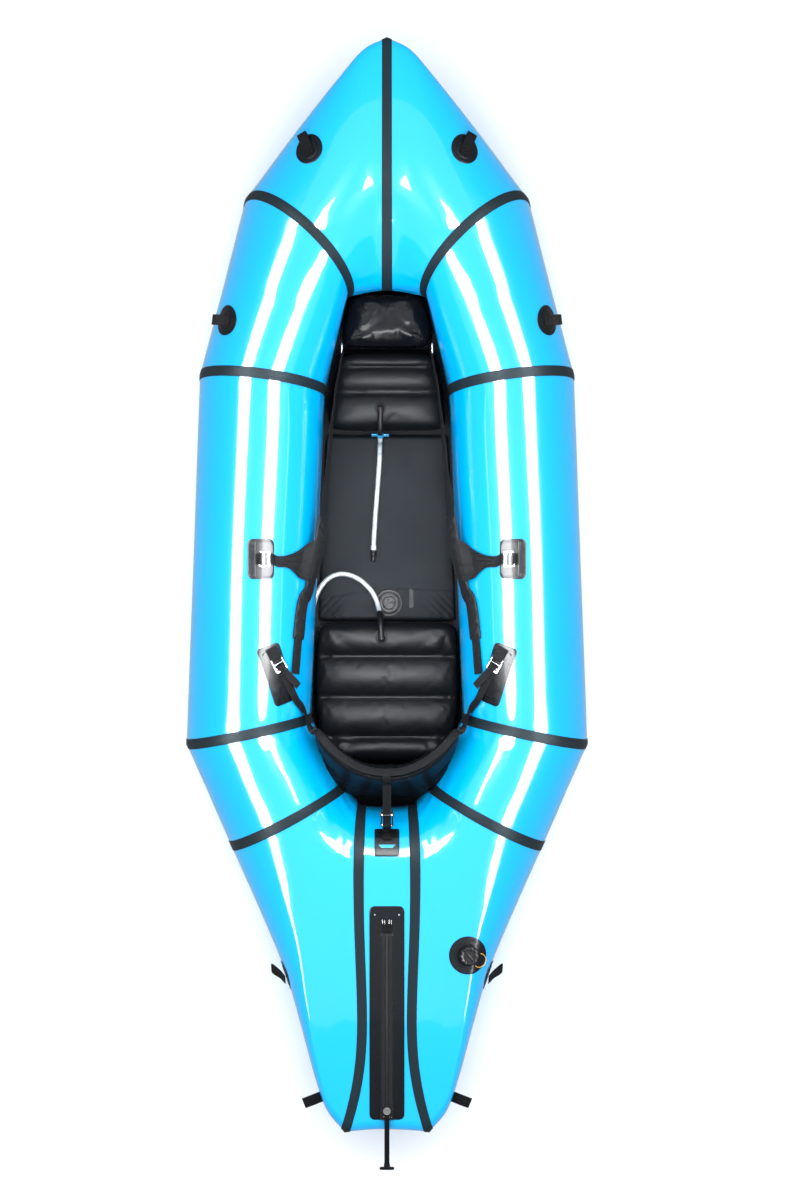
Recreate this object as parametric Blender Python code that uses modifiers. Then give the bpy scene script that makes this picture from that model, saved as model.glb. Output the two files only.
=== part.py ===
"""Solo packraft: an inflatable hull welded from fabric panels, with seam tapes, a floor, tie-downs,
a cargo zipper, an air valve, inflatable cushions, thigh and backrest straps, and two inflation hoses.

Metres, +Z up, +Y towards the bow, +X to the paddler's right. The raft stands on its floor, and the
origin is under the middle of the hull. Run: blender --background --python part.py
"""
import math

import bmesh
import bpy
import numpy as np
from mathutils import Matrix, Vector
from mathutils.bvhtree import BVHTree

# Overall sizes
HULL_LENGTH = 2.50
HULL_BEAM = 0.92
TUBE_RADIUS = 0.145
BOW_TIP_RADIUS = 0.038
BOW_TIP_HEIGHT = 0.335
BOW_SHOULDER_RISE = 0.060
STERN_TIP_RADIUS = 0.024
STERN_TIP_HEIGHT = 0.235
SECTION_POINTS = 24

# Fabrics and clearances
SKIN_THICKNESS = 0.0006
TAPE_THICKNESS = 0.0008
TAPE_WIDTH = 0.024
TAPE_OPEN_STEPS = 1
FLOOR_THICKNESS = 0.0012
FLOOR_FLANGE = 0.022
PATCH_THICKNESS = 0.0012
WEBBING_THICKNESS = 0.0018
WEBBING_WIDTH = 0.025
NARROW_WEBBING_WIDTH = 0.020
GAP = 0.0003
SEAM_GAP = 0.0006
DRAPE_GAP = 0.0008
TAPE_GAP = 0.0005

HALF_LENGTH = HULL_LENGTH / 2
HALF_BEAM = HULL_BEAM / 2
HULL_LIFT = FLOOR_THICKNESS + GAP

# Stations run from the bow to the stern on one side. Across is a share of half the beam, along is a
# share of half the length. Blend runs from 0 at a round tube to 1 at the tip of the bow or stern,
# straight is 1 where the deck is a flat line, and lean tips the section's top aft, in degrees.
BOW_STATION_SHARES = (
    # inner across, inner along, outer across, outer along, blend, straight, lean
    (0.000, 0.543, 0.000, 1.000, 1.00, 0.0, 0.0),
    (0.040, 0.542, 0.118, 0.978, 0.97, 0.0, 2.0),
    (0.080, 0.540, 0.234, 0.930, 0.85, 0.0, 6.0),
    (0.140, 0.536, 0.462, 0.825, 0.42, 0.0, 13.0),
    (0.200, 0.532, 0.698, 0.712, 0.00, 0.0, 19.0),
)
SIDE_STATION_SHARES = {
    "shoulder": (0.309, 0.357, 0.933, 0.388, 8.0),
    "hip": (0.379, -0.240, 1.000, -0.289, -3.0),
    "quarter": (0.220, -0.366, 0.778, -0.475, -5.0),
}
STERN_STATION_SHARES = (
    (0.190, -0.377, 0.623, -0.603, 0.30, 0.25, 0.0),
    (0.165, -0.387, 0.509, -0.704, 0.55, 0.55, 0.0),
    (0.150, -0.392, 0.434, -0.796, 0.74, 0.80, 0.0),
    (0.140, -0.398, 0.359, -0.897, 0.90, 0.95, 0.0),
    (0.135, -0.400, 0.300, -0.958, 0.96, 1.00, 0.0),
    (0.130, -0.401, 0.210, -0.998, 1.00, 1.00, 0.0),
)
STERN_CENTRE_SHARES = (0.000, -0.405, 0.000, -0.993, 1.00, 1.00, 0.0)
STERN_SEAM_BOW = 0.028
STERN_SEAM_BOW_POWER = 2.2


def clear_scene():
    """Remove every object, so that the model starts from nothing."""
    for obj in list(bpy.data.objects):
        bpy.data.objects.remove(obj, do_unlink=True)


clear_scene()
PARTS = bpy.data.collections.new("packraft")
CUTTERS = bpy.data.collections.new("cutters")
bpy.context.scene.collection.children.link(PARTS)
bpy.context.scene.collection.children.link(CUTTERS)


def material(name, colour, roughness, metallic=0.0):
    """Return a Principled material."""
    mat = bpy.data.materials.new(name)
    mat.use_nodes = True
    shader = mat.node_tree.nodes["Principled BSDF"]
    shader.inputs["Base Color"].default_value = (*colour, 1.0)
    shader.inputs["Roughness"].default_value = roughness
    shader.inputs["Metallic"].default_value = metallic
    mat.diffuse_color = (*colour, 1.0)
    return mat


COATED_BLUE = material("coated_blue", (0.0, 0.42, 0.83), 0.25)
TAPE_BLACK = material("tape_black", (0.018, 0.022, 0.028), 0.45)
WEBBING_BLACK = material("webbing_black", (0.022, 0.023, 0.026), 0.85)
CUSHION_BLACK = material("cushion_black", (0.02, 0.021, 0.024), 0.5)
PLASTIC_BLACK = material("plastic_black", (0.03, 0.03, 0.032), 0.4)
HOSE_CLEAR = material("hose_clear", (0.42, 0.45, 0.47), 0.3)
METAL_LIGHT = material("metal_light", (0.62, 0.63, 0.65), 0.35, 0.9)
LEASH_ORANGE = material("leash_orange", (0.75, 0.33, 0.05), 0.6)


def link(obj, mat, collection=PARTS):
    """Put an object in its collection and give it its material."""
    obj.data.materials.clear()
    obj.data.materials.append(mat)
    collection.objects.link(obj)
    return obj


def mesh_object(name, bm, mat, collection=PARTS, smooth=True):
    """Turn a bmesh into a named object with outward faces."""
    mesh = bpy.data.meshes.new(name)
    bm.to_mesh(mesh)
    bm.free()
    if smooth:
        mesh.shade_smooth()
    return link(bpy.data.objects.new(name, mesh), mat, collection)


def grid_faces(rows, columns, closed_columns=False):
    """Return the triangles of a grid of points, with the same diagonal in every cell."""
    faces = []
    last = columns if closed_columns else columns - 1
    for row in range(rows - 1):
        for column in range(last):
            ahead = (column + 1) % columns
            a = row * columns + column
            b = row * columns + ahead
            c = (row + 1) * columns + ahead
            d = (row + 1) * columns + column
            faces.append((a, b, c))
            faces.append((a, c, d))
    return faces


def grid_bmesh(points, closed_columns=False):
    """Return a bmesh surface through a grid of points."""
    rows, columns, _ = points.shape
    bm = bmesh.new()
    verts = [bm.verts.new(p) for p in points.reshape(-1, 3)]
    for face in grid_faces(rows, columns, closed_columns):
        bm.faces.new([verts[i] for i in face])
    return bm


def solidify(obj, thickness, offset):
    """Give an open surface its wall: offset 1 grows outwards, -1 inwards."""
    mod = obj.modifiers.new("wall", "SOLIDIFY")
    mod.thickness = thickness
    mod.offset = offset
    mod.use_rim = True
    mod.use_even_offset = False
    return obj


class Station:
    """One hull section: a round or stretched loop between an inner and an outer plan point."""

    def __init__(self, inner, outer, blend, straight, lean, heel_rise, tip_rise, tip_radius, bow=0.0):
        self.inner = np.array(inner)
        self.outer = np.array(outer)
        reach = self.outer - self.inner
        self.width = float(np.linalg.norm(reach))
        self.out = reach / self.width
        self.side = np.array([-self.out[1], self.out[0]])
        half = self.width / 2
        heel = min(TUBE_RADIUS, half)
        self.heel_radius = heel
        self.tip_radius = heel + (tip_radius - heel) * blend
        self.heel_z = HULL_LIFT + heel + heel_rise
        self.tip_z = self.heel_z + (tip_rise - self.heel_z) * blend
        self.straight = straight
        self.lean = math.tan(math.radians(lean))
        self.bow = bow

    def at(self, turn, swell=0.0):
        """Return the point for a turn from 0 (inner side) over the top at 0.25 to the outer side at 0.5."""
        upper = turn <= 0.5
        share = 2 * turn if upper else 2 * (1 - turn)
        flow = share * share * (3 - 2 * share)
        step_share = 1 / 3
        tilt = math.atan2(self.tip_z - self.heel_z, max(self.width - self.heel_radius - self.tip_radius, GAP))
        span = max(self.width - self.heel_radius - self.tip_radius, GAP)
        pinch = math.asin(min(0.95, (self.heel_radius - self.tip_radius) / math.hypot(
            span, self.tip_z - self.heel_z)))
        shoulder = math.pi / 2 - pinch + (tilt if upper else -tilt)
        if share < step_share:
            hard_angle = math.pi + (shoulder - math.pi) * share / step_share
            hard_flow = 0.0
        elif share > 1 - step_share:
            hard_angle = shoulder * (1 - share) / step_share
            hard_flow = 1.0
        else:
            hard_angle = shoulder
            hard_flow = (share - step_share) / (1 - 2 * step_share)
        angle = math.pi * (1 - share) * (1 - self.straight) + hard_angle * self.straight
        flow = flow * (1 - self.straight) + hard_flow * self.straight
        radius = self.heel_radius + (self.tip_radius - self.heel_radius) * flow + swell
        heel_out = self.heel_radius
        tip_out = self.width - self.tip_radius
        out = heel_out + (tip_out - heel_out) * flow + radius * math.cos(angle)
        middle_z = self.heel_z + (self.tip_z - self.heel_z) * flow
        rise = radius * math.sin(angle) * (1 if upper else -1)
        along = max(0.0, min(1.0, out / self.width))
        drift = self.lean * rise + self.bow * math.sin(math.pi * along ** STERN_SEAM_BOW_POWER)
        plan = self.inner + self.out * out + self.side * drift
        return np.array([plan[0], plan[1], middle_z + rise])

    def loop(self, turns, swell=0.0):
        """Return the points of the section at the given turns."""
        return np.array([self.at(turn, swell) for turn in turns])


def make_station(shares, heel_rise, tip_height, tip_radius, bow=0.0):
    """Return a station from its shares of half the beam and half the length."""
    inner = (shares[0] * HALF_BEAM, shares[1] * HALF_LENGTH)
    outer = (shares[2] * HALF_BEAM, shares[3] * HALF_LENGTH)
    return Station(inner, outer, shares[4], shares[5], shares[6], heel_rise, tip_height, tip_radius, bow)

TURNS = np.arange(SECTION_POINTS) / SECTION_POINTS
TAPE_TURNS = (np.arange(SECTION_POINTS - 2 * TAPE_OPEN_STEPS + 1) + TAPE_OPEN_STEPS) / SECTION_POINTS - 0.25

BOW_RISE_SHARES = (0.85, 0.87, 0.90, 0.96, 1.0)
BOW_STATIONS = [
    make_station(shares, BOW_SHOULDER_RISE * rise, BOW_TIP_HEIGHT, BOW_TIP_RADIUS)
    for shares, rise in zip(BOW_STATION_SHARES, BOW_RISE_SHARES)
]
SIDE_STATIONS = {
    name: make_station((*shares[:4], 0.0, 0.0, shares[4]), 0.0, TUBE_RADIUS, TUBE_RADIUS)
    for name, shares in SIDE_STATION_SHARES.items()
}
STERN_STATIONS = [
    make_station(shares, 0.0, STERN_TIP_HEIGHT, STERN_TIP_RADIUS,
                 -STERN_SEAM_BOW * (shares is STERN_STATION_SHARES[-1]))
    for shares in STERN_STATION_SHARES
]
STERN_CENTRE = make_station(STERN_CENTRE_SHARES, 0.0, STERN_TIP_HEIGHT, STERN_TIP_RADIUS)

# Each panel is the list of stations that it runs over, from one welded seam to the next
PANELS = {
    "bow": BOW_STATIONS,
    "shoulder": [BOW_STATIONS[-1], SIDE_STATIONS["shoulder"]],
    "side": [SIDE_STATIONS["shoulder"], SIDE_STATIONS["hip"]],
    "hip": [SIDE_STATIONS["hip"], SIDE_STATIONS["quarter"]],
    "quarter": [SIDE_STATIONS["quarter"], *STERN_STATIONS],
}


def face_away(bm, start, end):
    """Turn all faces of an open surface away from the line between two points inside it."""
    start = Vector(start)
    axis = Vector(end) - start
    length = max(axis.length_squared, GAP)
    bm.normal_update()
    total = 0.0
    for face in bm.faces:
        centre = face.calc_center_median()
        share = max(0.0, min(1.0, (centre - start).dot(axis) / length))
        total += face.normal.dot(centre - start - axis * share) * face.calc_area()
    if total < 0:
        bmesh.ops.reverse_faces(bm, faces=bm.faces)
    return bm


def mirrored(points):
    """Return points on the other side of the raft's middle plane."""
    return points * np.array([-1.0, 1.0, 1.0])


def step_in(edge, beyond, distance):
    """Move a seam's points along the panel by a distance square to the seam."""
    tangent = np.roll(edge, -1, axis=0) - np.roll(edge, 1, axis=0)
    tangent /= np.linalg.norm(tangent, axis=1, keepdims=True)
    reach = beyond - edge
    square = reach - np.sum(reach * tangent, axis=1, keepdims=True) * tangent
    share = distance / np.maximum(np.linalg.norm(square, axis=1, keepdims=True), distance * 2.3)
    return edge + reach * share


def panel_rows(rows):
    """Return a panel's rows of points, with a narrow row at each end for the tape to lie on."""
    first = step_in(rows[0], rows[1], SEAM_GAP / 2)
    near = step_in(rows[0], rows[1], TAPE_WIDTH * 0.55)
    far = step_in(rows[-1], rows[-2], TAPE_WIDTH * 0.55)
    last = step_in(rows[-1], rows[-2], SEAM_GAP / 2)
    return np.array([first, near, *rows[1:-1], far, last])


def build_panel(name, rows):
    """Build one welded fabric panel of the hull as a thin tube with open ends."""
    bm = face_away(grid_bmesh(panel_rows(rows), closed_columns=True), rows[0].mean(axis=0), rows[-1].mean(axis=0))
    return solidify(mesh_object(name, bm, COATED_BLUE), SKIN_THICKNESS, -1)


def seam_rows(before, seam, after, turns, swell):
    """Return the three rows of points of a seam tape, before, on and after its seam."""
    edge = seam.loop(turns, swell)
    rows = [step_in_open(edge, side, TAPE_WIDTH / 2) for side in (before, after)]
    return np.array([rows[0], edge, rows[1]])


def step_in_open(edge, beyond, distance):
    """Move an open seam line's points towards another line by a distance square to the seam."""
    tangent = np.gradient(edge, axis=0)
    tangent /= np.linalg.norm(tangent, axis=1, keepdims=True)
    reach = beyond - edge
    square = reach - np.sum(reach * tangent, axis=1, keepdims=True) * tangent
    share = distance / np.maximum(np.linalg.norm(square, axis=1, keepdims=True), distance * 2.3)
    return edge + reach * share


def build_tape(name, before, seam, after, mirror_before=False, mirror_after=False, flip=False):
    """Build the tape over one seam, from the floor's edge inside the cockpit round to the floor outside."""
    swell = TAPE_GAP
    sides = []
    for station, turned in ((before, mirror_before), (after, mirror_after)):
        loop = station.loop(TAPE_TURNS % 1, swell)
        sides.append(mirrored(loop) if turned else loop)
    rows = seam_rows(sides[0], seam, sides[1], TAPE_TURNS % 1, swell)
    if flip:
        rows = mirrored(rows)
    middle = rows[1].mean(axis=0)
    tape = mesh_object(name, face_away(grid_bmesh(rows), middle, middle), TAPE_BLACK)
    return solidify(tape, TAPE_THICKNESS, 1)


def build_hull():
    """Build the panels and the tapes of both sides, and the stern deck between them."""
    for side, turn in (("left", True), ("right", False)):
        for name, stations in PANELS.items():
            rows = [station.loop(TURNS) for station in stations]
            if turn:
                rows = [mirrored(row) for row in rows]
            build_panel(f"{name}_panel_{side}", rows)
        seams = {
            "bow_shoulder": (BOW_STATIONS[-2], BOW_STATIONS[-1], SIDE_STATIONS["shoulder"]),
            "shoulder": (BOW_STATIONS[-1], SIDE_STATIONS["shoulder"], SIDE_STATIONS["hip"]),
            "side": (SIDE_STATIONS["shoulder"], SIDE_STATIONS["hip"], SIDE_STATIONS["quarter"]),
            "hip": (SIDE_STATIONS["hip"], SIDE_STATIONS["quarter"], STERN_STATIONS[0]),
            "stern": (STERN_STATIONS[-2], STERN_STATIONS[-1], STERN_CENTRE),
        }
        for name, (before, seam, after) in seams.items():
            build_tape(f"{name}_tape_{side}", before, seam, after, flip=turn)
    build_tape("bow_centre_tape", BOW_STATIONS[1], BOW_STATIONS[0], BOW_STATIONS[1], mirror_after=True)
    right = STERN_STATIONS[-1].loop(TURNS)
    build_panel("stern_deck_panel", [mirrored(right), STERN_CENTRE.loop(TURNS), right])


def floor_edge():
    """Return the points on one side where the tubes meet the floor, from bow to stern."""
    stations = [*BOW_STATIONS, *SIDE_STATIONS.values(), *STERN_STATIONS[:2], STERN_STATIONS[-1], STERN_CENTRE]
    points = []
    for station in stations:
        out = station.heel_radius + (FLOOR_FLANGE if station.width < 3 * TUBE_RADIUS else 0)
        plan = station.inner + station.out * out
        points.append((plan[0], plan[1], station.heel_z - station.heel_radius - HULL_LIFT))
    return np.array(points)


def build_floor():
    """Build the floor sheet under the cockpit, flat amidships and rising towards the bow."""
    across = np.linspace(-1, 1, 5)
    rows = np.array([[(x * share, y, z) for share in across] for x, y, z in floor_edge()[1:-1]])
    top = rows + np.array([0.0, 0.0, FLOOR_THICKNESS])
    loops = np.concatenate([rows, top[:, ::-1]], axis=1)
    bm = grid_bmesh(loops, closed_columns=True)
    bm.verts.ensure_lookup_table()
    count = loops.shape[1]
    for start in (0, (len(loops) - 1) * count):
        bm.faces.new([bm.verts[start + i] for i in range(count)])
    bmesh.ops.triangulate(bm, faces=[f for f in bm.faces if len(f.verts) > 3])
    bmesh.ops.recalc_face_normals(bm, faces=bm.faces)
    return mesh_object("floor_sheet", bm, TAPE_BLACK, smooth=False)


build_hull()
build_floor()


class Skin:
    """Finds places on the hull's outer skin on the right side, by plan position."""

    def __init__(self, stations):
        self.stations = stations

    def point(self, turn, share):
        """Return the skin point at a turn round the section and a share of the way along the panel."""
        place = min(max(share, 0.0), 1.0) * (len(self.stations) - 1)
        first = min(int(place), len(self.stations) - 2)
        part = place - first
        start = self.stations[first].at(turn % 1)
        end = self.stations[first + 1].at(turn % 1)
        return start + (end - start) * part

    def frame(self, turn, share):
        """Return the point, the outward normal and the two surface steps at a place."""
        step = 0.002
        around = (self.point(turn + step, share) - self.point(turn - step, share)) / (2 * step)
        low, high = max(0.0, share - step), min(1.0, share + step)
        along = (self.point(turn, high) - self.point(turn, low)) / (high - low)
        normal = np.cross(around, along)
        normal /= np.linalg.norm(normal)
        point = self.point(turn, share)
        middle = self.point(0.75, share) * 0.5 + self.point(0.25, share) * 0.5
        if np.dot(normal, point - middle) < 0:
            normal = -normal
        return point, normal, around, along

    def find(self, plan, tries=14):
        """Return the turn and share over a plan position on the upper skin, and how far off it is."""
        best = None
        for turn in np.linspace(0.04, 0.46, 9):
            for share in np.linspace(0.05, 0.95, 3 * len(self.stations)):
                miss = np.linalg.norm(self.point(turn, share)[:2] - plan)
                if best is None or miss < best[0]:
                    best = (miss, turn, share)
        _, turn, share = best
        for _ in range(tries):
            point, _, around, along = self.frame(turn, share)
            jacobian = np.array([around[:2], along[:2]]).T
            step = np.linalg.lstsq(jacobian, plan - point[:2], rcond=None)[0]
            turn = min(max(turn + float(np.clip(step[0], -0.05, 0.05)), 0.01), 0.49)
            share = min(max(share + float(np.clip(step[1], -0.2, 0.2)), 0.0), 1.0)
        return turn, share, np.linalg.norm(self.point(turn, share)[:2] - plan)


SKINS = {name: Skin(stations) for name, stations in PANELS.items()}


def panel_name(skin, side):
    """Return the name of the panel object under a place."""
    if skin == "deck":
        return "stern_deck_panel"
    return f"{skin}_panel_{'right' if side > 0 else 'left'}"


def seat_on(skin_name, across, along, side=1.0, heading=0.0):
    """Return a matrix on the skin: X along the heading, Z out of the skin. Shares are of half sizes."""
    skin = SKINS[skin_name]
    turn, share, _ = skin.find(np.array([across * HALF_BEAM, along * HALF_LENGTH]))
    point, normal, around, _ = skin.frame(turn, share)
    first = Vector(around) / np.linalg.norm(around)
    up = Vector(normal)
    first = (first - up * first.dot(up)).normalized()
    second = up.cross(first)
    ahead = first * math.cos(heading) + second * math.sin(heading)
    matrix = Matrix.Identity(4)
    matrix.col[0][:3] = ahead
    matrix.col[1][:3] = up.cross(ahead)
    matrix.col[2][:3] = up
    hit, _, _, _ = panel_tree(panel_name(skin_name, 1)).ray_cast(Vector(point) + up * TUBE_RADIUS / 2, -up)
    matrix.col[3][:3] = hit or Vector(point)
    if side < 0:
        matrix = Matrix.Diagonal((-1, 1, 1, 1)) @ matrix @ Matrix.Diagonal((1, -1, 1, 1))
    return matrix


def drape(bm, seat, panel_tree, gap):
    """Lay the flat mesh over the hull: each point keeps its height above the skin under it."""
    up = (seat.to_3x3() @ Vector((0, 0, 1))).normalized()
    for vert in bm.verts:
        height = vert.co.z
        top = seat @ Vector((vert.co.x, vert.co.y, TUBE_RADIUS / 2))
        hit, normal, _, _ = panel_tree.ray_cast(top, -up)
        if hit is None:
            hit, normal, _, _ = panel_tree.find_nearest(seat @ Vector((vert.co.x, vert.co.y, 0)))
        vert.co = hit + normal * (gap + height)


def panel_tree(*names):
    """Return a search tree over the outer skin of some panels."""
    trees = bmesh.new()
    for name in names:
        mesh = bpy.data.objects[name].data
        trees.from_mesh(mesh)
    tree = BVHTree.FromBMesh(trees)
    trees.free()
    return tree


def rounded_outline(length, width, corner, steps=4):
    """Return the plan points of a rectangle with rounded corners, centred at the origin."""
    corner = min(corner, length / 2, width / 2)
    points = []
    for index, (sx, sy) in enumerate(((1, 1), (-1, 1), (-1, -1), (1, -1))):
        centre = (sx * (length / 2 - corner), sy * (width / 2 - corner))
        for step in range(steps + 1):
            angle = math.pi / 2 * (index + step / steps)
            points.append((centre[0] + corner * math.cos(angle), centre[1] + corner * math.sin(angle)))
    return points


def finer(outline, step):
    """Return a closed outline with points added so that none lie further apart than a step."""
    points = []
    for here, there in zip(outline, outline[1:] + outline[:1]):
        count = max(1, math.ceil(math.dist(here, there) / step))
        for k in range(count):
            points.append(tuple(a + (b - a) * k / count for a, b in zip(here, there)))
    return points


def patch_bmesh(outline, thickness, rings=4):
    """Return a flat patch as rings of its outline round a middle point, with its thickness."""
    bm = bmesh.new()
    levels = []
    for height in (0.0, thickness):
        centre = bm.verts.new((0, 0, height))
        loops = [[bm.verts.new((x * ring / rings, y * ring / rings, height)) for x, y in outline]
                 for ring in range(1, rings + 1)]
        levels.append((centre, loops))
    count = len(outline)
    for level, (centre, loops) in enumerate(levels):
        for i in range(count):
            j = (i + 1) % count
            face = (centre, loops[0][i], loops[0][j])
            bm.faces.new(face if level else face[::-1])
            for near, far in zip(loops, loops[1:]):
                for face in ((near[i], far[i], far[j]), (near[i], far[j], near[j])):
                    bm.faces.new(face if level else face[::-1])
    low, high = levels[0][1][-1], levels[1][1][-1]
    for i in range(count):
        j = (i + 1) % count
        bm.faces.new((low[i], low[j], high[j]))
        bm.faces.new((low[i], high[j], high[i]))
    return bm


def join_solid(target, tool, solver="EXACT"):
    """Join a second solid, which stays hidden, to an object with a Boolean union."""
    tool.hide_render = True
    tool.display_type = "WIRE"
    mod = target.modifiers.new("join", "BOOLEAN")
    mod.operation = "UNION"
    mod.solver = solver
    mod.object = tool
    return target


def curve_mesh(curve_obj, name, collection):
    """Turn a curve object into a closed mesh object of the same place."""
    bpy.context.scene.collection.objects.link(curve_obj)
    bpy.context.view_layer.update()
    mesh = bpy.data.meshes.new_from_object(curve_obj.evaluated_get(bpy.context.evaluated_depsgraph_get()))
    bm = bmesh.new()
    bm.from_mesh(mesh)
    bmesh.ops.remove_doubles(bm, verts=bm.verts, dist=GAP / 10)
    bmesh.ops.triangulate(bm, faces=bm.faces)
    bmesh.ops.recalc_face_normals(bm, faces=bm.faces)
    bm.to_mesh(mesh)
    bm.free()
    mesh.name = name
    obj = bpy.data.objects.new(name, mesh)
    obj.matrix_world = curve_obj.matrix_world.copy()
    bpy.data.objects.remove(curve_obj, do_unlink=True)
    collection.objects.link(obj)
    return obj


def plate(name, outlines, thickness, matrix, mat, collection=PARTS):
    """Return a flat plate from closed outlines (the first outer, the rest holes), lying in its XY plane."""
    curve = bpy.data.curves.new(name, "CURVE")
    curve.dimensions = "2D"
    curve.fill_mode = "BOTH"
    curve.extrude = thickness / 2
    for outline in outlines:
        spline = curve.splines.new("POLY")
        spline.points.add(len(outline) - 1)
        for point, (x, y) in zip(spline.points, outline):
            point.co = (x, y, 0, 1)
        spline.use_cyclic_u = True
    obj = bpy.data.objects.new(f"{name}_outline", curve)
    obj.matrix_world = matrix
    plate_obj = curve_mesh(obj, name, collection)
    plate_obj.data.materials.append(mat)
    return plate_obj


def ribbon(name, points, normals, width, thickness, mat, collection=PARTS):
    """Return a strap: a flat rectangle carried along a path, its face along the normals."""
    points = np.asarray(points, dtype=float)
    normals = np.asarray(normals, dtype=float)
    widths = np.broadcast_to(np.asarray(width, dtype=float), len(points))
    thicks = np.broadcast_to(np.asarray(thickness, dtype=float), len(points))
    tangents = np.gradient(points, axis=0)
    sides = np.cross(tangents, normals)
    sides /= np.linalg.norm(sides, axis=1, keepdims=True)
    ups = np.cross(sides, tangents)
    ups /= np.linalg.norm(ups, axis=1, keepdims=True)
    half = (widths / 2)[:, None]
    high = thicks[:, None]
    rows = np.stack([points - sides * half, points - sides * half + ups * high,
                     points + sides * half + ups * high, points + sides * half], axis=1)
    bm = grid_bmesh(rows, closed_columns=True)
    bm.verts.ensure_lookup_table()
    count = len(points)
    for start in (0, (count - 1) * 4):
        corners = [bm.verts[start + i] for i in range(4)]
        bm.faces.new(corners)
    bmesh.ops.triangulate(bm, faces=[f for f in bm.faces if len(f.verts) > 3])
    bmesh.ops.recalc_face_normals(bm, faces=bm.faces)
    return mesh_object(name, bm, mat, collection, smooth=False)


def smooth_path(points, count):
    """Return evenly spaced points on a Catmull-Rom curve through the given points."""
    points = np.asarray(points, dtype=float)
    padded = np.vstack([2 * points[0] - points[1], points, 2 * points[-1] - points[-2]])
    dense = []
    for i in range(1, len(padded) - 2):
        p0, p1, p2, p3 = padded[i - 1:i + 3]
        for t in np.linspace(0, 1, 16, endpoint=False):
            dense.append(0.5 * (2 * p1 + (p2 - p0) * t + (2 * p0 - 5 * p1 + 4 * p2 - p3) * t * t
                                + (3 * p1 - p0 - 3 * p2 + p3) * t ** 3))
    dense.append(points[-1])
    dense = np.array(dense)
    runs = np.concatenate([[0], np.cumsum(np.linalg.norm(np.diff(dense, axis=0), axis=1))])
    marks = np.linspace(0, runs[-1], count)
    return np.stack([np.interp(marks, runs, dense[:, k]) for k in range(3)], axis=1)

# Fittings on the hull: places are shares of half the beam and half the length
TIE_DOWN_SHARES = {
    "bow_tie_down": ("bow", 0.377, 0.796),
    "shoulder_tie_down": ("shoulder", 0.785, 0.486),
    "stern_tie_down": ("quarter", 0.500, -0.712),
}
TIE_DOWN_HEADINGS = {"bow_tie_down": 0.5, "shoulder_tie_down": 0.0, "stern_tie_down": 0.0}
TIE_DOWN_PATCH_DIAMETER = 0.070
TIE_DOWN_LOOP_LENGTH = 0.040
TIE_DOWN_LOOP_HEIGHT = 0.016
LOOP_SINK_SHARE = 0.5

VALVE_PLACE_SHARES = (0.402, -0.674)
VALVE_PATCH_DIAMETER = 0.086
VALVE_FLANGE_RADIUS = 0.025
VALVE_FLANGE_HEIGHT = 0.004
VALVE_NECK_RADIUS = 0.0165
VALVE_NECK_BORE = 0.011
VALVE_NECK_HEIGHT = 0.013
VALVE_CAP_RADIUS = 0.0225
VALVE_CAP_HEIGHT = 0.013
VALVE_CAP_CROWN = 0.003
VALVE_CAP_SCALLOPS = 10
VALVE_CAP_SCALLOP_DEPTH = 0.0013
VALVE_CLEARANCE = 0.0004
LEASH_DIAMETER = 0.0018
LEASH_PITCH = 4.0
LEASH_ROUTE = (
    (0.0040, 0.0268, 0.0034), (0.0060, 0.0300, 0.0020), (0.0100, 0.0336, 0.0006), (0.0160, 0.0362, 0.0),
    (0.0224, 0.0364, 0.0), (0.0284, 0.0338, 0.0), (0.0328, 0.0286, 0.0), (0.0346, 0.0220, 0.0),
    (0.0338, 0.0152, 0.0006), (0.0306, 0.0098, 0.0020), (0.0268, 0.0070, 0.0034),
)

ZIP_LENGTH = 0.490
ZIP_TAPE_WIDTH = 0.080
ZIP_TAPE_THICKNESS = 0.0015
ZIP_CHAIN_WIDTH = 0.020
ZIP_CHAIN_LENGTH = ZIP_LENGTH * 6 / 7
ZIP_CHAIN_HEIGHT = 0.0035
ZIP_TOOTH_PITCH = 0.014
ZIP_BEAD_WIDTH = 0.006
ZIP_SLIDER_LENGTH = 0.030
ZIP_SLIDER_WALL = 0.0028
ZIP_SLIDER_CLEARANCE = 0.0004
ZIP_LIFT = 0.0010
ZIP_DOCK_LENGTH = 0.018
PULL_LUG_HEIGHT = 0.006
PULL_STRAP_WIDTH = 0.012
PULL_STRAP_THICKNESS = 0.0016
PULL_LENGTH = 0.117
PULL_BAR_LENGTH = 0.034
PULL_BAR_DIAMETER = 0.008
PULL_PIN_RADIUS = 0.0016

KNEE_PLACE_SHARES = (0.625, 0.050)
KNEE_PATCH_LENGTH = 0.092
KNEE_PATCH_WIDTH = 0.060
KNEE_HOOK_LENGTH = 0.038
KNEE_HOOK_WIDTH = 0.030
KNEE_HOOK_THICKNESS = 0.004
HIP_PLACE_SHARES = (0.545, -0.161)
HIP_PATCH_LENGTH = 0.140
HIP_PATCH_WIDTH = 0.056
LADDER_PLACE_SHARES = (0.540, -0.142)
HIP_TILT = math.radians(21)
LADDER_LENGTH = 0.034
LADDER_WIDTH = 0.032
LADDER_THICKNESS = 0.004
LADDER_BAR = 0.004
PATCH_CORNER = 0.012
DRAPE_STEP = 0.011
DRAPE_GAPS = {"quarter": 1.7 * DRAPE_GAP, "bow": 1.4 * DRAPE_GAP, "shoulder": 1.4 * DRAPE_GAP, "side": 1.3 * DRAPE_GAP,
              "deck": 1.8 * DRAPE_GAP}

SKINS["deck"] = Skin([STERN_STATIONS[-1], STERN_CENTRE])


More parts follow.
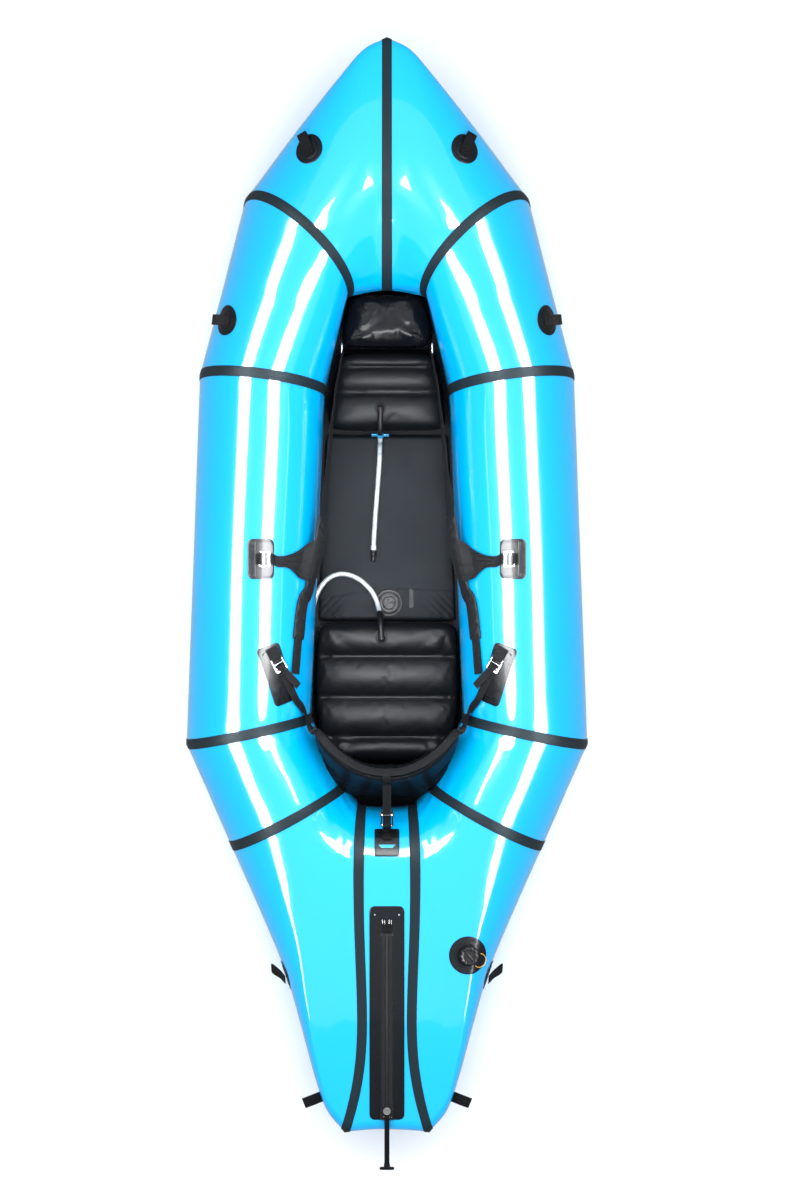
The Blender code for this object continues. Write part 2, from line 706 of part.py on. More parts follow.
def draped_patch(name, skin, side, seat, outline, thickness=PATCH_THICKNESS, rings=3):
    """Build a patch that follows the hull's skin round its seat."""
    bm = patch_bmesh(finer(outline, DRAPE_STEP), thickness, rings)
    drape(bm, seat, panel_tree(panel_name(skin, side)), DRAPE_GAPS.get(skin, DRAPE_GAP))
    bm.normal_update()
    if bm.calc_volume(signed=True) < 0:
        bmesh.ops.reverse_faces(bm, faces=bm.faces)
    return mesh_object(name, bm, TAPE_BLACK)


def webbing_loop(name, seat, length, height, width, lift):
    """Return a sewn webbing loop standing on a patch: a flattened ring of webbing."""
    outer = rounded_outline(length, height, height / 2, steps=2)
    inner = rounded_outline(length - 2 * WEBBING_THICKNESS, height - 2 * WEBBING_THICKNESS,
                            height / 2 - WEBBING_THICKNESS, steps=2)
    stand = Matrix.Translation((0, 0, lift + height / 2)) @ Matrix.Rotation(math.pi / 2, 4, "X")
    return plate(name, [outer, inner], width, seat @ stand, WEBBING_BLACK, CUTTERS)


def circle_outline(diameter, steps=12):
    """Return the plan points of a circle."""
    return [(diameter / 2 * math.cos(2 * math.pi * i / steps), diameter / 2 * math.sin(2 * math.pi * i / steps))
            for i in range(steps)]


def build_tie_downs():
    """Build the round patches with their webbing loops."""
    for side, word in ((-1, "left"), (1, "right")):
        for name, (skin, across, along) in TIE_DOWN_SHARES.items():
            seat = seat_on(skin, across, along, side, TIE_DOWN_HEADINGS[name])
            patch = draped_patch(f"{name}_{word}", skin, side, seat, circle_outline(TIE_DOWN_PATCH_DIAMETER))
            lift = DRAPE_GAPS.get(skin, DRAPE_GAP) + PATCH_THICKNESS - WEBBING_THICKNESS * LOOP_SINK_SHARE
            loop = webbing_loop(f"{name}_{word}_loop", seat, TIE_DOWN_LOOP_LENGTH, TIE_DOWN_LOOP_HEIGHT,
                                WEBBING_WIDTH, lift)
            join_solid(patch, loop)


def turned(name, profile, matrix, mat, sides=32, scallops=0, depth=0.0, scalloped=(), collection=PARTS):
    """Return a turned solid: a closed profile of (radius, height) carried round, some rows scalloped."""
    angles = 2 * math.pi * np.arange(sides) / sides
    rows = []
    for index, (radius, height) in enumerate(profile):
        reach = np.full(sides, float(radius))
        if index in scalloped:
            reach = reach - depth * (0.5 - 0.5 * np.cos(scallops * angles))
        rows.append(np.stack([reach * np.cos(angles), reach * np.sin(angles), np.full(sides, float(height))], axis=1))
    bm = grid_bmesh(np.array([*rows, rows[0]]), closed_columns=True)
    bmesh.ops.remove_doubles(bm, verts=bm.verts, dist=GAP / 10)
    bmesh.ops.dissolve_degenerate(bm, edges=bm.edges, dist=GAP / 10)
    bmesh.ops.recalc_face_normals(bm, faces=bm.faces)
    obj = mesh_object(name, bm, mat, collection, smooth=False)
    obj.matrix_world = matrix
    return obj


def build_leash(seat):
    """Build the cap's leash: a thin cord that loops from the flange over the patch and back."""
    tree = panel_tree("quarter_panel_right")
    up = seat.to_3x3() @ Vector((0, 0, 1))
    over = DRAPE_GAPS["quarter"] + PATCH_THICKNESS + LEASH_DIAMETER / 2 + 2 * GAP
    points = []
    for x, y, rise in LEASH_ROUTE:
        hit, normal, _, _ = tree.ray_cast(seat @ Vector((x, y, TUBE_RADIUS / 2)), -up)
        points.append(np.array(hit + normal * (over + rise)))
    hose("valve_leash", points, LEASH_DIAMETER, LEASH_PITCH, LEASH_ORANGE)


def hose(name, route, diameter, pitch, mat=HOSE_CLEAR):
    """Build a hose or cord along its route, with a point every two or three diameters."""
    length = float(np.sum(np.linalg.norm(np.diff(np.array(route), axis=0), axis=1)))
    points = smooth_path(route, int(length / (pitch * diameter)))
    curve = bpy.data.curves.new(name, "CURVE")
    curve.dimensions = "3D"
    curve.bevel_depth = diameter / 2
    curve.bevel_resolution = 2
    curve.use_fill_caps = True
    spline = curve.splines.new("POLY")
    spline.points.add(len(points) - 1)
    for point, place in zip(spline.points, points):
        point.co = (*place, 1)
    return link(bpy.data.objects.new(name, curve), mat)


def build_valve():
    """Build the air valve: its welded patch with a flange and neck, the scalloped cap, and the leash."""
    seat = seat_on("quarter", *VALVE_PLACE_SHARES)
    patch = draped_patch("valve_base", "quarter", 1, seat, circle_outline(VALVE_PATCH_DIAMETER, 20), rings=4)
    foot = DRAPE_GAPS["quarter"] + PATCH_THICKNESS * LOOP_SINK_SHARE
    flange_top = foot + VALVE_FLANGE_HEIGHT
    neck_top = flange_top + VALVE_NECK_HEIGHT
    housing = turned("valve_housing", [
        (VALVE_NECK_BORE, flange_top), (VALVE_NECK_BORE, neck_top), (VALVE_NECK_RADIUS, neck_top),
        (VALVE_NECK_RADIUS, flange_top), (VALVE_FLANGE_RADIUS, flange_top), (VALVE_FLANGE_RADIUS, foot),
        (0, foot), (0, flange_top)], seat, PLASTIC_BLACK, sides=12, collection=CUTTERS)
    join_solid(patch, housing)
    rim = flange_top + VALVE_CLEARANCE
    inside = VALVE_NECK_RADIUS + VALVE_CLEARANCE
    roof = neck_top + VALVE_CLEARANCE
    top = roof + VALVE_CAP_CROWN
    turned("valve_cap", [
        (inside, rim), (inside, roof), (0, roof), (0, top), (VALVE_CAP_RADIUS - VALVE_CAP_CROWN * 2, top),
        (VALVE_CAP_RADIUS - VALVE_CAP_CROWN / 2, roof), (VALVE_CAP_RADIUS, rim + VALVE_CAP_CROWN),
        (VALVE_CAP_RADIUS, rim)], seat, PLASTIC_BLACK, sides=30,
        scallops=VALVE_CAP_SCALLOPS, depth=VALVE_CAP_SCALLOP_DEPTH, scalloped=(5, 6, 7))
    build_leash(seat)
    return seat


def zip_seat():
    """Return the matrix of the deck line: origin at its stern end, Y towards the bow, Z out of the deck."""
    fore = Vector(STERN_CENTRE.at(1 / 6))
    aft = Vector(STERN_CENTRE.at(1 / 3))
    ahead = (fore - aft).normalized()
    right = Vector((1, 0, 0))
    up = right.cross(ahead).normalized()
    matrix = Matrix.Identity(4)
    matrix.col[0][:3] = right
    matrix.col[1][:3] = ahead
    matrix.col[2][:3] = up
    matrix.col[3][:3] = aft
    return matrix


def box(name, size, centre, matrix, mat, collection=PARTS, bevel=0.0):
    """Return a box made from a cube primitive, with rounded edges if a bevel is given."""
    bm = bmesh.new()
    bmesh.ops.create_cube(bm, size=1.0, matrix=Matrix.Diagonal((*size, 1)))
    bmesh.ops.triangulate(bm, faces=bm.faces)
    obj = mesh_object(name, bm, mat, collection, smooth=False)
    obj.matrix_world = matrix @ Matrix.Translation(centre)
    if bevel:
        mod = obj.modifiers.new("edges", "BEVEL")
        mod.width = bevel
        mod.segments = 1
        mod.limit_method = "ANGLE"
    return obj


def cut(target, tool):
    """Cut a second solid out of an object."""
    tool.hide_render = True
    tool.display_type = "WIRE"
    mod = target.modifiers.new("cut", "BOOLEAN")
    mod.operation = "DIFFERENCE"
    mod.solver = "EXACT"
    mod.object = tool
    return target


def rod(name, radius, length, centre, matrix, mat, collection=PARTS, axis="Y", sides=16):
    """Return a cylinder primitive along the local X axis after turning it about the named axis."""
    bm = bmesh.new()
    bmesh.ops.create_cone(bm, cap_ends=True, cap_tris=True, segments=sides, radius1=radius, radius2=radius,
                          depth=length)
    bmesh.ops.triangulate(bm, faces=bm.faces)
    obj = mesh_object(name, bm, mat, collection, smooth=False)
    turn = Matrix.Rotation(math.pi / 2, 4, axis)
    obj.matrix_world = matrix @ Matrix.Translation(centre) @ turn
    return obj


def zip_section(along):
    """Return the zipper's cross-section at a place along it: the flat tape and, on it, the tooth chain."""
    half = ZIP_TAPE_WIDTH / 2
    rim = min(along, ZIP_LENGTH - along)
    if rim < PATCH_CORNER:
        half -= PATCH_CORNER - math.sqrt(PATCH_CORNER ** 2 - (PATCH_CORNER - rim) ** 2)
    step = along / ZIP_TOOTH_PITCH
    start, end = ZIP_TOOTH_PITCH, ZIP_CHAIN_LENGTH
    if end < along <= end + ZIP_DOCK_LENGTH:
        ridge = bead = 0.92
    elif start <= along <= end:
        ridge, bead = (0.8 if round(2 * step) % 2 else 0.45), 1.0
    else:
        ridge = bead = 0.08
    chain, core = ZIP_CHAIN_WIDTH / 2, ZIP_BEAD_WIDTH / 2
    low, top = ZIP_LIFT, ZIP_LIFT + ZIP_TAPE_THICKNESS
    crest, spine = top + ZIP_CHAIN_HEIGHT * ridge, top + ZIP_CHAIN_HEIGHT * bead
    return [(-half, low), (-half, top), (-chain, top), (-chain, crest), (-core, spine), (core, spine),
            (chain, crest), (chain, top), (half, top), (half, low)]


def zip_strip(seat):
    """Build the zipper's tape and chain as one closed strip along the deck line."""
    marks = [0.0, PATCH_CORNER * 0.1, PATCH_CORNER * 0.4]
    marks += [ZIP_TOOTH_PITCH * (1 + 0.5 * k) for k in range(int(2 * ZIP_CHAIN_LENGTH / ZIP_TOOTH_PITCH) - 1)]
    dock = ZIP_CHAIN_LENGTH + ZIP_DOCK_LENGTH
    marks += [ZIP_CHAIN_LENGTH + GAP, dock, dock + 2 * GAP, ZIP_LENGTH - PATCH_CORNER]
    marks += [ZIP_LENGTH - PATCH_CORNER * 0.4, ZIP_LENGTH - PATCH_CORNER * 0.1, ZIP_LENGTH]
    rows = np.array([[(x, along, z) for x, z in zip_section(along)] for along in sorted(marks)])
    bm = grid_bmesh(rows, closed_columns=True)
    bm.verts.ensure_lookup_table()
    count = rows.shape[1]
    for start in (0, (len(rows) - 1) * count):
        bm.faces.new([bm.verts[start + i] for i in range(count)])
    bmesh.ops.triangulate(bm, faces=[f for f in bm.faces if len(f.verts) > 3])
    bmesh.ops.recalc_face_normals(bm, faces=bm.faces)
    strip = mesh_object("zip_strip", bm, TAPE_BLACK, smooth=False)
    strip.matrix_world = seat
    return strip


def build_zip():
    """Build the cargo zipper: its tape with the chain and dock, the slider and its pull."""
    seat = zip_seat()
    zip_strip(seat)
    floor = ZIP_LIFT + ZIP_TAPE_THICKNESS + GAP
    roof = ZIP_LIFT + ZIP_TAPE_THICKNESS + ZIP_CHAIN_HEIGHT + ZIP_SLIDER_CLEARANCE
    top = roof + ZIP_SLIDER_WALL
    width = ZIP_CHAIN_WIDTH + 2 * (ZIP_SLIDER_CLEARANCE + ZIP_SLIDER_WALL)
    along = ZIP_SLIDER_LENGTH / 2
    slider = box("zip_slider", (width, ZIP_SLIDER_LENGTH, top - floor), (0, along, (top + floor) / 2), seat,
                 PLASTIC_BLACK, bevel=ZIP_SLIDER_WALL / 2)
    channel = box("zip_slider_channel", (ZIP_CHAIN_WIDTH + 2 * ZIP_SLIDER_CLEARANCE, 2 * ZIP_SLIDER_LENGTH,
                                         2 * (roof - floor)), (0, along, floor), seat, PLASTIC_BLACK, CUTTERS)
    cut(slider, channel)
    pin_y = ZIP_SLIDER_LENGTH * 0.25
    eye_radius = PULL_PIN_RADIUS + ZIP_SLIDER_CLEARANCE + PULL_STRAP_THICKNESS
    pin_z = top + eye_radius + ZIP_SLIDER_CLEARANCE
    ear_gap = PULL_STRAP_WIDTH + 2 * ZIP_SLIDER_CLEARANCE
    ear = ZIP_SLIDER_WALL
    ear_height = pin_z + PULL_PIN_RADIUS * 1.6 - top + ZIP_SLIDER_WALL / 2
    for sign in (-1, 1):
        lug = box(f"zip_lug_{sign}", (ear, 4 * PULL_PIN_RADIUS, ear_height),
                  (sign * (ear_gap + ear) / 2, pin_y, top - ZIP_SLIDER_WALL / 2 + ear_height / 2), seat,
                  PLASTIC_BLACK, CUTTERS)
        join_solid(slider, lug)
    pin = rod("zip_pin", PULL_PIN_RADIUS, ear_gap + ear, (0, pin_y, pin_z), seat, PLASTIC_BLACK, CUTTERS)
    join_solid(slider, pin)

    eye = rod("zip_pull", eye_radius, PULL_STRAP_WIDTH, (0, 0, 0), seat @ Matrix.Translation((0, pin_y, pin_z)),
              WEBBING_BLACK)
    place = seat @ Matrix.Translation((0, pin_y, pin_z))
    strap = box("zip_pull_strap", (PULL_STRAP_WIDTH, PULL_LENGTH, PULL_STRAP_THICKNESS),
                (0, -PULL_LENGTH / 2 - eye_radius / 2, 0), place, WEBBING_BLACK, CUTTERS)
    bar = rod("zip_pull_bar", PULL_BAR_DIAMETER / 2, PULL_BAR_LENGTH, (0, -PULL_LENGTH - eye_radius / 2, 0), place,
              PLASTIC_BLACK, CUTTERS)
    bore = rod("zip_pull_bore", PULL_PIN_RADIUS + ZIP_SLIDER_CLEARANCE, 2 * PULL_STRAP_WIDTH, (0, 0, 0), place,
               PLASTIC_BLACK, CUTTERS)
    join_solid(eye, strap)
    join_solid(eye, bar)
    cut(eye, bore)
    return seat, place


build_tie_downs()
VALVE_SEAT = build_valve()
ZIP_SEAT, PULL_SEAT = build_zip()

# The cockpit's contents: places along are shares of half the length
FOOT_REST_SHARES = (0.432, 0.286)
BOW_PILLOW_SHARES = (0.538, 0.440)
BOW_PILLOW_FRONT_SHARE = 0.74
FLOOR_MAT_SHARES = (0.283, -0.061)
SEAT_SHARES = (-0.070, -0.323)
FOOT_REST_HEIGHT = 0.130
BOW_PILLOW_HEIGHT = 0.150
FLOOR_MAT_HEIGHT = 0.024
SEAT_HEIGHT = 0.090
CUSHION_CLEARANCE = 0.006
FOOT_REST_RIBS = 4
SEAT_RIBS = 4
MAT_RIBS = 1
RIB_DEPTH_SHARE = 0.22
CUSHION_WAIST_SHARE = 0.86
MAT_VALVE_ACROSS_SHARE = 0.010
MAT_VALVE_MARGIN = 0.00875
MAT_VALVE_RADIUS = 0.030
MAT_VALVE_HEIGHT = 0.004
MAT_CAP_RADIUS = 0.014
MAT_CAP_HEIGHT = 0.007

BACKREST_WIDTH = 0.328
BACKREST_TOP = 0.345
BACKREST_BASE = 0.052
BACKREST_FRONT_ALONG = -0.412
BACKREST_DEPTH = 0.072
BACKREST_CREST = 0.030
BACKREST_WING_REACH = 0.098
BACKREST_WING_DEPTH = 0.026
BACKREST_WING_BASE = 0.205
BACKREST_WING_TOP = 0.310
BACKREST_PIVOT_HEIGHT = 0.096


def wall_at(along, height):
    """Return how far the cockpit wall stands from the middle plane at a place along and a height."""
    nearest = 10 * HALF_BEAM
    turns = np.linspace(0.0, 0.2, 11).tolist() + np.linspace(0.8, 1.0, 11).tolist()
    for name in ("bow", "shoulder", "side", "hip"):
        skin = SKINS[name]
        for share in np.linspace(0, 1, 25):
            line = np.array([skin.point(turn, share) for turn in turns])
            close = (np.abs(line[:, 1] - along) < HALF_LENGTH * 0.02) & (np.abs(line[:, 2] - height) < TUBE_RADIUS / 4)
            if close.any():
                nearest = min(nearest, float(line[close, 0].min()))
    return nearest


def floor_at(along):
    """Return the height of the floor's top at a place along."""
    edge = floor_edge()
    order = np.argsort(edge[:, 1])
    return float(np.interp(along, edge[order, 1], edge[order, 2])) + FLOOR_THICKNESS + GAP


def cushion(name, start, end, half_widths, height, ribs, mat=CUSHION_BLACK, cells=(8, 20), base=None):
    """Build an inflated cushion: a crowned closed form with drawn-in sides and ribs across it."""
    across, along = cells
    bm = bmesh.new()
    bmesh.ops.create_grid(bm, x_segments=across, y_segments=along, size=1.0)
    top_faces = list(bm.faces)
    sheet = bmesh.ops.extrude_face_region(bm, geom=top_faces)
    top = {v for v in sheet["geom"] if isinstance(v, bmesh.types.BMVert)}
    for vert in bm.verts:
        s, t = vert.co.x, vert.co.y
        place = (t + 1) / 2
        y = end + (start - end) * place
        half = half_widths[1] + (half_widths[0] - half_widths[1]) * place
        edge_s = 1 - abs(s) ** 6
        edge_t = 1 - abs(t) ** 12
        crown = (max(edge_s, 0) * max(edge_t, 0)) ** 0.5
        groove = abs(math.cos(math.pi * ribs * place)) ** 6 if ribs > 1 else 0.0
        low = floor_at(y) if base is None else base
        if vert in top:
            z = low + height * (0.42 + 0.58 * crown * (1 - RIB_DEPTH_SHARE * groove))
        else:
            z = low + height * 0.30 * (1 - crown) * min(1.0, 4 * (1 - crown))
        waist = 1 - (1 - CUSHION_WAIST_SHARE) * (1 - t ** 4) * 0.15
        vert.co = (s * half * waist, y, z)
    bmesh.ops.recalc_face_normals(bm, faces=bm.faces)
    bmesh.ops.triangulate(bm, faces=bm.faces)
    return mesh_object(name, bm, mat)


def build_cushions():
    """Build the bow pillow, the foot rest, the floor mat, the seat and the mat's valve."""
    def span(shares, height):
        start, end = (share * HALF_LENGTH for share in shares)
        gap = CUSHION_CLEARANCE
        return start - gap / 2, end + gap / 2, tuple(
            min(wall_at(y, level) for level in (TUBE_RADIUS / 2, height, TUBE_RADIUS)) - gap
            for y in (start, end))
    for name, shares, height, ribs, cells in (
            ("bow_pillow", BOW_PILLOW_SHARES, BOW_PILLOW_HEIGHT, 1, (6, 6)),
            ("foot_rest", FOOT_REST_SHARES, FOOT_REST_HEIGHT, FOOT_REST_RIBS, (6, 16)),
            ("floor_mat", FLOOR_MAT_SHARES, FLOOR_MAT_HEIGHT, MAT_RIBS, (6, 8)),
            ("seat_cushion", SEAT_SHARES, SEAT_HEIGHT, SEAT_RIBS, (6, 16))):
        start, end, halves = span(shares, height)
        if name == "bow_pillow":
            halves = (halves[1] * BOW_PILLOW_FRONT_SHARE, halves[1])
        cushion(name, start, end, halves, height, ribs, cells=cells)


def build_mat_valve():
    """Build the flat valve welded on the floor mat."""
    x = MAT_VALVE_ACROSS_SHARE * HALF_BEAM
    y = FLOOR_MAT_SHARES[1] * HALF_LENGTH + MAT_VALVE_RADIUS + MAT_VALVE_MARGIN
    tree = BVHTree.FromObject(bpy.data.objects["floor_mat"], bpy.context.evaluated_depsgraph_get())
    ring = [tree.ray_cast(Vector((x + MAT_VALVE_RADIUS * c, y + MAT_VALVE_RADIUS * s, SEAT_HEIGHT)), Vector((0, 0, -1)))
            for c, s in ((0, 0), (1, 0), (-1, 0), (0, 1), (0, -1))]
    level = max(hit[0].z for hit in ring) + GAP
    seat = Matrix.Translation((x, y, level))
    turned("mat_valve", [
        (0, 0), (0, MAT_CAP_HEIGHT), (MAT_CAP_RADIUS * 0.86, MAT_CAP_HEIGHT), (MAT_CAP_RADIUS, MAT_CAP_HEIGHT * 0.8),
        (MAT_CAP_RADIUS, MAT_VALVE_HEIGHT * 0.5), (MAT_VALVE_RADIUS * 0.94, MAT_VALVE_HEIGHT * 0.5),
        (MAT_VALVE_RADIUS, MAT_VALVE_HEIGHT * 0.2), (MAT_VALVE_RADIUS, 0)], seat, PLASTIC_BLACK, sides=14)


def backrest_section(a):
    """Return the backrest's outline at a share across it, from -1 to 1, as points along and up."""
    swing = abs(a) ** 2.2
    front = BACKREST_FRONT_ALONG + BACKREST_WING_REACH * swing
    low = BACKREST_BASE + (BACKREST_WING_BASE - BACKREST_BASE) * abs(a) ** 0.8
    high = BACKREST_TOP + (BACKREST_WING_TOP - BACKREST_TOP) * swing
    depth = BACKREST_DEPTH + (BACKREST_WING_DEPTH - BACKREST_DEPTH) * abs(a) ** 1.2
    crest = min(BACKREST_CREST, depth * 0.7)
    tall = high - low
    points = []
    for share, bulge in ((0.06, 0.30), (0.30, 0.0), (0.5, -0.06), (0.7, 0.0), (0.94, 0.22)):
        points.append((front - depth * bulge * 0.35, low + tall * share))
    points.append((front - crest * 0.5, high))
    points.append((front - crest, high - tall * 0.05))
    points.append((front - crest - (depth - crest) * 0.45, low + tall * 0.55))
    points.append((front - depth, low + tall * 0.16))
    points.append((front - depth * 0.92, low + tall * 0.02))
    points.append((front - depth * 0.5, low))
    return points


def build_backrest():
    """Build the backrest: a wedge-like pad with wings that come forward, hinged at the seat's back edge."""
    pivot = Vector((0, BACKREST_FRONT_ALONG, BACKREST_PIVOT_HEIGHT))
    rows = []
    for a in np.linspace(-1, 1, 13):
        x = BACKREST_WIDTH / 2 * a
        rows.append([(x, y - pivot.y, z - pivot.z) for y, z in backrest_section(a)])
    rows = np.array(rows)
    bm = grid_bmesh(rows, closed_columns=True)
    bm.verts.ensure_lookup_table()
    count = rows.shape[1]
    for start in (0, (len(rows) - 1) * count):
        bm.faces.new([bm.verts[start + i] for i in range(count)])
    bmesh.ops.triangulate(bm, faces=[f for f in bm.faces if len(f.verts) > 3])
    bmesh.ops.recalc_face_normals(bm, faces=bm.faces)
    backrest = mesh_object("backrest", bm, CUSHION_BLACK)
    backrest.location = pivot
    return pivot


build_cushions()
build_mat_valve()
PIVOT = build_backrest()
bpy.context.view_layer.update()

# Straps and their fittings
STRAP_LIFT = 0.0016
PATCHED_STRAP_LIFT = STRAP_LIFT + PATCH_THICKNESS + 1.8 * DRAPE_GAP
THIGH_STRAP_WIDTH = 0.025
THIGH_PAD_WIDTH = 0.036
THIGH_PAD_THICKNESS = 0.007
THIGH_ANCHOR_HEIGHT = 0.185
THIGH_FREE_PLACES = (
    # across share, along share, height share between the front anchor and the tube's top
    (0.222, 0.431, 0.00),
    (0.262, 0.343, 0.10),
    (0.298, 0.214, 0.22),
    (0.335, 0.085, 0.36),
)
THIGH_SKIN_PLACES = (
    (0.392, 0.000),
    (0.424, -0.030),
    (0.446, -0.098),
    (0.462, -0.160),
)
KNEE_STRAP_PLACES = ((0.548, 0.050), (0.510, 0.047), (0.470, 0.040), (0.436, 0.030))
BACKREST_STRAP_PLACES = ((0.462, -0.205), (0.420, -0.232))
BACKREST_STRAP_END_SHARE = 0.72
STRAP_END_CLEARANCE = 0.0022
REAR_BUCKLE_LENGTH = 0.040
REAR_BUCKLE_WIDTH = 0.030
REAR_BUCKLE_THICKNESS = 0.004
REAR_BUCKLE_BAR = 0.0045
REAR_BUCKLE_ALONG = -0.530
REAR_BUCKLE_HEIGHT = 0.300
REAR_PATCH_ALONG_SHARE = -0.467
REAR_PATCH_LENGTH = 0.070
REAR_PATCH_WIDTH = 0.057
REAR_TAB_SHARES = (0.10, 0.26, 0.42)
# Places are turns round the quarter panel's section, shares along it, and rises over the tape's middle layer
STERN_LOOP_PLACES = (
    (0.684, 0.990, 0.0), (0.685, 0.955, 0.0012), (0.680, 0.905, 0.0020), (0.674, 0.855, 0.0024),
    (0.668, 0.815, 0.0026),
)
STERN_LOOP_LIFT = TAPE_GAP + TAPE_THICKNESS * 0.7
STERN_LOOP_REACH = 0.052
STERN_LOOP_HEIGHT = 0.009
STERN_LOOP_LENGTH = 0.040
STERN_LOOP_HEADING = math.radians(-21)
STERN_LOOP_POINTS = 10

# Hoses
HOSE_DIAMETER = 0.011
HOSE_PITCH = 2.4
MOUTHPIECE_LENGTH = 0.026
MOUTHPIECE_RADIUS = 0.0068
MOUTHPIECE_COLLAR = 0.0085
FOOT_HOSE_ROUTE = (
    (-0.0150, 0.4050, 0.1400), (-0.0151, 0.3950, 0.1402), (-0.0152, 0.3850, 0.1400), (-0.0154, 0.3715, 0.1381),
    (-0.0156, 0.3590, 0.1328), (-0.0158, 0.3482, 0.1241), (-0.0159, 0.3398, 0.1130), (-0.0160, 0.3344, 0.0999),
    (-0.0161, 0.3326, 0.0865), (-0.0162, 0.3308, 0.0730), (-0.0164, 0.3254, 0.0602), (-0.0167, 0.3170, 0.0496),
    (-0.0171, 0.3062, 0.0400), (-0.0176, 0.2936, 0.0344), (-0.0182, 0.2800, 0.0320), (-0.0200, 0.2560, 0.0316),
    (-0.0218, 0.2320, 0.0316), (-0.0236, 0.2080, 0.0316), (-0.0254, 0.1840, 0.0316), (-0.0272, 0.1600, 0.0316),
    (-0.0288, 0.1360, 0.0320), (-0.0302, 0.1100, 0.0332), (-0.0312, 0.0840, 0.0346),
)
SEAT_HOSE_ROUTE = (
    (-0.0126, -0.1228, 0.0990), (-0.0132, -0.1140, 0.0993), (-0.0138, -0.1050, 0.0990), (-0.0145, -0.0896, 0.0963),
    (-0.0152, -0.0761, 0.0885), (-0.0160, -0.0664, 0.0768), (-0.0170, -0.0600, 0.0640), (-0.0184, -0.0535, 0.0520),
    (-0.0208, -0.0440, 0.0428), (-0.0248, -0.0318, 0.0368), (-0.0310, -0.0184, 0.0338), (-0.0392, -0.0064, 0.0322),
    (-0.0500, 0.0052, 0.0316), (-0.0640, 0.0164, 0.0316), (-0.0803, 0.0246, 0.0316), (-0.0965, 0.0286, 0.0316),
    (-0.1125, 0.0284, 0.0316), (-0.1280, 0.0232, 0.0318), (-0.1420, 0.0128, 0.0324), (-0.1552, -0.0048, 0.0320),
    (-0.1648, -0.0260, 0.0296), (-0.1706, -0.0490, 0.0246), (-0.1738, -0.0720, 0.0186), (-0.1754, -0.0950, 0.0140),
    (-0.1760, -0.1180, 0.0112),
)


def skin_point(skin, across, along, lift, side=1.0):
    """Return a point over the hull's skin and its normal."""
    seat = seat_on(skin, across, along, side)
    up = seat.to_3x3() @ Vector((0, 0, 1))
    return np.array(seat.translation + up * lift), np.array(up)


def rest_height(obj, seat, outline):
    """Return the height, over a seat, of the highest point of an object's surface inside an outline."""
    tree = BVHTree.FromObject(obj, bpy.context.evaluated_depsgraph_get())
    up = seat.to_3x3() @ Vector((0, 0, 1))
    back = seat.inverted()
    heights = []
    for x, y in outline:
        for share in (0.0, 0.35, 0.7, 1.0):
            hit = tree.ray_cast(seat @ Vector((x * share, y * share, TUBE_RADIUS / 3)), -up)[0]
            if hit is not None:
                heights.append((back @ hit).z)
    return max(heights)


def build_knee_fittings():
    """Build the knee patches with their webbing band and the open hook buckles on them."""
    for side, word in ((-1, "left"), (1, "right")):
        seat = seat_on("side", *KNEE_PLACE_SHARES, side, 0.0)
        outline = rounded_outline(KNEE_PATCH_WIDTH, KNEE_PATCH_LENGTH, PATCH_CORNER)
        patch = draped_patch(f"knee_patch_{word}", "side", side, seat, outline)
        bar = KNEE_HOOK_THICKNESS
        outer = rounded_outline(KNEE_HOOK_WIDTH, KNEE_HOOK_LENGTH, bar)
        place = seat @ Matrix.Translation((0, 0, rest_height(patch, seat, outer) + GAP + KNEE_HOOK_THICKNESS / 2))
        reach = KNEE_HOOK_WIDTH / 2 - bar
        slots = [[(x * reach, y * bar * 1.1 + shift * (KNEE_HOOK_LENGTH / 4)) for x, y in
                  ((1, 1), (-1, 1), (-1, -1), (1, -1))] for shift in (-1, 1)]
        plate(f"knee_hook_{word}", [outer, *slots], KNEE_HOOK_THICKNESS, place, METAL_LIGHT)


def build_hip_fittings():
    """Build the hip patches with their ladder locks, and return the locks' places."""
    locks = {}
    for side, word in ((-1, "left"), (1, "right")):
        seat = seat_on("side", *HIP_PLACE_SHARES, side, -math.pi / 2 - HIP_TILT)
        outline = rounded_outline(HIP_PATCH_LENGTH, HIP_PATCH_WIDTH, HIP_PATCH_WIDTH * 0.35, steps=3)
        patch = draped_patch(f"hip_patch_{word}", "side", side, seat, outline, rings=4)
        seat = seat_on("side", *LADDER_PLACE_SHARES, side, -math.pi / 2 - HIP_TILT)
        outer = rounded_outline(LADDER_LENGTH, LADDER_WIDTH, LADDER_BAR)
        place = seat @ Matrix.Translation((0, 0, rest_height(patch, seat, outer) + GAP + LADDER_THICKNESS / 2))
        reach = LADDER_WIDTH / 2 - LADDER_BAR
        slots = [[(x * LADDER_BAR * 0.8 + shift * LADDER_LENGTH / 4, y * reach) for x, y in
                  ((1, 1), (-1, 1), (-1, -1), (1, -1))] for shift in (-1, 1)]
        plate(f"ladder_lock_{word}", [outer, *slots], LADDER_THICKNESS, place, PLASTIC_BLACK)
        locks[word] = place
    return locks


build_knee_fittings()
LOCKS = build_hip_fittings()


def held_off(path, lift, side, skins=("shoulder", "side", "hip")):
    """Return a strap's path with each point at least a lift away from the hull's skin beside it."""
    tree = panel_tree(*(panel_name(skin, side) for skin in skins))
    moved = []
    for point in path:
        hit, normal, _, _ = tree.find_nearest(Vector(point))
        if (Vector(point) - hit).dot(normal) < lift:
            point = np.array(hit + normal * lift)
        moved.append(point)
    return np.array(moved)


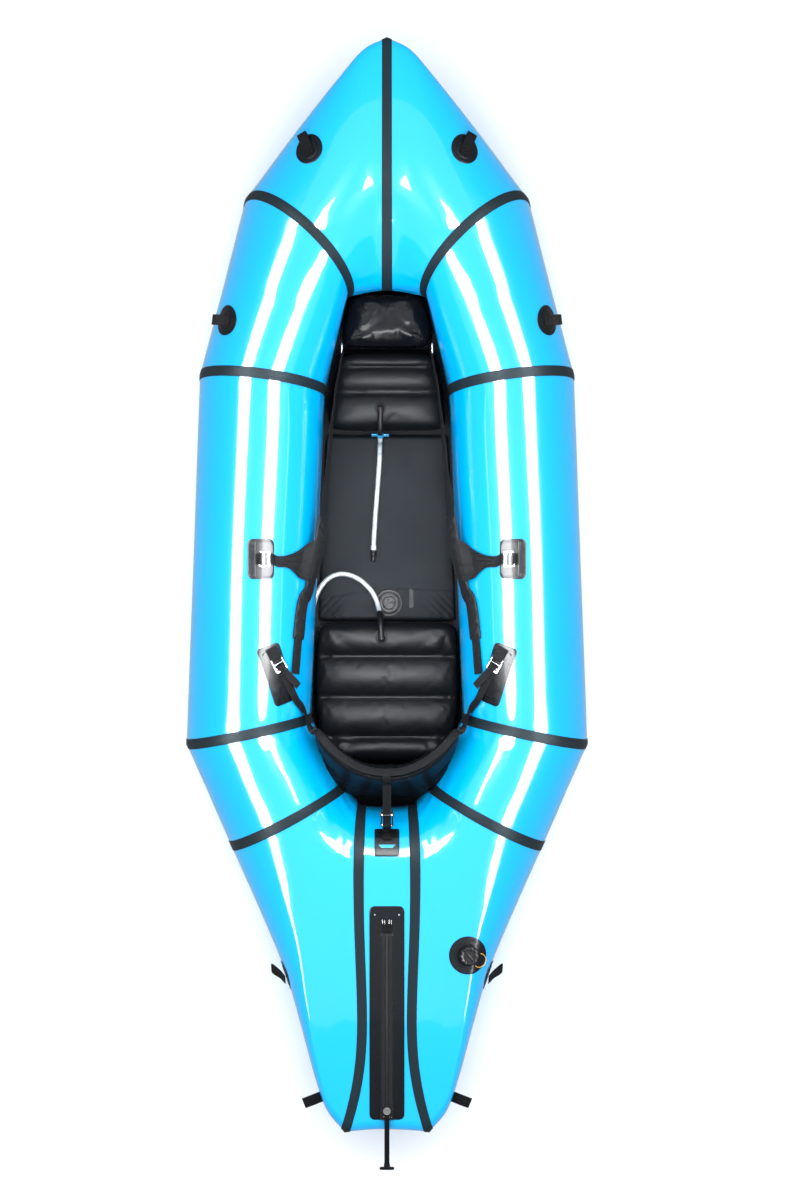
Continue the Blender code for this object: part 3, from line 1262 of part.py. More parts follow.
def build_thigh_straps():
    """Build the thigh straps: webbing from the bow wall, a padded run over the thigh, and the knee branch."""
    top = 2 * TUBE_RADIUS + HULL_LIFT
    for side, word in ((-1, "left"), (1, "right")):
        points, normals = [], []
        for across, along, rise in THIGH_FREE_PLACES:
            points.append((side * across * HALF_BEAM, along * HALF_LENGTH,
                           THIGH_ANCHOR_HEIGHT + (top - THIGH_ANCHOR_HEIGHT) * rise))
            normals.append((-side * 0.55, 0.0, 0.83))
        for place, (across, along) in enumerate(THIGH_SKIN_PLACES):
            lift = PATCHED_STRAP_LIFT if place == len(THIGH_SKIN_PLACES) - 1 else STRAP_LIFT
            point, normal = skin_point("side", across, along, lift, side)
            points.append(point)
            normals.append(normal)
        count = 28
        path = held_off(smooth_path(points, count), STRAP_LIFT, side)
        faces = smooth_path(normals, count)
        faces /= np.linalg.norm(faces, axis=1, keepdims=True)
        share = np.linspace(0, 1, count)
        pad = np.clip((share - 0.50) / 0.06, 0, 1) * np.clip((0.93 - share) / 0.05, 0, 1)
        widths = THIGH_STRAP_WIDTH + (THIGH_PAD_WIDTH - THIGH_STRAP_WIDTH) * pad
        thick = WEBBING_THICKNESS + (THIGH_PAD_THICKNESS - WEBBING_THICKNESS) * pad
        main = ribbon(f"thigh_strap_{word}", path, faces, widths, thick, WEBBING_BLACK)
        branch_points, branch_normals = [], []
        for across, along in KNEE_STRAP_PLACES:
            point, normal = skin_point("side", across, along, STRAP_LIFT, side)
            branch_points.append(point)
            branch_normals.append(normal)
        near = int(np.argmin(np.abs(path[:, 1] - KNEE_STRAP_PLACES[-1][1] * HALF_LENGTH)))
        branch_points.append(path[near] + faces[near] * WEBBING_THICKNESS)
        branch_normals.append(faces[near])
        branch_path = held_off(smooth_path(branch_points, 16), STRAP_LIFT, side)
        branch_faces = smooth_path(branch_normals, 16)
        branch = ribbon(f"knee_strap_{word}", branch_path, branch_faces, NARROW_WEBBING_WIDTH, WEBBING_THICKNESS,
                        WEBBING_BLACK, CUTTERS)
        join_solid(main, branch)


def build_backrest_straps():
    """Build the straps from the ladder locks to the backrest's wings, and the rear strap to the stern tube."""
    for side, word in ((-1, "left"), (1, "right")):
        lock = LOCKS[word]
        square = np.array(lock.to_3x3() @ Vector((0, 0, 1)))
        points = [np.array(lock @ Vector((LADDER_LENGTH / 2 + reach, 0, -WEBBING_THICKNESS / 2)))
                  for reach in (2 * GAP, WEBBING_THICKNESS, NARROW_WEBBING_WIDTH / 2)]
        normals = [square] * 3
        for across, along in BACKREST_STRAP_PLACES:
            point, normal = skin_point("side", across, along, PATCHED_STRAP_LIFT, side)
            points.append(point)
            normals.append(normal)
        section = np.array(backrest_section(1.0))
        low, high = section[:, 1].min(), section[:, 1].max()
        for clear in (NARROW_WEBBING_WIDTH / 2, STRAP_END_CLEARANCE):
            points.append(np.array((side * (BACKREST_WIDTH / 2 + clear), section[:, 0].mean(),
                                    low + (high - low) * BACKREST_STRAP_END_SHARE)))
            normals.append(np.array((0.0, 0.0, 1.0)))
        path = held_off(smooth_path(points, 20), PATCHED_STRAP_LIFT, side)
        faces = smooth_path(normals, 20)
        ribbon(f"backrest_strap_{word}", path, faces, NARROW_WEBBING_WIDTH, WEBBING_THICKNESS, WEBBING_BLACK)


def build_rear_anchor():
    """Build the rear patch with its window and tab, the rear buckle and the strap up to the backrest."""
    seat = seat_on("deck", 0.0, REAR_PATCH_ALONG_SHARE)
    outline = rounded_outline(REAR_PATCH_WIDTH, REAR_PATCH_LENGTH, PATCH_CORNER / 3)
    turn = Matrix.Rotation(math.pi / 2, 4, "Z")
    seat = seat @ turn
    patch = draped_patch("rear_patch", "deck", 1, seat, outline)
    buckle_y, buckle_z = REAR_BUCKLE_ALONG, REAR_BUCKLE_HEIGHT
    deck = panel_tree("stern_deck_panel")
    seat_up = seat.to_3x3() @ Vector((0, 0, 1))
    roots, root_normals = [], []
    for share in REAR_TAB_SHARES:
        hit, hit_normal, _, _ = deck.ray_cast(seat @ Vector((0, REAR_PATCH_LENGTH * share, TUBE_RADIUS / 2)), -seat_up)
        roots.append(np.array(hit + hit_normal * (DRAPE_GAPS["deck"] + PATCH_THICKNESS * 0.7)))
        root_normals.append(np.array(hit_normal))
    section = backrest_section(0.0)
    start = np.array((0.0, section[6][0] - GAP - WEBBING_THICKNESS, section[6][1]))
    buckle = np.array((0.0, buckle_y, buckle_z))
    down = start - buckle
    down /= np.linalg.norm(down)
    place = Matrix.Identity(4)
    place.col[0][:3] = (1, 0, 0)
    place.col[1][:3] = tuple(down)
    place.col[2][:3] = tuple(np.cross((1, 0, 0), down))
    place.col[3][:3] = tuple(buckle)
    outer = rounded_outline(REAR_BUCKLE_WIDTH, REAR_BUCKLE_LENGTH, REAR_BUCKLE_BAR)
    reach = REAR_BUCKLE_WIDTH / 2 - REAR_BUCKLE_BAR
    slot = REAR_BUCKLE_LENGTH / 4 - REAR_BUCKLE_BAR
    slots = [[(x * reach, y * slot + shift * REAR_BUCKLE_LENGTH / 4) for x, y in
              ((1, 1), (-1, 1), (-1, -1), (1, -1))] for shift in (-1, 1)]
    plate("rear_buckle", [outer, *slots], REAR_BUCKLE_THICKNESS, place, PLASTIC_BLACK)
    end = buckle + down * (REAR_BUCKLE_LENGTH / 2 + GAP)
    normal = np.cross((1.0, 0.0, 0.0), down)
    ribbon("rear_strap", [start, start * 0.5 + end * 0.5, end], [normal] * 3, NARROW_WEBBING_WIDTH,
           WEBBING_THICKNESS, WEBBING_BLACK)
    tab_end = buckle - down * (REAR_BUCKLE_LENGTH / 2 + GAP)
    tab = ribbon("rear_tab", [*roots, tab_end], [*root_normals, normal], NARROW_WEBBING_WIDTH,
                 WEBBING_THICKNESS, WEBBING_BLACK, CUTTERS)
    join_solid(patch, tab)


def mouthpiece(name, end, before):
    """Build the push and pull mouthpiece that caps a hose's end, its origin on its sliding axis."""
    out = (Vector(end) - Vector(before)).normalized()
    turn = Vector((0, 0, 1)).rotation_difference(out).to_matrix().to_4x4()
    matrix = Matrix.Translation(Vector(end) + out * GAP) @ turn
    turned(name, [
        (0, 0), (0, MOUTHPIECE_LENGTH), (MOUTHPIECE_RADIUS * 0.6, MOUTHPIECE_LENGTH),
        (MOUTHPIECE_RADIUS * 0.75, MOUTHPIECE_LENGTH * 0.55), (MOUTHPIECE_COLLAR, MOUTHPIECE_LENGTH * 0.45),
        (MOUTHPIECE_COLLAR, MOUTHPIECE_LENGTH * 0.3), (MOUTHPIECE_RADIUS, MOUTHPIECE_LENGTH * 0.2),
        (MOUTHPIECE_RADIUS, 0)], matrix, PLASTIC_BLACK, sides=10)


def build_hoses():
    """Build the two inflation hoses with their mouthpieces."""
    for name, route in (("foot_hose", FOOT_HOSE_ROUTE), ("seat_hose", SEAT_HOSE_ROUTE)):
        hose(name, route, HOSE_DIAMETER, HOSE_PITCH)
        mouthpiece(f"{name.split('_')[0]}_mouthpiece", route[-1], route[-2])


def build_stern_loops():
    """Build the two webbing loops sewn to the stern tapes under the hull, which reach out past its sides."""
    skin = SKINS["quarter"]
    out = np.array((math.cos(STERN_LOOP_HEADING), math.sin(STERN_LOOP_HEADING), 0.0))
    for side, word in ((-1, "left"), (1, "right")):
        points, normals = [], []
        for turn, share, rise in STERN_LOOP_PLACES:
            point, normal, _, _ = skin.frame(turn, share)
            points.append(point + normal * (STERN_LOOP_LIFT + rise))
            normals.append(normal)
        points.append(points[-1] + out * STERN_LOOP_REACH / 2)
        points.append(points[-1] + out * STERN_LOOP_REACH / 2)
        normals += [(0.0, 0.0, -1.0)] * 2
        turned_side = np.array((side, 1.0, 1.0))
        path = smooth_path(np.array(points) * turned_side, STERN_LOOP_POINTS)
        faces = smooth_path(np.array(normals) * turned_side, STERN_LOOP_POINTS)
        strip = ribbon(f"stern_strip_{word}", path, faces, WEBBING_WIDTH, WEBBING_THICKNESS, WEBBING_BLACK, CUTTERS)
        seat = Matrix.Identity(4)
        seat.col[0][:3] = tuple(out * turned_side)
        seat.col[1][:3] = tuple(np.cross((0.0, 0.0, 1.0), out * turned_side))
        seat.col[3][:3] = tuple(path[-1] - out * turned_side * STERN_LOOP_LENGTH / 2)
        loop = webbing_loop(f"stern_loop_{word}", seat, STERN_LOOP_LENGTH, STERN_LOOP_HEIGHT, WEBBING_WIDTH,
                            -WEBBING_THICKNESS * LOOP_SINK_SHARE)
        tape = bpy.data.objects[f"stern_tape_{word}"]
        join_solid(tape, strip)
        join_solid(tape, loop)


build_thigh_straps()
build_stern_loops()
build_backrest_straps()
build_rear_anchor()
build_hoses()
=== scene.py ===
"""Looks of a solo packraft: coated hull panels, seam tapes, cushions, straps, zipper, valve and hoses.

Metres, +Y towards the bow, +X to the paddler's right, +Z up. Each piece is a numpy surface in its place.
"""
import functools
import logging
import math
from dataclasses import dataclass, field, replace
from typing import Any, Callable, Iterable, Optional, Sequence, Union

import bmesh
import bpy
import numpy as np
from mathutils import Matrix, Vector
from mathutils.bvhtree import BVHTree

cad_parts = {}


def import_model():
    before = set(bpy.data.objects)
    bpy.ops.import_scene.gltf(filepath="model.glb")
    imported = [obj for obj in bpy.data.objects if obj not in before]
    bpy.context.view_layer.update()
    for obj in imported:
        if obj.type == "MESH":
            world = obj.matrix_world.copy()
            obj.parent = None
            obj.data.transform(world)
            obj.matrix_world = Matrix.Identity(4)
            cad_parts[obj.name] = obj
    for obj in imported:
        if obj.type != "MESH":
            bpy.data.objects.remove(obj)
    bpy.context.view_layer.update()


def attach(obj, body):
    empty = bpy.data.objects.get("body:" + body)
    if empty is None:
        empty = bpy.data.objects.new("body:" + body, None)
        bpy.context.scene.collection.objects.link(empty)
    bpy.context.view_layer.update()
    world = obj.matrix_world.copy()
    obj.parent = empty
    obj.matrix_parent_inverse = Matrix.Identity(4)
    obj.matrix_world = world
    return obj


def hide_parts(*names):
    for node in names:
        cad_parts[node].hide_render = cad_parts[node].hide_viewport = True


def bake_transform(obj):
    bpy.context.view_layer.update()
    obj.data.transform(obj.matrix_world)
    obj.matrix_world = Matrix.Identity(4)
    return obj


LOG = logging.getLogger("packraft")
Array = np.ndarray
Number = Union[int, float]

# The photograph: its size, the pixel of the raft's middle, and metres per pixel at the tubes' height
PHOTO_WIDTH = 800
PHOTO_HEIGHT = 1200
MIDDLE_COLUMN = 387.0
MIDDLE_ROW = 586.5
METRES_PER_PIXEL = 0.0022957
TUBE_LEVEL = 0.146

# Points nearer than this are one point, and flat fittings stay this far off the cloth under them
WELD = 1e-6
GLUE = 0.0003

# A patch's layer: its thickness, how far its rim is rounded, and the rings from its rim to its middle
LAYER = (0.0012, 0.0005, 12)

# Directions, and the raft's sides with the sign of their X
ACROSS = (1.0, 0.0, 0.0)
UPWARDS = (0.0, 0.0, 1.0)
SIDES = (("right", 1.0), ("left", -1.0))


class Value:
    """An output socket of a material's nodes. The operators on it add Math nodes."""

    def __init__(self, sheet: "NodeSheet", socket: bpy.types.NodeSocket) -> None:
        """Keep the sheet that the socket's node is on."""
        self.sheet = sheet
        self.socket = socket

    def math(self, operation: str, first: Any, second: Any = 0.0) -> "Value":
        """Return a Math node's result for two values or numbers."""
        return self.sheet.node("ShaderNodeMath", {"operation": operation}, {0: first, 1: second})

    def __add__(self, other: Any) -> "Value":
        """Return the sum."""
        return self.math("ADD", self, other)

    __radd__ = __add__

    def __sub__(self, other: Any) -> "Value":
        """Return the difference."""
        return self.math("SUBTRACT", self, other)

    def __rsub__(self, other: Any) -> "Value":
        """Return the difference the other way round."""
        return self.math("SUBTRACT", other, self)

    def __mul__(self, other: Any) -> "Value":
        """Return the product."""
        return self.math("MULTIPLY", self, other)

    __rmul__ = __mul__

    def wave(self) -> "Value":
        """Return the sine of the value."""
        return self.math("SINE", self)

    def size(self) -> "Value":
        """Return the value without its sign."""
        return self.math("ABSOLUTE", self)

    def ramp(self, low: Number, high: Number) -> "Value":
        """Return 0 below low, 1 above high, and a smooth step between them."""
        return self.sheet.node("ShaderNodeMapRange", {"interpolation_type": "SMOOTHSTEP"},
                               {"Value": self, "From Min": low, "From Max": high, "To Min": 0.0, "To Max": 1.0})


class NodeSheet:
    """The nodes of one material."""

    def __init__(self, name: str) -> None:
        """Start a material with its Principled shader."""
        self.material = bpy.data.materials.new(name)
        self.material.use_nodes = True
        self.tree = self.material.node_tree
        self.shader = self.tree.nodes["Principled BSDF"]

    def node(self, kind: str, settings: Optional[dict] = None, inputs: Optional[dict] = None,
             output: Union[int, str] = 0) -> Value:
        """Add a node.

        Args:
            kind: The node's type.
            settings: Its properties.
            inputs: Numbers, colours or values for its sockets, by name or index.
            output: The socket to return.

        Returns:
            The chosen output as a Value.
        """
        made = self.tree.nodes.new(kind)
        for key, setting in (settings or {}).items():
            setattr(made, key, setting)
        for key, given in (inputs or {}).items():
            self.feed(made.inputs[key], given)
        return Value(self, made.outputs[output])

    def feed(self, socket: bpy.types.NodeSocket, given: Any) -> None:
        """Link a value to a socket, or set a number or a colour on it."""
        if isinstance(given, Value):
            self.tree.links.new(given.socket, socket)
        elif isinstance(given, (tuple, list)) and len(given) == 3 and socket.type == "RGBA":
            socket.default_value = (*given, 1.0)
        else:
            socket.default_value = given

    def place(self) -> Value:
        """Return the piece's own coordinates, in metres."""
        return self.node("ShaderNodeTexCoord", output="Object")

    def flat(self) -> Value:
        """Return the piece's UV map, in metres along and across its cloth."""
        return self.node("ShaderNodeTexCoord", output="UV")

    def axis(self, vector: Value, name: str) -> Value:
        """Return one component of a vector."""
        return self.node("ShaderNodeSeparateXYZ", None, {0: vector}, name)

    def noise(self, scale: Number, detail: Number = 3.0) -> Value:
        """Return noise from 0 to 1 with features of about 1 / scale metres."""
        return self.node("ShaderNodeTexNoise", None,
                         {"Vector": self.place(), "Scale": scale, "Detail": detail, "Roughness": 0.55})

    def mix(self, share: Any, first: Any, second: Any) -> Value:
        """Return a blend of two colours."""
        return self.node("ShaderNodeMix", {"data_type": "RGBA"}, {0: share, 6: first, 7: second}, 2)

    def bump(self, height: Value, distance: Number, under: Optional[Value] = None) -> Value:
        """Return a normal from a height that runs from 0 to 1 over a distance in metres."""
        inputs = {"Height": height, "Distance": distance, "Strength": 1.0}
        if under is not None:
            inputs["Normal"] = under
        return self.node("ShaderNodeBump", None, inputs)

    def surface(self, **given: Any) -> bpy.types.Material:
        """Feed the Principled shader's sockets, named with underscores for spaces, and return the material."""
        for name, setting in given.items():
            self.feed(self.shader.inputs[name.replace("_", " ")], setting)
        return self.material


@dataclass(frozen=True)
class CoatedCloth:
    """Cloth under a coating, as on the hull: a gloss or satin film with the threads faintly through it."""

    name: str
    colour: tuple
    shade: tuple
    roughness: float
    coat: float = 0.0
    thread: float = 0.0009
    thread_height: float = 0.00002
    ripple: float = 0.0
    ripple_size: float = 0.05
    scuff: float = 0.15
    shine: float = 0.5

    def build(self) -> bpy.types.Material:
        """Return the material: a colour that drifts, threads, slow ripples and scuffs in the gloss."""
        sheet = NodeSheet(self.name)
        place = sheet.place()
        drift = sheet.noise(2.2, 2.0)
        marks = sheet.noise(38.0, 6.0).ramp(0.56, 0.8)
        streaks = sheet.noise(9.0, 5.0).ramp(0.35, 0.75)
        colour = sheet.mix(drift, self.colour, self.shade)
        rough = self.roughness + marks * (self.scuff * 0.5) + streaks * (self.scuff * 0.35)
        step = math.tau / self.thread
        threads = (sheet.axis(place, "X") * step).wave() * (sheet.axis(place, "Y") * step).wave()
        normal = sheet.bump(threads * 0.5 + 0.5, self.thread_height)
        if self.ripple:
            normal = sheet.bump(sheet.noise(1 / self.ripple_size, 2.0), self.ripple, under=normal)
        return sheet.surface(Base_Color=colour, Roughness=rough, Coat_Weight=self.coat, Coat_Roughness=0.06,
                             Specular_IOR_Level=self.shine, Normal=normal)


@dataclass(frozen=True)
class WovenTape:
    """Webbing: ribs across the strap and threads along it, by the strap's own UV map in metres."""

    name: str
    colour: tuple
    shade: tuple
    rib: float = 0.0016
    thread: float = 0.0011
    height: float = 0.00018
    roughness: float = 0.82
    shine: float = 0.08

    def build(self) -> bpy.types.Material:
        """Return the material: a herringbone of ribs whose phase turns at the strap's middle, with painted shade in
        its valleys.
        """
        sheet = NodeSheet(self.name)
        flat = sheet.flat()
        along, across = sheet.axis(flat, "X"), sheet.axis(flat, "Y")
        slope = across.size() * 0.6
        ribs = ((along + slope) * (math.tau / self.rib)).wave() * 0.5 + 0.5
        threads = (across * (math.tau / self.thread)).wave() * 0.5 + 0.5
        height = ribs * 0.65 + threads * 0.35
        fuzz = sheet.noise(420.0, 3.0)
        # The colour is darker where the weave is low: painted shade in the valleys between ribs and threads, mixed
        # with random fuzz in the tone.
        colour = sheet.mix(height * 0.6 + fuzz * 0.4, self.shade, self.colour)
        wear = sheet.noise(14.0, 3.0) * 0.12
        return sheet.surface(Base_Color=colour, Roughness=self.roughness - wear, Specular_IOR_Level=self.shine,
                             Normal=sheet.bump(height, self.height))


@dataclass(frozen=True)
class Moulded:
    """Moulded plastic or metal: a fine grain, and edges rubbed lighter."""

    name: str
    colour: tuple
    worn: tuple
    roughness: float = 0.42
    metallic: float = 0.0
    grain: float = 0.00006
    coat: float = 0.0
    shine: float = 0.5

    def build(self) -> bpy.types.Material:
        """Return the material."""
        sheet = NodeSheet(self.name)
        grain = sheet.noise(1500.0, 2.0)
        rub = sheet.node("ShaderNodeNewGeometry", output="Pointiness").ramp(0.52, 0.62)
        patches = sheet.noise(90.0, 4.0).ramp(0.45, 0.7)
        colour = sheet.mix(rub * patches * 0.7, self.colour, self.worn)
        rough = self.roughness + patches * 0.12 - 0.06
        return sheet.surface(Base_Color=colour, Roughness=rough, Metallic=self.metallic, Coat_Weight=self.coat,
                             Coat_Roughness=0.1, Specular_IOR_Level=self.shine,
                             Normal=sheet.bump(grain, self.grain))


@dataclass(frozen=True)
class ClearHose:
    """Soft translucent tubing: milky, with a faint inner wall and cloudy stretches."""

    name: str
    colour: tuple = (0.8, 0.86, 0.88)
    shade: tuple = (0.5, 0.57, 0.6)

    def build(self) -> bpy.types.Material:
        """Return the material."""
        sheet = NodeSheet(self.name)
        cloud = sheet.noise(60.0, 4.0).ramp(0.3, 0.7)
        colour = sheet.mix(cloud, self.shade, self.colour)
        return sheet.surface(Base_Color=colour, Roughness=0.16 + cloud * 0.12, Alpha=0.86, Coat_Weight=0.6,
                             Coat_Roughness=0.06, Normal=sheet.bump(sheet.noise(130.0), 0.00008))


# The finishes, by the names that the pieces ask for them with
FINISHES = {
    "hull": CoatedCloth("hull_film", (0.0, 0.45, 0.92), (0.0, 0.41, 0.88), 0.2, coat=1.0, ripple=0.0004,
                        ripple_size=0.16, scuff=0.1, shine=0.1),
    "tape": CoatedCloth("tape_film", (0.014, 0.026, 0.034), (0.01, 0.019, 0.025), 0.42, thread=0.0012,
                        thread_height=0.00005, scuff=0.16, shine=0.07),
    "patch": CoatedCloth("patch_film", (0.005, 0.007, 0.01), (0.003, 0.005, 0.007), 0.26, coat=0.08, thread=0.0014,
                         thread_height=0.00006, scuff=0.16, shine=0.15),
    "bladder": CoatedCloth("bladder_film", (0.006, 0.007, 0.009), (0.004, 0.005, 0.006), 0.38, thread=0.001,
                           thread_height=0.00003, ripple=0.0006, ripple_size=0.035, scuff=0.16, shine=0.045),
    "pillow": CoatedCloth("pillow_film", (0.005, 0.006, 0.008), (0.003, 0.004, 0.006), 0.26, coat=0.02,
                          thread=0.001, thread_height=0.00003, ripple=0.0008, ripple_size=0.03, scuff=0.15,
                          shine=0.05),
    "mat": CoatedCloth("mat_film", (0.01, 0.013, 0.016), (0.007, 0.009, 0.012), 0.5, thread=0.0013,
                       thread_height=0.00008, ripple=0.0008, ripple_size=0.05, scuff=0.2, shine=0.02),
    "floor": CoatedCloth("floor_film", (0.005, 0.006, 0.008), (0.003, 0.004, 0.006), 0.5, thread=0.0016,
                         thread_height=0.0001, scuff=0.25, shine=0.02),
    "webbing": WovenTape("webbing", (0.008, 0.009, 0.011), (0.002, 0.002, 0.003)),
    "pad": CoatedCloth("pad_sleeve", (0.006, 0.007, 0.009), (0.004, 0.005, 0.006), 0.62, thread=0.0009,
                       thread_height=0.00012, ripple=0.0012, ripple_size=0.02, scuff=0.12, shine=0.12),
    "plastic": Moulded("black_plastic", (0.008, 0.008, 0.01), (0.04, 0.04, 0.045), 0.42, shine=0.06),
    "gloss": Moulded("gloss_plastic", (0.006, 0.006, 0.008), (0.05, 0.05, 0.055), 0.22, coat=0.3, shine=0.2),
    "metal": Moulded("light_metal", (0.5, 0.51, 0.52), (0.72, 0.72, 0.72), 0.26, metallic=1.0, grain=0.00003),
    "clip": Moulded("blue_plastic", (0.02, 0.22, 0.42), (0.1, 0.36, 0.55), 0.3, shine=0.2),
    "tubing": ClearHose("tubing"),
    "cord": Moulded("cord_orange", (0.85, 0.46, 0.06), (0.95, 0.7, 0.2), 0.55, shine=0.1),
    "thread": Moulded("thread", (0.02, 0.021, 0.024), (0.05, 0.05, 0.05), 0.7, grain=0.00004, shine=0.08),
    "chain": CoatedCloth("chain_film", (0.01, 0.011, 0.014), (0.006, 0.007, 0.009), 0.34, thread=0.0008,
                         thread_height=0.00002, scuff=0.16, shine=0.3),
    "white": Moulded("white_plastic", (0.72, 0.74, 0.75), (0.85, 0.86, 0.86), 0.35, shine=0.1),
    "welt": CoatedCloth("welt_film", (0.07, 0.08, 0.09), (0.04, 0.045, 0.05), 0.3, coat=0.1, thread=0.001,
                        thread_height=0.00003, scuff=0.12, shine=0.2),
}


@dataclass
class Shell:
    """A surface before it is an object: points, four-cornered faces and a flat map in metres."""

    points: Array
    faces: Array
    flat: Array

    def __add__(self, other: "Shell") -> "Shell":
        """Return both surfaces as one."""
        return Shell(np.concatenate([self.points, other.points]),
                     np.concatenate([self.faces, other.faces + len(self.points)]),
                     np.concatenate([self.flat, other.flat]))

    def moved(self, frame: Array) -> "Shell":
        """Return the surface carried by a 4 by 4 frame: each point times its turn, plus its place."""
        faces = self.faces if np.linalg.det(frame[:3, :3]) > 0 else self.faces[:, ::-1]
        return Shell(carried(self.points, frame), faces, self.flat)

    def mirrored(self) -> "Shell":
        """Return the surface on the other side of the raft's middle plane."""
        return self.moved(np.diag([-1.0, 1.0, 1.0, 1.0]))

    def piece(self, name: str, material: bpy.types.Material, body: str = "hull", sharp: float = 38.0,
              outwards: bool = True) -> bpy.types.Object:
        """Make the object.

        Args:
            name: Its name.
            material: Its finish.
            body: The body that it rides on, or nothing for a piece that rides on none.
            sharp: Edges that turn more than this many degrees stay crisp.
            outwards: Turn the faces of a closed surface outwards.

        Returns:
            The object, at the origin, with its place in its mesh.
        """
        mesh = bpy.data.meshes.new(name)
        mesh.from_pydata(self.points, [], self.faces.tolist())
        layer = mesh.uv_layers.new(name="UVMap")
        corners = np.empty(len(mesh.loops), dtype=np.int32)
        mesh.loops.foreach_get("vertex_index", corners)
        layer.data.foreach_set("uv", self.flat[corners].astype(np.float32).ravel())
        work = bmesh.new()
        work.from_mesh(mesh)
        bmesh.ops.remove_doubles(work, verts=work.verts, dist=WELD)
        bmesh.ops.dissolve_degenerate(work, edges=work.edges, dist=WELD)
        if outwards:
            bmesh.ops.recalc_face_normals(work, faces=work.faces)
        work.to_mesh(mesh)
        work.free()
        mesh.shade_smooth()
        mesh.set_sharp_from_angle(angle=math.radians(sharp))
        mesh.materials.append(material)
        made = bpy.data.objects.new(name, mesh)
        bpy.context.scene.collection.objects.link(made)
        if body:
            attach(made, body)
        LOG.info("%s: %d faces", name, len(mesh.polygons))
        return made


# The slots of the frame, and the finishes that go in each
SLOTS = {
    "coated_blue": "hull",
    "tape_black": "tape patch floor welt",
    "cushion_black": "bladder pillow",
    "mat_grey": "mat",
    "webbing_black": "webbing pad thread",
    "plastic_black": "plastic gloss clip chain",
    "metal_light": "metal",
    "hose_clear": "tubing white",
    "leash_orange": "cord",
}


@functools.cache
def finish_of(name: str) -> bpy.types.Material:
    """Return a finish's material, which is made when it is first asked for."""
    return FINISHES[name].build()


def put(finish: str, shell: Shell, name: str, *nodes: str, slot: str = "", **extra: Any) -> bpy.types.Object:
    """Make a piece.

    Args:
        finish: Its finish.
        shell: Its surface.
        name: Its name.
        nodes: The nodes that it stands for.
        slot: Not used; the piece is given no slot.
        extra: More of what Shell.piece takes.

    Returns:
        The object.
    """
    made = shell.piece(name, finish_of(finish), **extra)
    slot or next(key for key, names in SLOTS.items() if finish in names.split())
    if nodes:
        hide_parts(*nodes)
    return made


def pair(finish: str, shell: Shell, name: str, *nodes: str) -> list:
    """Make a piece on the right side and its mirror image on the left; nodes lack their _right or _left."""
    return [put(finish, placed, f"{name}_{word}", *(f"{node}_{word}" for node in nodes))
            for word, placed in (("right", shell), ("left", shell.mirrored()))]


def grid(points: Array, flat: Optional[Array] = None, around: bool = False, ends: bool = False) -> Shell:
    """Return the surface through a grid of points.

    Args:
        points: Rows by columns by 3.
        flat: Rows by columns by 2, or the run along each row and column where it isn't given.
        around: Join each row's last point to its first.
        ends: Close the first and last rows on their middles.

    Returns:
        The surface. A face joins (r, c), (r, c+1), (r+1, c+1) and (r+1, c).
    """
    rows, columns = points.shape[:2]
    if flat is None:
        flat = runs(points)
    if around:
        points = np.concatenate([points, points[:, :1]], axis=1)
        step = flat[:, -1:] - flat[:, -2:-1]
        flat = np.concatenate([flat, flat[:, -1:] + step], axis=1)
        columns += 1
    if ends:
        first = np.repeat(points[:1, :-1].mean(axis=1, keepdims=True), columns, axis=1)
        last = np.repeat(points[-1:, :-1].mean(axis=1, keepdims=True), columns, axis=1)
        points = np.concatenate([first, points, last])
        flat = np.concatenate([flat[:1], flat, flat[-1:]])
        rows += 2
    index = np.arange(rows * columns).reshape(rows, columns)
    faces = np.stack([index[:-1, :-1], index[:-1, 1:], index[1:, 1:], index[1:, :-1]], axis=-1).reshape(-1, 4)
    return Shell(points.reshape(-1, 3), faces, flat.reshape(-1, 2))


def distances(points: Array) -> Array:
    """Return the distance along each line of points, from 0 at its start."""
    lengths = np.linalg.norm(np.diff(points, axis=0), axis=-1)
    return np.concatenate([np.zeros((1, *lengths.shape[1:])), np.cumsum(lengths, axis=0)])


def at_marks(marks: Array, run: Array, points: Array) -> Array:
    """Return the points of a line at marks along its run, each between its two neighbours."""
    return np.stack([np.interp(marks, run, column) for column in points.T], axis=1)


def ring_of(count: int) -> tuple:
    """Return the cosines and sines of evenly spaced angles round a circle."""
    angle = math.tau * np.arange(count) / count
    return np.cos(angle), np.sin(angle)


def raised(flat: Array, height: float) -> Array:
    """Return points of a plane at a height over it."""
    return np.concatenate([flat, np.full((len(flat), 1), height)], axis=1)


def runs(points: Array) -> Array:
    """Return the flat map of a grid: the run along the middle column, and the run across each row from its middle."""
    middle = points[:, points.shape[1] // 2]
    along = distances(middle)
    across = np.concatenate([np.zeros((len(points), 1)),
                             np.cumsum(np.linalg.norm(np.diff(points, axis=1), axis=2), axis=1)], axis=1)
    across = across - across[:, -1:] / 2
    return np.stack([np.broadcast_to(along[:, None], across.shape), across], axis=-1)


def unit(vectors: Array) -> Array:
    """Return vectors at length one."""
    vectors = np.asarray(vectors, dtype=float)
    return vectors / np.maximum(np.linalg.norm(vectors, axis=-1, keepdims=True), 1e-12)


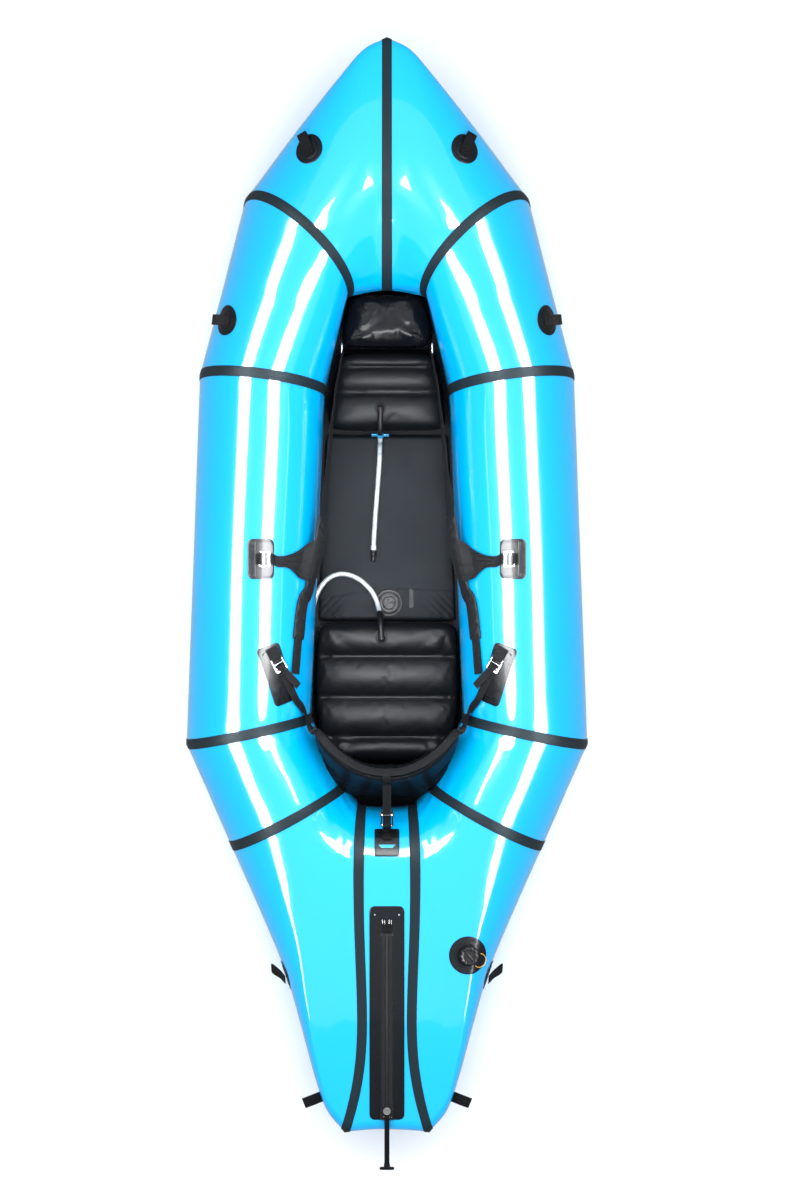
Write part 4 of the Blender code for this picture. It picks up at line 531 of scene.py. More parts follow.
def smooth(points: Sequence, count: int, closed: bool = False) -> Array:
    """Return evenly spaced points on a Catmull-Rom curve, which passes through each point given."""
    points = np.asarray(points, dtype=float)
    if closed:
        padded = np.vstack([points[-1], points, points[:2]])
    else:
        padded = np.vstack([2 * points[0] - points[1], points, 2 * points[-1] - points[-2]])
    share = np.linspace(0, 1, 24, endpoint=False)[None, :, None]
    p0, p1, p2, p3 = (padded[k:len(padded) - 3 + k, None, :] for k in range(4))
    dense = 0.5 * (2 * p1 + (p2 - p0) * share + (2 * p0 - 5 * p1 + 4 * p2 - p3) * share ** 2
                   + (3 * p1 - p0 - 3 * p2 + p3) * share ** 3)
    dense = np.vstack([dense.reshape(-1, points.shape[1]), padded[-2]])
    run = distances(dense)
    marks = np.linspace(0, run[-1], count + 1)[:-1] if closed else np.linspace(0, run[-1], count)
    return at_marks(marks, run, dense)


def eased(keys: Sequence, places: Array) -> Array:
    """Return values between keys, each step eased with a cubic that has the slope of its neighbours."""
    keys = np.asarray(keys, dtype=float)
    slope = np.gradient(keys, axis=0)
    low = np.clip(places.astype(int), 0, len(keys) - 2)
    t = (places - low)[:, None]
    a, b, da, db = keys[low], keys[low + 1], slope[low], slope[low + 1]
    return ((2 * t ** 3 - 3 * t ** 2 + 1) * a + (t ** 3 - 2 * t ** 2 + t) * da
            + (3 * t ** 2 - 2 * t ** 3) * b + (t ** 3 - t ** 2) * db)


def step(low: float, high: float, value: Array) -> Array:
    """Return 0 below low, 1 above high and a smooth step, 3t squared less 2t cubed, between them."""
    share = np.clip((np.asarray(value, dtype=float) - low) / (high - low), 0, 1)
    return share * share * (3 - 2 * share)


def frames(path: Array, up: Sequence = UPWARDS, closed: bool = False) -> tuple:
    """Return the tangents, sides and ups along a path, with ups as near as they can be to those given."""
    if closed:
        tangents = unit(np.roll(path, -1, axis=0) - np.roll(path, 1, axis=0))
    else:
        tangents = unit(np.gradient(path, axis=0))
    ups = np.broadcast_to(np.asarray(up, dtype=float), path.shape)
    sides = unit(np.cross(tangents, ups))
    return tangents, sides, unit(np.cross(sides, tangents))


def tube(path: Array, radius: Union[float, Array], sides: int = 14, closed: bool = False,
         up: Sequence = UPWARDS, squash: float = 1.0) -> Shell:
    """Return a round bar: a circle of the radius carried along a path.

    Args:
        path: Points of the centreline.
        radius: One radius, or one for each point.
        sides: Points round the circle.
        closed: The path joins up with its start.
        up: The direction that the circles' frames keep to.
        squash: Height over width of the section.

    Returns:
        The surface. A point is path + radius (cos a side + squash sin a up).
    """
    _, side, lift = frames(path, up, closed)
    c, s = ring_of(sides)
    reach = np.broadcast_to(np.asarray(radius, dtype=float), (len(path),))[:, None, None]
    ring = c[None, :, None] * side[:, None] + squash * s[None, :, None] * lift[:, None]
    points = path[:, None] + reach * ring
    if closed:
        points = np.concatenate([points, points[:1]])
    return grid(points, around=True, ends=not closed)


def capsule(start: Sequence, end: Sequence, radius: float) -> Shell:
    """Return a bar with round ends: the radius falls off as the root of 1 - t squared at both ends."""
    start, end = np.asarray(start, dtype=float), np.asarray(end, dtype=float)
    axis = unit(end - start)
    t = np.array([1.0, 0.92, 0.75, 0.5, 0.25, 0.0])
    lead = start - axis * radius * t[:, None]
    tail = end + axis * radius * t[::-1, None]
    reach = radius * np.sqrt(np.maximum(1 - t ** 2, 1e-4))
    up = UPWARDS if abs(axis[2]) < 0.9 else (1.0, 0.0, 0.0)
    return tube(np.vstack([lead, tail]), np.concatenate([reach, reach[::-1]]), up=up)


def turned(profile: Sequence, sides: int = 48, scallops: int = 0, depth: float = 0.0,
           scalloped: Sequence = ()) -> Shell:
    """Return a turned surface: a profile of (radius, height) carried round, some rows drawn in by scallops.

    The radius is r - depth (1 - cos(scallops a)) / 2 to the power 0.7 on the scalloped rows, and r on the rest.
    """
    angle, (c, s) = math.tau * np.arange(sides) / sides, ring_of(sides)
    profile = np.asarray(profile, dtype=float)
    draw = np.isin(np.arange(len(profile)), list(scalloped))[:, None] * depth
    reach = profile[:, :1] - draw * (0.5 - 0.5 * np.cos(scallops * angle))[None, :] ** 0.7
    reach = np.maximum(reach, 0.0)
    rise = np.broadcast_to(profile[:, 1:], reach.shape)
    points = np.stack([reach * c, reach * s, rise], axis=-1)
    return grid(points, around=True)


def rounded_outline(length: float, width: float, corner: float, count: int = 96) -> Array:
    """Return evenly spaced points round a rectangle with rounded corners, centred at the origin."""
    corner = min(corner, length / 2 - 1e-6, width / 2 - 1e-6)
    angle = np.linspace(0, math.pi / 2, 9)
    arcs = []
    for turn, (sx, sy) in enumerate(((1, 1), (-1, 1), (-1, -1), (1, -1))):
        a = angle + turn * math.pi / 2
        arcs.append(np.stack([sx * (length / 2 - corner) + corner * np.cos(a),
                              sy * (width / 2 - corner) + corner * np.sin(a)], axis=1))
    loop = np.vstack([*arcs, arcs[0][:1]])
    run = distances(loop)
    marks = np.linspace(0, run[-1], count, endpoint=False)
    return at_marks(marks, run, loop)


def slab(outline: Array, thickness: float, edge: float = 0.0004, rings: int = 8) -> Shell:
    """Return a flat plate with rounded rims: rings of its outline drawn in towards its middle, top and bottom."""
    inset = np.concatenate([np.linspace(0, 1, rings)[:-1] ** 0.8, [1.0]])
    high = thickness / 2
    span = np.linalg.norm(outline, axis=1).max()
    rim = [(1.0, 0.0), (1.0, high - edge), (1.0 - 0.3 * edge / span, high - 0.3 * edge), (1.0 - edge / span, high)]
    rows = [(scale, z) for scale, z in rim] + [(s * (1 - 1.4 * edge / span), high) for s in inset[::-1][1:]]
    scale, z = np.array(rows).T
    top = np.concatenate([outline[None] * scale[:, None, None], np.broadcast_to(z[:, None, None],
                          (len(z), len(outline), 1))], axis=-1)
    both = np.concatenate([(top * np.array([1, 1, -1]))[::-1][:-1], top])
    flat = both[..., :2].copy()
    return grid(both, flat=flat, around=True)


def plate(outline: tuple, form: tuple, x: float = 0.0, y: float = 0.0, z: float = 0.0) -> Shell:
    """Return a flat plate with rounded corners at a place; the tuples are what rounded_outline and slab take."""
    return slab(rounded_outline(*outline), *form).moved(shift(x, y, z))


def strap(path: Array, normals: Array, width: Union[float, Array], thickness: Union[float, Array],
          columns: int = 13, crown: float = 0.0, wave: Optional[Array] = None) -> Shell:
    """Return a flat strap carried along a path.

    Args:
        path: Points of the strap's underside.
        normals: Directions that its face looks in.
        width: One width, or one for each point.
        thickness: One thickness, or one for each point.
        columns: Points across its face.
        crown: How far the middle of the face stands over its edges.
        wave: Extra height for each point and column.

    Returns:
        A closed surface, whose flat map runs along and across in metres. The section is a rectangle with
        edges rounded by a quarter of its thickness.
    """
    path = np.asarray(path, dtype=float)
    tangents = unit(np.gradient(path, axis=0))
    sides = unit(np.cross(tangents, normals))
    ups = unit(np.cross(sides, tangents))
    half = np.broadcast_to(np.asarray(width, dtype=float), (len(path),)) / 2
    thick = np.broadcast_to(np.asarray(thickness, dtype=float), (len(path),))
    share = np.linspace(-1, 1, columns)
    face = 1 - 0.28 * np.abs(share) ** 14
    top = thick[:, None] * face + crown * (1 - share ** 2)
    if wave is not None:
        top = top + wave
    low = thick[:, None] * (1 - face)
    if wave is not None:
        low = low + np.minimum(wave, 0)
    over = path[:, None] + sides[:, None] * (half[:, None] * share)[..., None] + ups[:, None] * top[..., None]
    under = path[:, None] + sides[:, None] * (half[:, None] * share)[..., None] + ups[:, None] * low[..., None]
    points = np.concatenate([over, under[:, ::-1]], axis=1)
    run = distances(path)
    across = np.concatenate([half[:, None] * share, (half[:, None] * share)[:, ::-1]], axis=1)
    flat = np.stack([np.broadcast_to(run[:, None], across.shape), across], axis=-1)
    return grid(points, flat=flat, around=True, ends=True)


def block(size: Sequence, edge: float, frame: Optional[Array] = None) -> Shell:
    """Return a box with rounded edges: a sphere of the edge's radius, whose eight parts stand at the corners."""
    half = np.asarray(size, dtype=float) / 2 - edge
    arc = np.linspace(0, math.pi / 2, 4)
    turn = np.concatenate([arc + k * math.pi / 2 for k in range(4)])
    tilt = np.concatenate([arc - math.pi / 2, arc])
    ball = np.stack([np.cos(tilt)[:, None] * np.cos(turn), np.cos(tilt)[:, None] * np.sin(turn),
                     np.broadcast_to(np.sin(tilt)[:, None], (8, 16))], axis=-1)
    corner_x = np.repeat([1, -1, -1, 1], 4)[None, :] * half[0]
    corner_y = np.repeat([1, 1, -1, -1], 4)[None, :] * half[1]
    corner_z = np.repeat([-1, 1], 4)[:, None] * half[2]
    corner = np.stack(np.broadcast_arrays(corner_x, corner_y, corner_z), axis=-1)
    shell = grid(ball * edge + corner, around=True, ends=True)
    return shell if frame is None else shell.moved(frame)


def shift(x: float = 0.0, y: float = 0.0, z: float = 0.0) -> Array:
    """Return the frame that moves by a distance along each axis."""
    frame = np.eye(4)
    frame[:3, 3] = (x, y, z)
    return frame


def framed(first: Sequence, second: Sequence, third: Sequence, place: Sequence) -> Array:
    """Return the frame with these three axes at a place."""
    frame = np.eye(4)
    frame[:3] = np.stack([first, second, third, place], axis=1)
    return frame


def standing(ahead: Sequence, up: Array, place: Sequence) -> Array:
    """Return the frame at a place whose Z is up, and whose X is as near to ahead as it can be."""
    ahead = unit(ahead - up * np.dot(ahead, up))
    return framed(ahead, np.cross(up, ahead), up, place)


def carried(points: Array, frame: Array) -> Array:
    """Return points carried by a frame."""
    return points @ frame[:3, :3].T + frame[:3, 3]


def spin(degrees: float, axis: str = "Z") -> Array:
    """Return the frame that turns about an axis."""
    c, s = math.cos(math.radians(degrees)), math.sin(math.radians(degrees))
    first, second = {"X": (1, 2), "Y": (2, 0), "Z": (0, 1)}[axis]
    frame = np.eye(4)
    frame[first, first] = frame[second, second] = c
    frame[first, second], frame[second, first] = -s, s
    return frame


class Ground:
    """Triangles that other pieces are laid on."""

    def __init__(self, corners: Array, normals: Array) -> None:
        """Keep each triangle's corners and its smooth normals there, both n by 3 by 3."""
        self.corners = corners
        self.normals = normals

    @staticmethod
    def of(grids: Iterable[Array]) -> "Ground":
        """Return the ground of some grids of points, whose normals point away from each grid's middle line."""
        corners, normals = [], []
        for points in grids:
            square = unit(np.cross(np.gradient(points, axis=0), np.gradient(points, axis=1)))
            middle = points.mean(axis=1, keepdims=True)
            square = square * np.sign(np.sum(square * (points - middle), axis=(0, 1, 2)) or 1.0)
            for a, b, c in (((0, 0), (0, 1), (1, 1)), ((0, 0), (1, 1), (1, 0))):
                pick = [tuple(slice(k, k - 1 or None) if k else slice(0, -1) for k in corner) for corner in (a, b, c)]
                corners.append(np.stack([points[p] for p in pick], axis=2).reshape(-1, 3, 3))
                normals.append(np.stack([square[p] for p in pick], axis=2).reshape(-1, 3, 3))
        return Ground(np.concatenate(corners), np.concatenate(normals))

    def near(self, centre: Sequence, reach: float) -> "Ground":
        """Return only the triangles within a distance of a point."""
        close = np.linalg.norm(self.corners.mean(axis=1) - np.asarray(centre), axis=1) < reach
        return Ground(self.corners[close], self.normals[close])

    def under(self, points: Array, down: Sequence = (0.0, 0.0, -1.0)) -> tuple:
        """Find what lies under points.

        Args:
            points: Any number of points, n by 3. Only their place square to the direction counts.
            down: The direction to look in.

        Returns:
            The highest point of the ground under each, and the ground's normal there. The test is the
            barycentric one: a point is in a triangle where u, v and 1 - u - v aren't negative, and where
            none holds it the nearest triangle's plane is used.
        """
        down = unit(down)
        other = (1.0, 0.0, 0.0) if abs(down[0]) < 0.8 else (0.0, 1.0, 0.0)
        first = unit(np.cross(down, other))
        axes = np.stack([first, np.cross(down, first)], axis=1)
        flat, height = self.corners @ axes, self.corners @ -down
        v0, v1 = flat[:, 1] - flat[:, 0], flat[:, 2] - flat[:, 0]
        area = v0[:, 0] * v1[:, 1] - v1[:, 0] * v0[:, 1]
        area = np.where(np.abs(area) < 1e-14, 1e-14, area)
        places, squares = [], []
        for part in np.array_split(points, max(1, len(points) // 200)):
            w = (part @ axes)[:, None] - flat[None, :, 0]
            u = (w[..., 0] * v1[:, 1] - w[..., 1] * v1[:, 0]) / area
            v = (w[..., 1] * v0[:, 0] - w[..., 0] * v0[:, 1]) / area
            inside = np.minimum(np.minimum(u, v), 1 - u - v)
            rise = height[:, 0] + u * (height[:, 1] - height[:, 0]) + v * (height[:, 2] - height[:, 0])
            score = np.where(inside > -1e-6, 1e3 + rise, inside * 1.0)
            best = np.argmax(score, axis=1)
            pick = np.arange(len(part))
            share = np.stack([1 - u[pick, best] - v[pick, best], u[pick, best], v[pick, best]], axis=1)
            places.append(np.einsum("nk,nkd->nd", share, self.corners[best]))
            squares.append(unit(np.einsum("nk,nkd->nd", np.clip(share, 0, 1), self.normals[best])))
        return np.concatenate(places), np.concatenate(squares)

    def seat(self, x: float, y: float, heading: Sequence = (1.0, 0.0)) -> Array:
        """Return a frame on the ground under a plan place: X along the heading, Z out of the ground."""
        place, normal = self.under(np.array([[x, y, 0.0]]))
        return standing(np.array([*heading, 0.0]), normal[0], place[0])

    def draped(self, shell: Shell, frame: Array, gap: float = GLUE, cells: tuple = (25, 25)) -> Shell:
        """Return a flat shell laid over the ground.

        Args:
            shell: The piece, flat in its own frame.
            frame: Where it lies: X and Y along the ground, Z out of it.
            gap: How far it stays off the ground.
            cells: Places along and across where the ground is looked up.

        Returns:
            The shell, each point at its height over the ground under it, which is blended between the four
            places round it.
        """
        x, y = shell.points[:, 0], shell.points[:, 1]
        lines = [np.linspace(v.min() - 1e-4, v.max() + 1e-4, n) for v, n in zip((x, y), cells)]
        mesh = np.stack(np.meshgrid(*lines, indexing="ij"), axis=-1).reshape(-1, 2)
        near = self.near(frame[:3, 3], float(np.linalg.norm(mesh, axis=1).max()) + 0.03)
        place, normal = near.under(mesh @ frame[:3, :2].T + frame[:3, 3], -frame[:3, 2])
        known = np.concatenate([place, normal], axis=1).reshape(*cells, 6)
        spots = [(v - line[0]) / (line[1] - line[0]) for v, line in zip((x, y), lines)]
        low = [np.clip(spot.astype(int), 0, n - 2) for spot, n in zip(spots, cells)]
        part = [(spot - first)[:, None] for spot, first in zip(spots, low)]
        i, j = low
        row = known[i, j] * (1 - part[1]) + known[i, j + 1] * part[1]
        beyond = known[i + 1, j] * (1 - part[1]) + known[i + 1, j + 1] * part[1]
        found = row * (1 - part[0]) + beyond * part[0]
        points = found[:, :3] + unit(found[:, 3:]) * (shell.points[:, 2:] + gap)
        return Shell(points, shell.faces, shell.flat)

    def clear(self, path: Array, lift: Union[float, Array]) -> tuple:
        """Keep points off the ground.

        Args:
            path: Points, n by 3.
            lift: The least height over the ground, one or one for each point.

        Returns:
            The points and the ground's normals at the spots nearest to them. A point lower than its lift is
            moved to its nearest spot plus the lift along the normal there.
        """
        corners = self.corners.reshape(-1, 3)
        tree = BVHTree.FromPolygons(corners.tolist(), np.arange(len(corners)).reshape(-1, 3).tolist())
        found = [tree.find_nearest(Vector(point)) for point in path]
        spots = np.array([tuple(hit[0]) for hit in found])
        out = unit(self.normals[[hit[2] for hit in found]].mean(axis=1))
        high = np.sum((path - spots) * out, axis=1)
        need = np.broadcast_to(np.asarray(lift, dtype=float), high.shape)
        return np.where((high < need)[:, None], spots + out * need[:, None], path), out

    def above(self, plan: Sequence, lift: float) -> tuple:
        """Return points a lift over the ground at plan places, and the ground's normals there."""
        flat = np.array([(x, y, 0.0) for x, y in plan])
        place, normal = self.under(flat)
        return place + normal * lift, normal


def run_of(points: Sequence, normals: Sequence, count: int) -> tuple:
    """Return a smooth path through points, and normals that turn along it as those given do."""
    joined = smooth(np.hstack([np.asarray(points, dtype=float), unit(normals) * 1e-3]), count)
    return joined[:, :3], unit(joined[:, 3:])


def beside(path: Array, normals: Array, across: float, rise: float) -> Array:
    """Return the line beside a path: each point plus across along its side and rise along its face."""
    ahead = unit(np.gradient(path, axis=0))
    side = unit(np.cross(ahead, normals))
    return path + side * across + unit(np.cross(side, ahead)) * rise


def creases(along: Array, across: Array, size: float, seed: int) -> Array:
    """Return a field of soft creases: a sum of sine waves, each of its own heading, length and phase."""
    count, lean = 11, 0.9
    draw = np.random.default_rng(seed)
    total = np.zeros(np.broadcast(along, across).shape)
    for _ in range(count):
        angle, length, phase = draw.uniform(-lean, lean), size * draw.uniform(0.6, 1.8), draw.uniform(0, math.tau)
        total = total + np.sin(math.tau * (along * math.cos(angle) + across * math.sin(angle)) / length + phase)
    return total / math.sqrt(count)


def joined(shells: Sequence) -> Shell:
    """Return several surfaces as one."""
    total = shells[0]
    for shell in shells[1:]:
        total = total + shell
    return total


def beads(path: Array, normals: Array, pitch: float = 0.0036, length: float = 0.0027, radius: float = 0.0004,
          proud: float = 0.0) -> Shell:
    """Return a row of thread stitches along a path.

    Args:
        path: The line of the seam.
        normals: The cloth's normals along it.
        pitch: From one stitch to the next.
        length: Of one stitch.
        radius: Of the thread.
        proud: How far the thread's middle stands over the line.

    Returns:
        One small bead for each stitch, whose radius at t is the root of 1 - t squared.
    """
    run = distances(path)
    marks = np.arange(pitch / 2, run[-1], pitch)
    middle = at_marks(marks, run, path)
    square = unit(at_marks(marks, run, normals))
    ahead = unit(at_marks(marks, run, np.gradient(path, axis=0)))
    side = unit(np.cross(ahead, square))
    t = np.array([-1.0, -0.75, 0.0, 0.75, 1.0])
    c, s = ring_of(6)
    reach = radius * np.sqrt(np.maximum(1 - t ** 2, 0.02))
    ring = c[:, None] * side[:, None, :] + s[:, None] * square[:, None, :]
    points = (middle[:, None, None] + ahead[:, None, None] * (t * length / 2)[:, None, None]
              + square[:, None, None] * proud + ring[:, None] * reach[:, None, None])
    index = np.arange(30).reshape(5, 6)
    cells = np.stack([index[:-1], index[:-1][:, np.r_[1:6, 0]], index[1:][:, np.r_[1:6, 0]], index[1:]], axis=-1)
    faces = (cells.reshape(-1, 4)[None] + 30 * np.arange(len(middle))[:, None, None]).reshape(-1, 4)
    return Shell(points.reshape(-1, 3), faces, np.zeros((len(middle) * 30, 2)))


# The hull's driving sizes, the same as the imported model's
HALF_LENGTH = 1.25
HALF_BEAM = 0.46
TUBE_RADIUS = 0.145
HULL_LIFT = 0.0015


@dataclass(frozen=True)
class Section:
    """One hull section, a loop between an inner and an outer plan point, by shares of half the beam and length."""

    inner: tuple
    outer: tuple
    blend: float = 0.0
    straight: float = 0.0
    lean: float = 0.0
    heel_rise: float = 0.0
    bow: float = 0.0

    def keys(self) -> list:
        """Return the section's numbers in metres, as the surface uses them."""
        return [self.inner[0] * HALF_BEAM, self.inner[1] * HALF_LENGTH, self.outer[0] * HALF_BEAM,
                self.outer[1] * HALF_LENGTH, self.blend, self.straight, math.tan(math.radians(self.lean)),
                self.heel_rise, self.bow]


@dataclass
class TubeSurface:
    """The skin of one hull panel, from one welded seam to the next."""

    sections: Sequence
    tip_height: float = TUBE_RADIUS
    tip_radius: float = TUBE_RADIUS

    def at(self, along: Array, turn: Array) -> Array:
        """Return points of the skin.

        Args:
            along: Shares from 0 at the first section to 1 at the last, for the rows.
            turn: Turns round the section for the columns: 0 on the inner side, 0.25 on top, 0.5 outside.

        Returns:
            Rows by columns by 3. A point is the heel circle's centre, moved towards the tip circle's by the
            flow, plus the radius there times the cosine and sine of its angle. On a straight section both
            circles are joined by their common tangents, and elsewhere the flow is a smooth step.
        """
        keys = [section.keys() for section in self.sections]
        values = eased(keys, along * (len(keys) - 1)).T[..., None]
        inner_x, inner_y, outer_x, outer_y, blend, straight, lean, rise, bow = values
        reach_x, reach_y = outer_x - inner_x, outer_y - inner_y
        width = np.hypot(reach_x, reach_y)
        out_x, out_y = reach_x / width, reach_y / width
        heel = np.minimum(TUBE_RADIUS, width / 2)
        tip = heel + (self.tip_radius - heel) * blend
        heel_z = HULL_LIFT + heel + rise
        tip_z = heel_z + (self.tip_height - heel_z) * blend
        upper = (turn % 1 <= 0.5)[None, :]
        share = np.where(upper, 2 * (turn % 1), 2 * (1 - turn % 1))
        span = np.maximum(width - heel - tip, 3e-4)
        tilt = np.arctan2(tip_z - heel_z, span)
        pinch = np.arcsin(np.minimum(0.95, (heel - tip) / np.hypot(span, tip_z - heel_z)))
        shoulder = math.pi / 2 - pinch + np.where(upper, tilt, -tilt)
        third = 1 / 3
        near = math.pi + (shoulder - math.pi) * share / third
        far = shoulder * (1 - share) / third
        hard_angle = np.where(share < third, near, np.where(share > 1 - third, far, shoulder))
        hard_flow = np.clip((share - third) / (1 - 2 * third), 0, 1)
        angle = math.pi * (1 - share) * (1 - straight) + hard_angle * straight
        flow = step(0, 1, share) * (1 - straight) + hard_flow * straight
        radius = heel + (tip - heel) * flow
        out = heel + (width - tip - heel) * flow + radius * np.cos(angle)
        lift = radius * np.sin(angle) * np.where(upper, 1, -1)
        drift = lean * lift + bow * np.sin(math.pi * np.clip(out / width, 0, 1) ** 2.2)
        x = inner_x + out_x * out - out_y * drift
        y = inner_y + out_y * out + out_x * drift
        return np.stack([x, y, heel_z + (tip_z - heel_z) * flow + lift], axis=-1)


BOW_SECTIONS = [
    Section((0.0, 0.543), (0.0, 1.0), 1.0, 0.0, 0.0, 0.051),
    Section((0.04, 0.542), (0.118, 0.978), 0.97, 0.0, 2.0, 0.0522),
    Section((0.08, 0.54), (0.234, 0.93), 0.85, 0.0, 6.0, 0.054),
    Section((0.14, 0.536), (0.462, 0.825), 0.42, 0.0, 13.0, 0.0576),
    Section((0.2, 0.532), (0.698, 0.712), 0.0, 0.0, 19.0, 0.06),
]
SHOULDER_SECTION = Section((0.309, 0.357), (0.933, 0.388), lean=8.0)
HIP_SECTION = Section((0.379, -0.24), (1.0, -0.289), lean=-3.0)
QUARTER_SECTION = Section((0.22, -0.366), (0.778, -0.475), lean=-5.0)
STERN_SECTIONS = [
    QUARTER_SECTION,
    Section((0.19, -0.377), (0.623, -0.603), 0.3, 0.25),
    Section((0.165, -0.387), (0.509, -0.704), 0.55, 0.55),
    Section((0.15, -0.392), (0.434, -0.796), 0.74, 0.8),
    Section((0.14, -0.398), (0.359, -0.897), 0.9, 0.95),
    Section((0.135, -0.4), (0.3, -0.958), 0.96, 1.0),
    Section((0.13, -0.401), (0.21, -0.998), 1.0, 1.0, bow=-0.028),
]
DECK_SECTIONS = [Section((-0.13, -0.401), (-0.21, -0.998), 1.0, 1.0, bow=0.028),
                 Section((-0.07, -0.404), (-0.11, -0.9945), 1.0, 1.0, bow=0.01),
                 Section((0.0, -0.405), (0.0, -0.993), 1.0, 1.0),
                 Section((0.07, -0.404), (0.11, -0.9945), 1.0, 1.0, bow=-0.01),
                 Section((0.13, -0.401), (0.21, -0.998), 1.0, 1.0, bow=-0.028)]
# The floor's edge on the right side, from the bow aft
FLOOR_EDGE = ((0.0, 0.8238, 0.051), (0.0279, 0.8222, 0.0522), (0.0577, 0.8185, 0.054), (0.1278, 0.8245, 0.0576),
              (0.2111, 0.782, 0.06), (0.3075, 0.4686, 0.0), (0.3376, -0.335, 0.0), (0.2487, -0.5358, 0.0),
              (0.1836, -0.6077, 0.0), (0.1378, -0.6388, 0.0), (0.0669, -0.6461, 0.0))
BOW_TIP = {"tip_height": 0.335, "tip_radius": 0.038}
STERN_TIP = {"tip_height": 0.235, "tip_radius": 0.024}


@dataclass
class SeamTape:
    """The welded tape over one seam, from the floor's edge in the cockpit round the tube to the floor outside."""

    name: str
    before: str
    after: str
    width: float = 0.024
    gap: float = 0.0005
    thickness: float = 0.0008


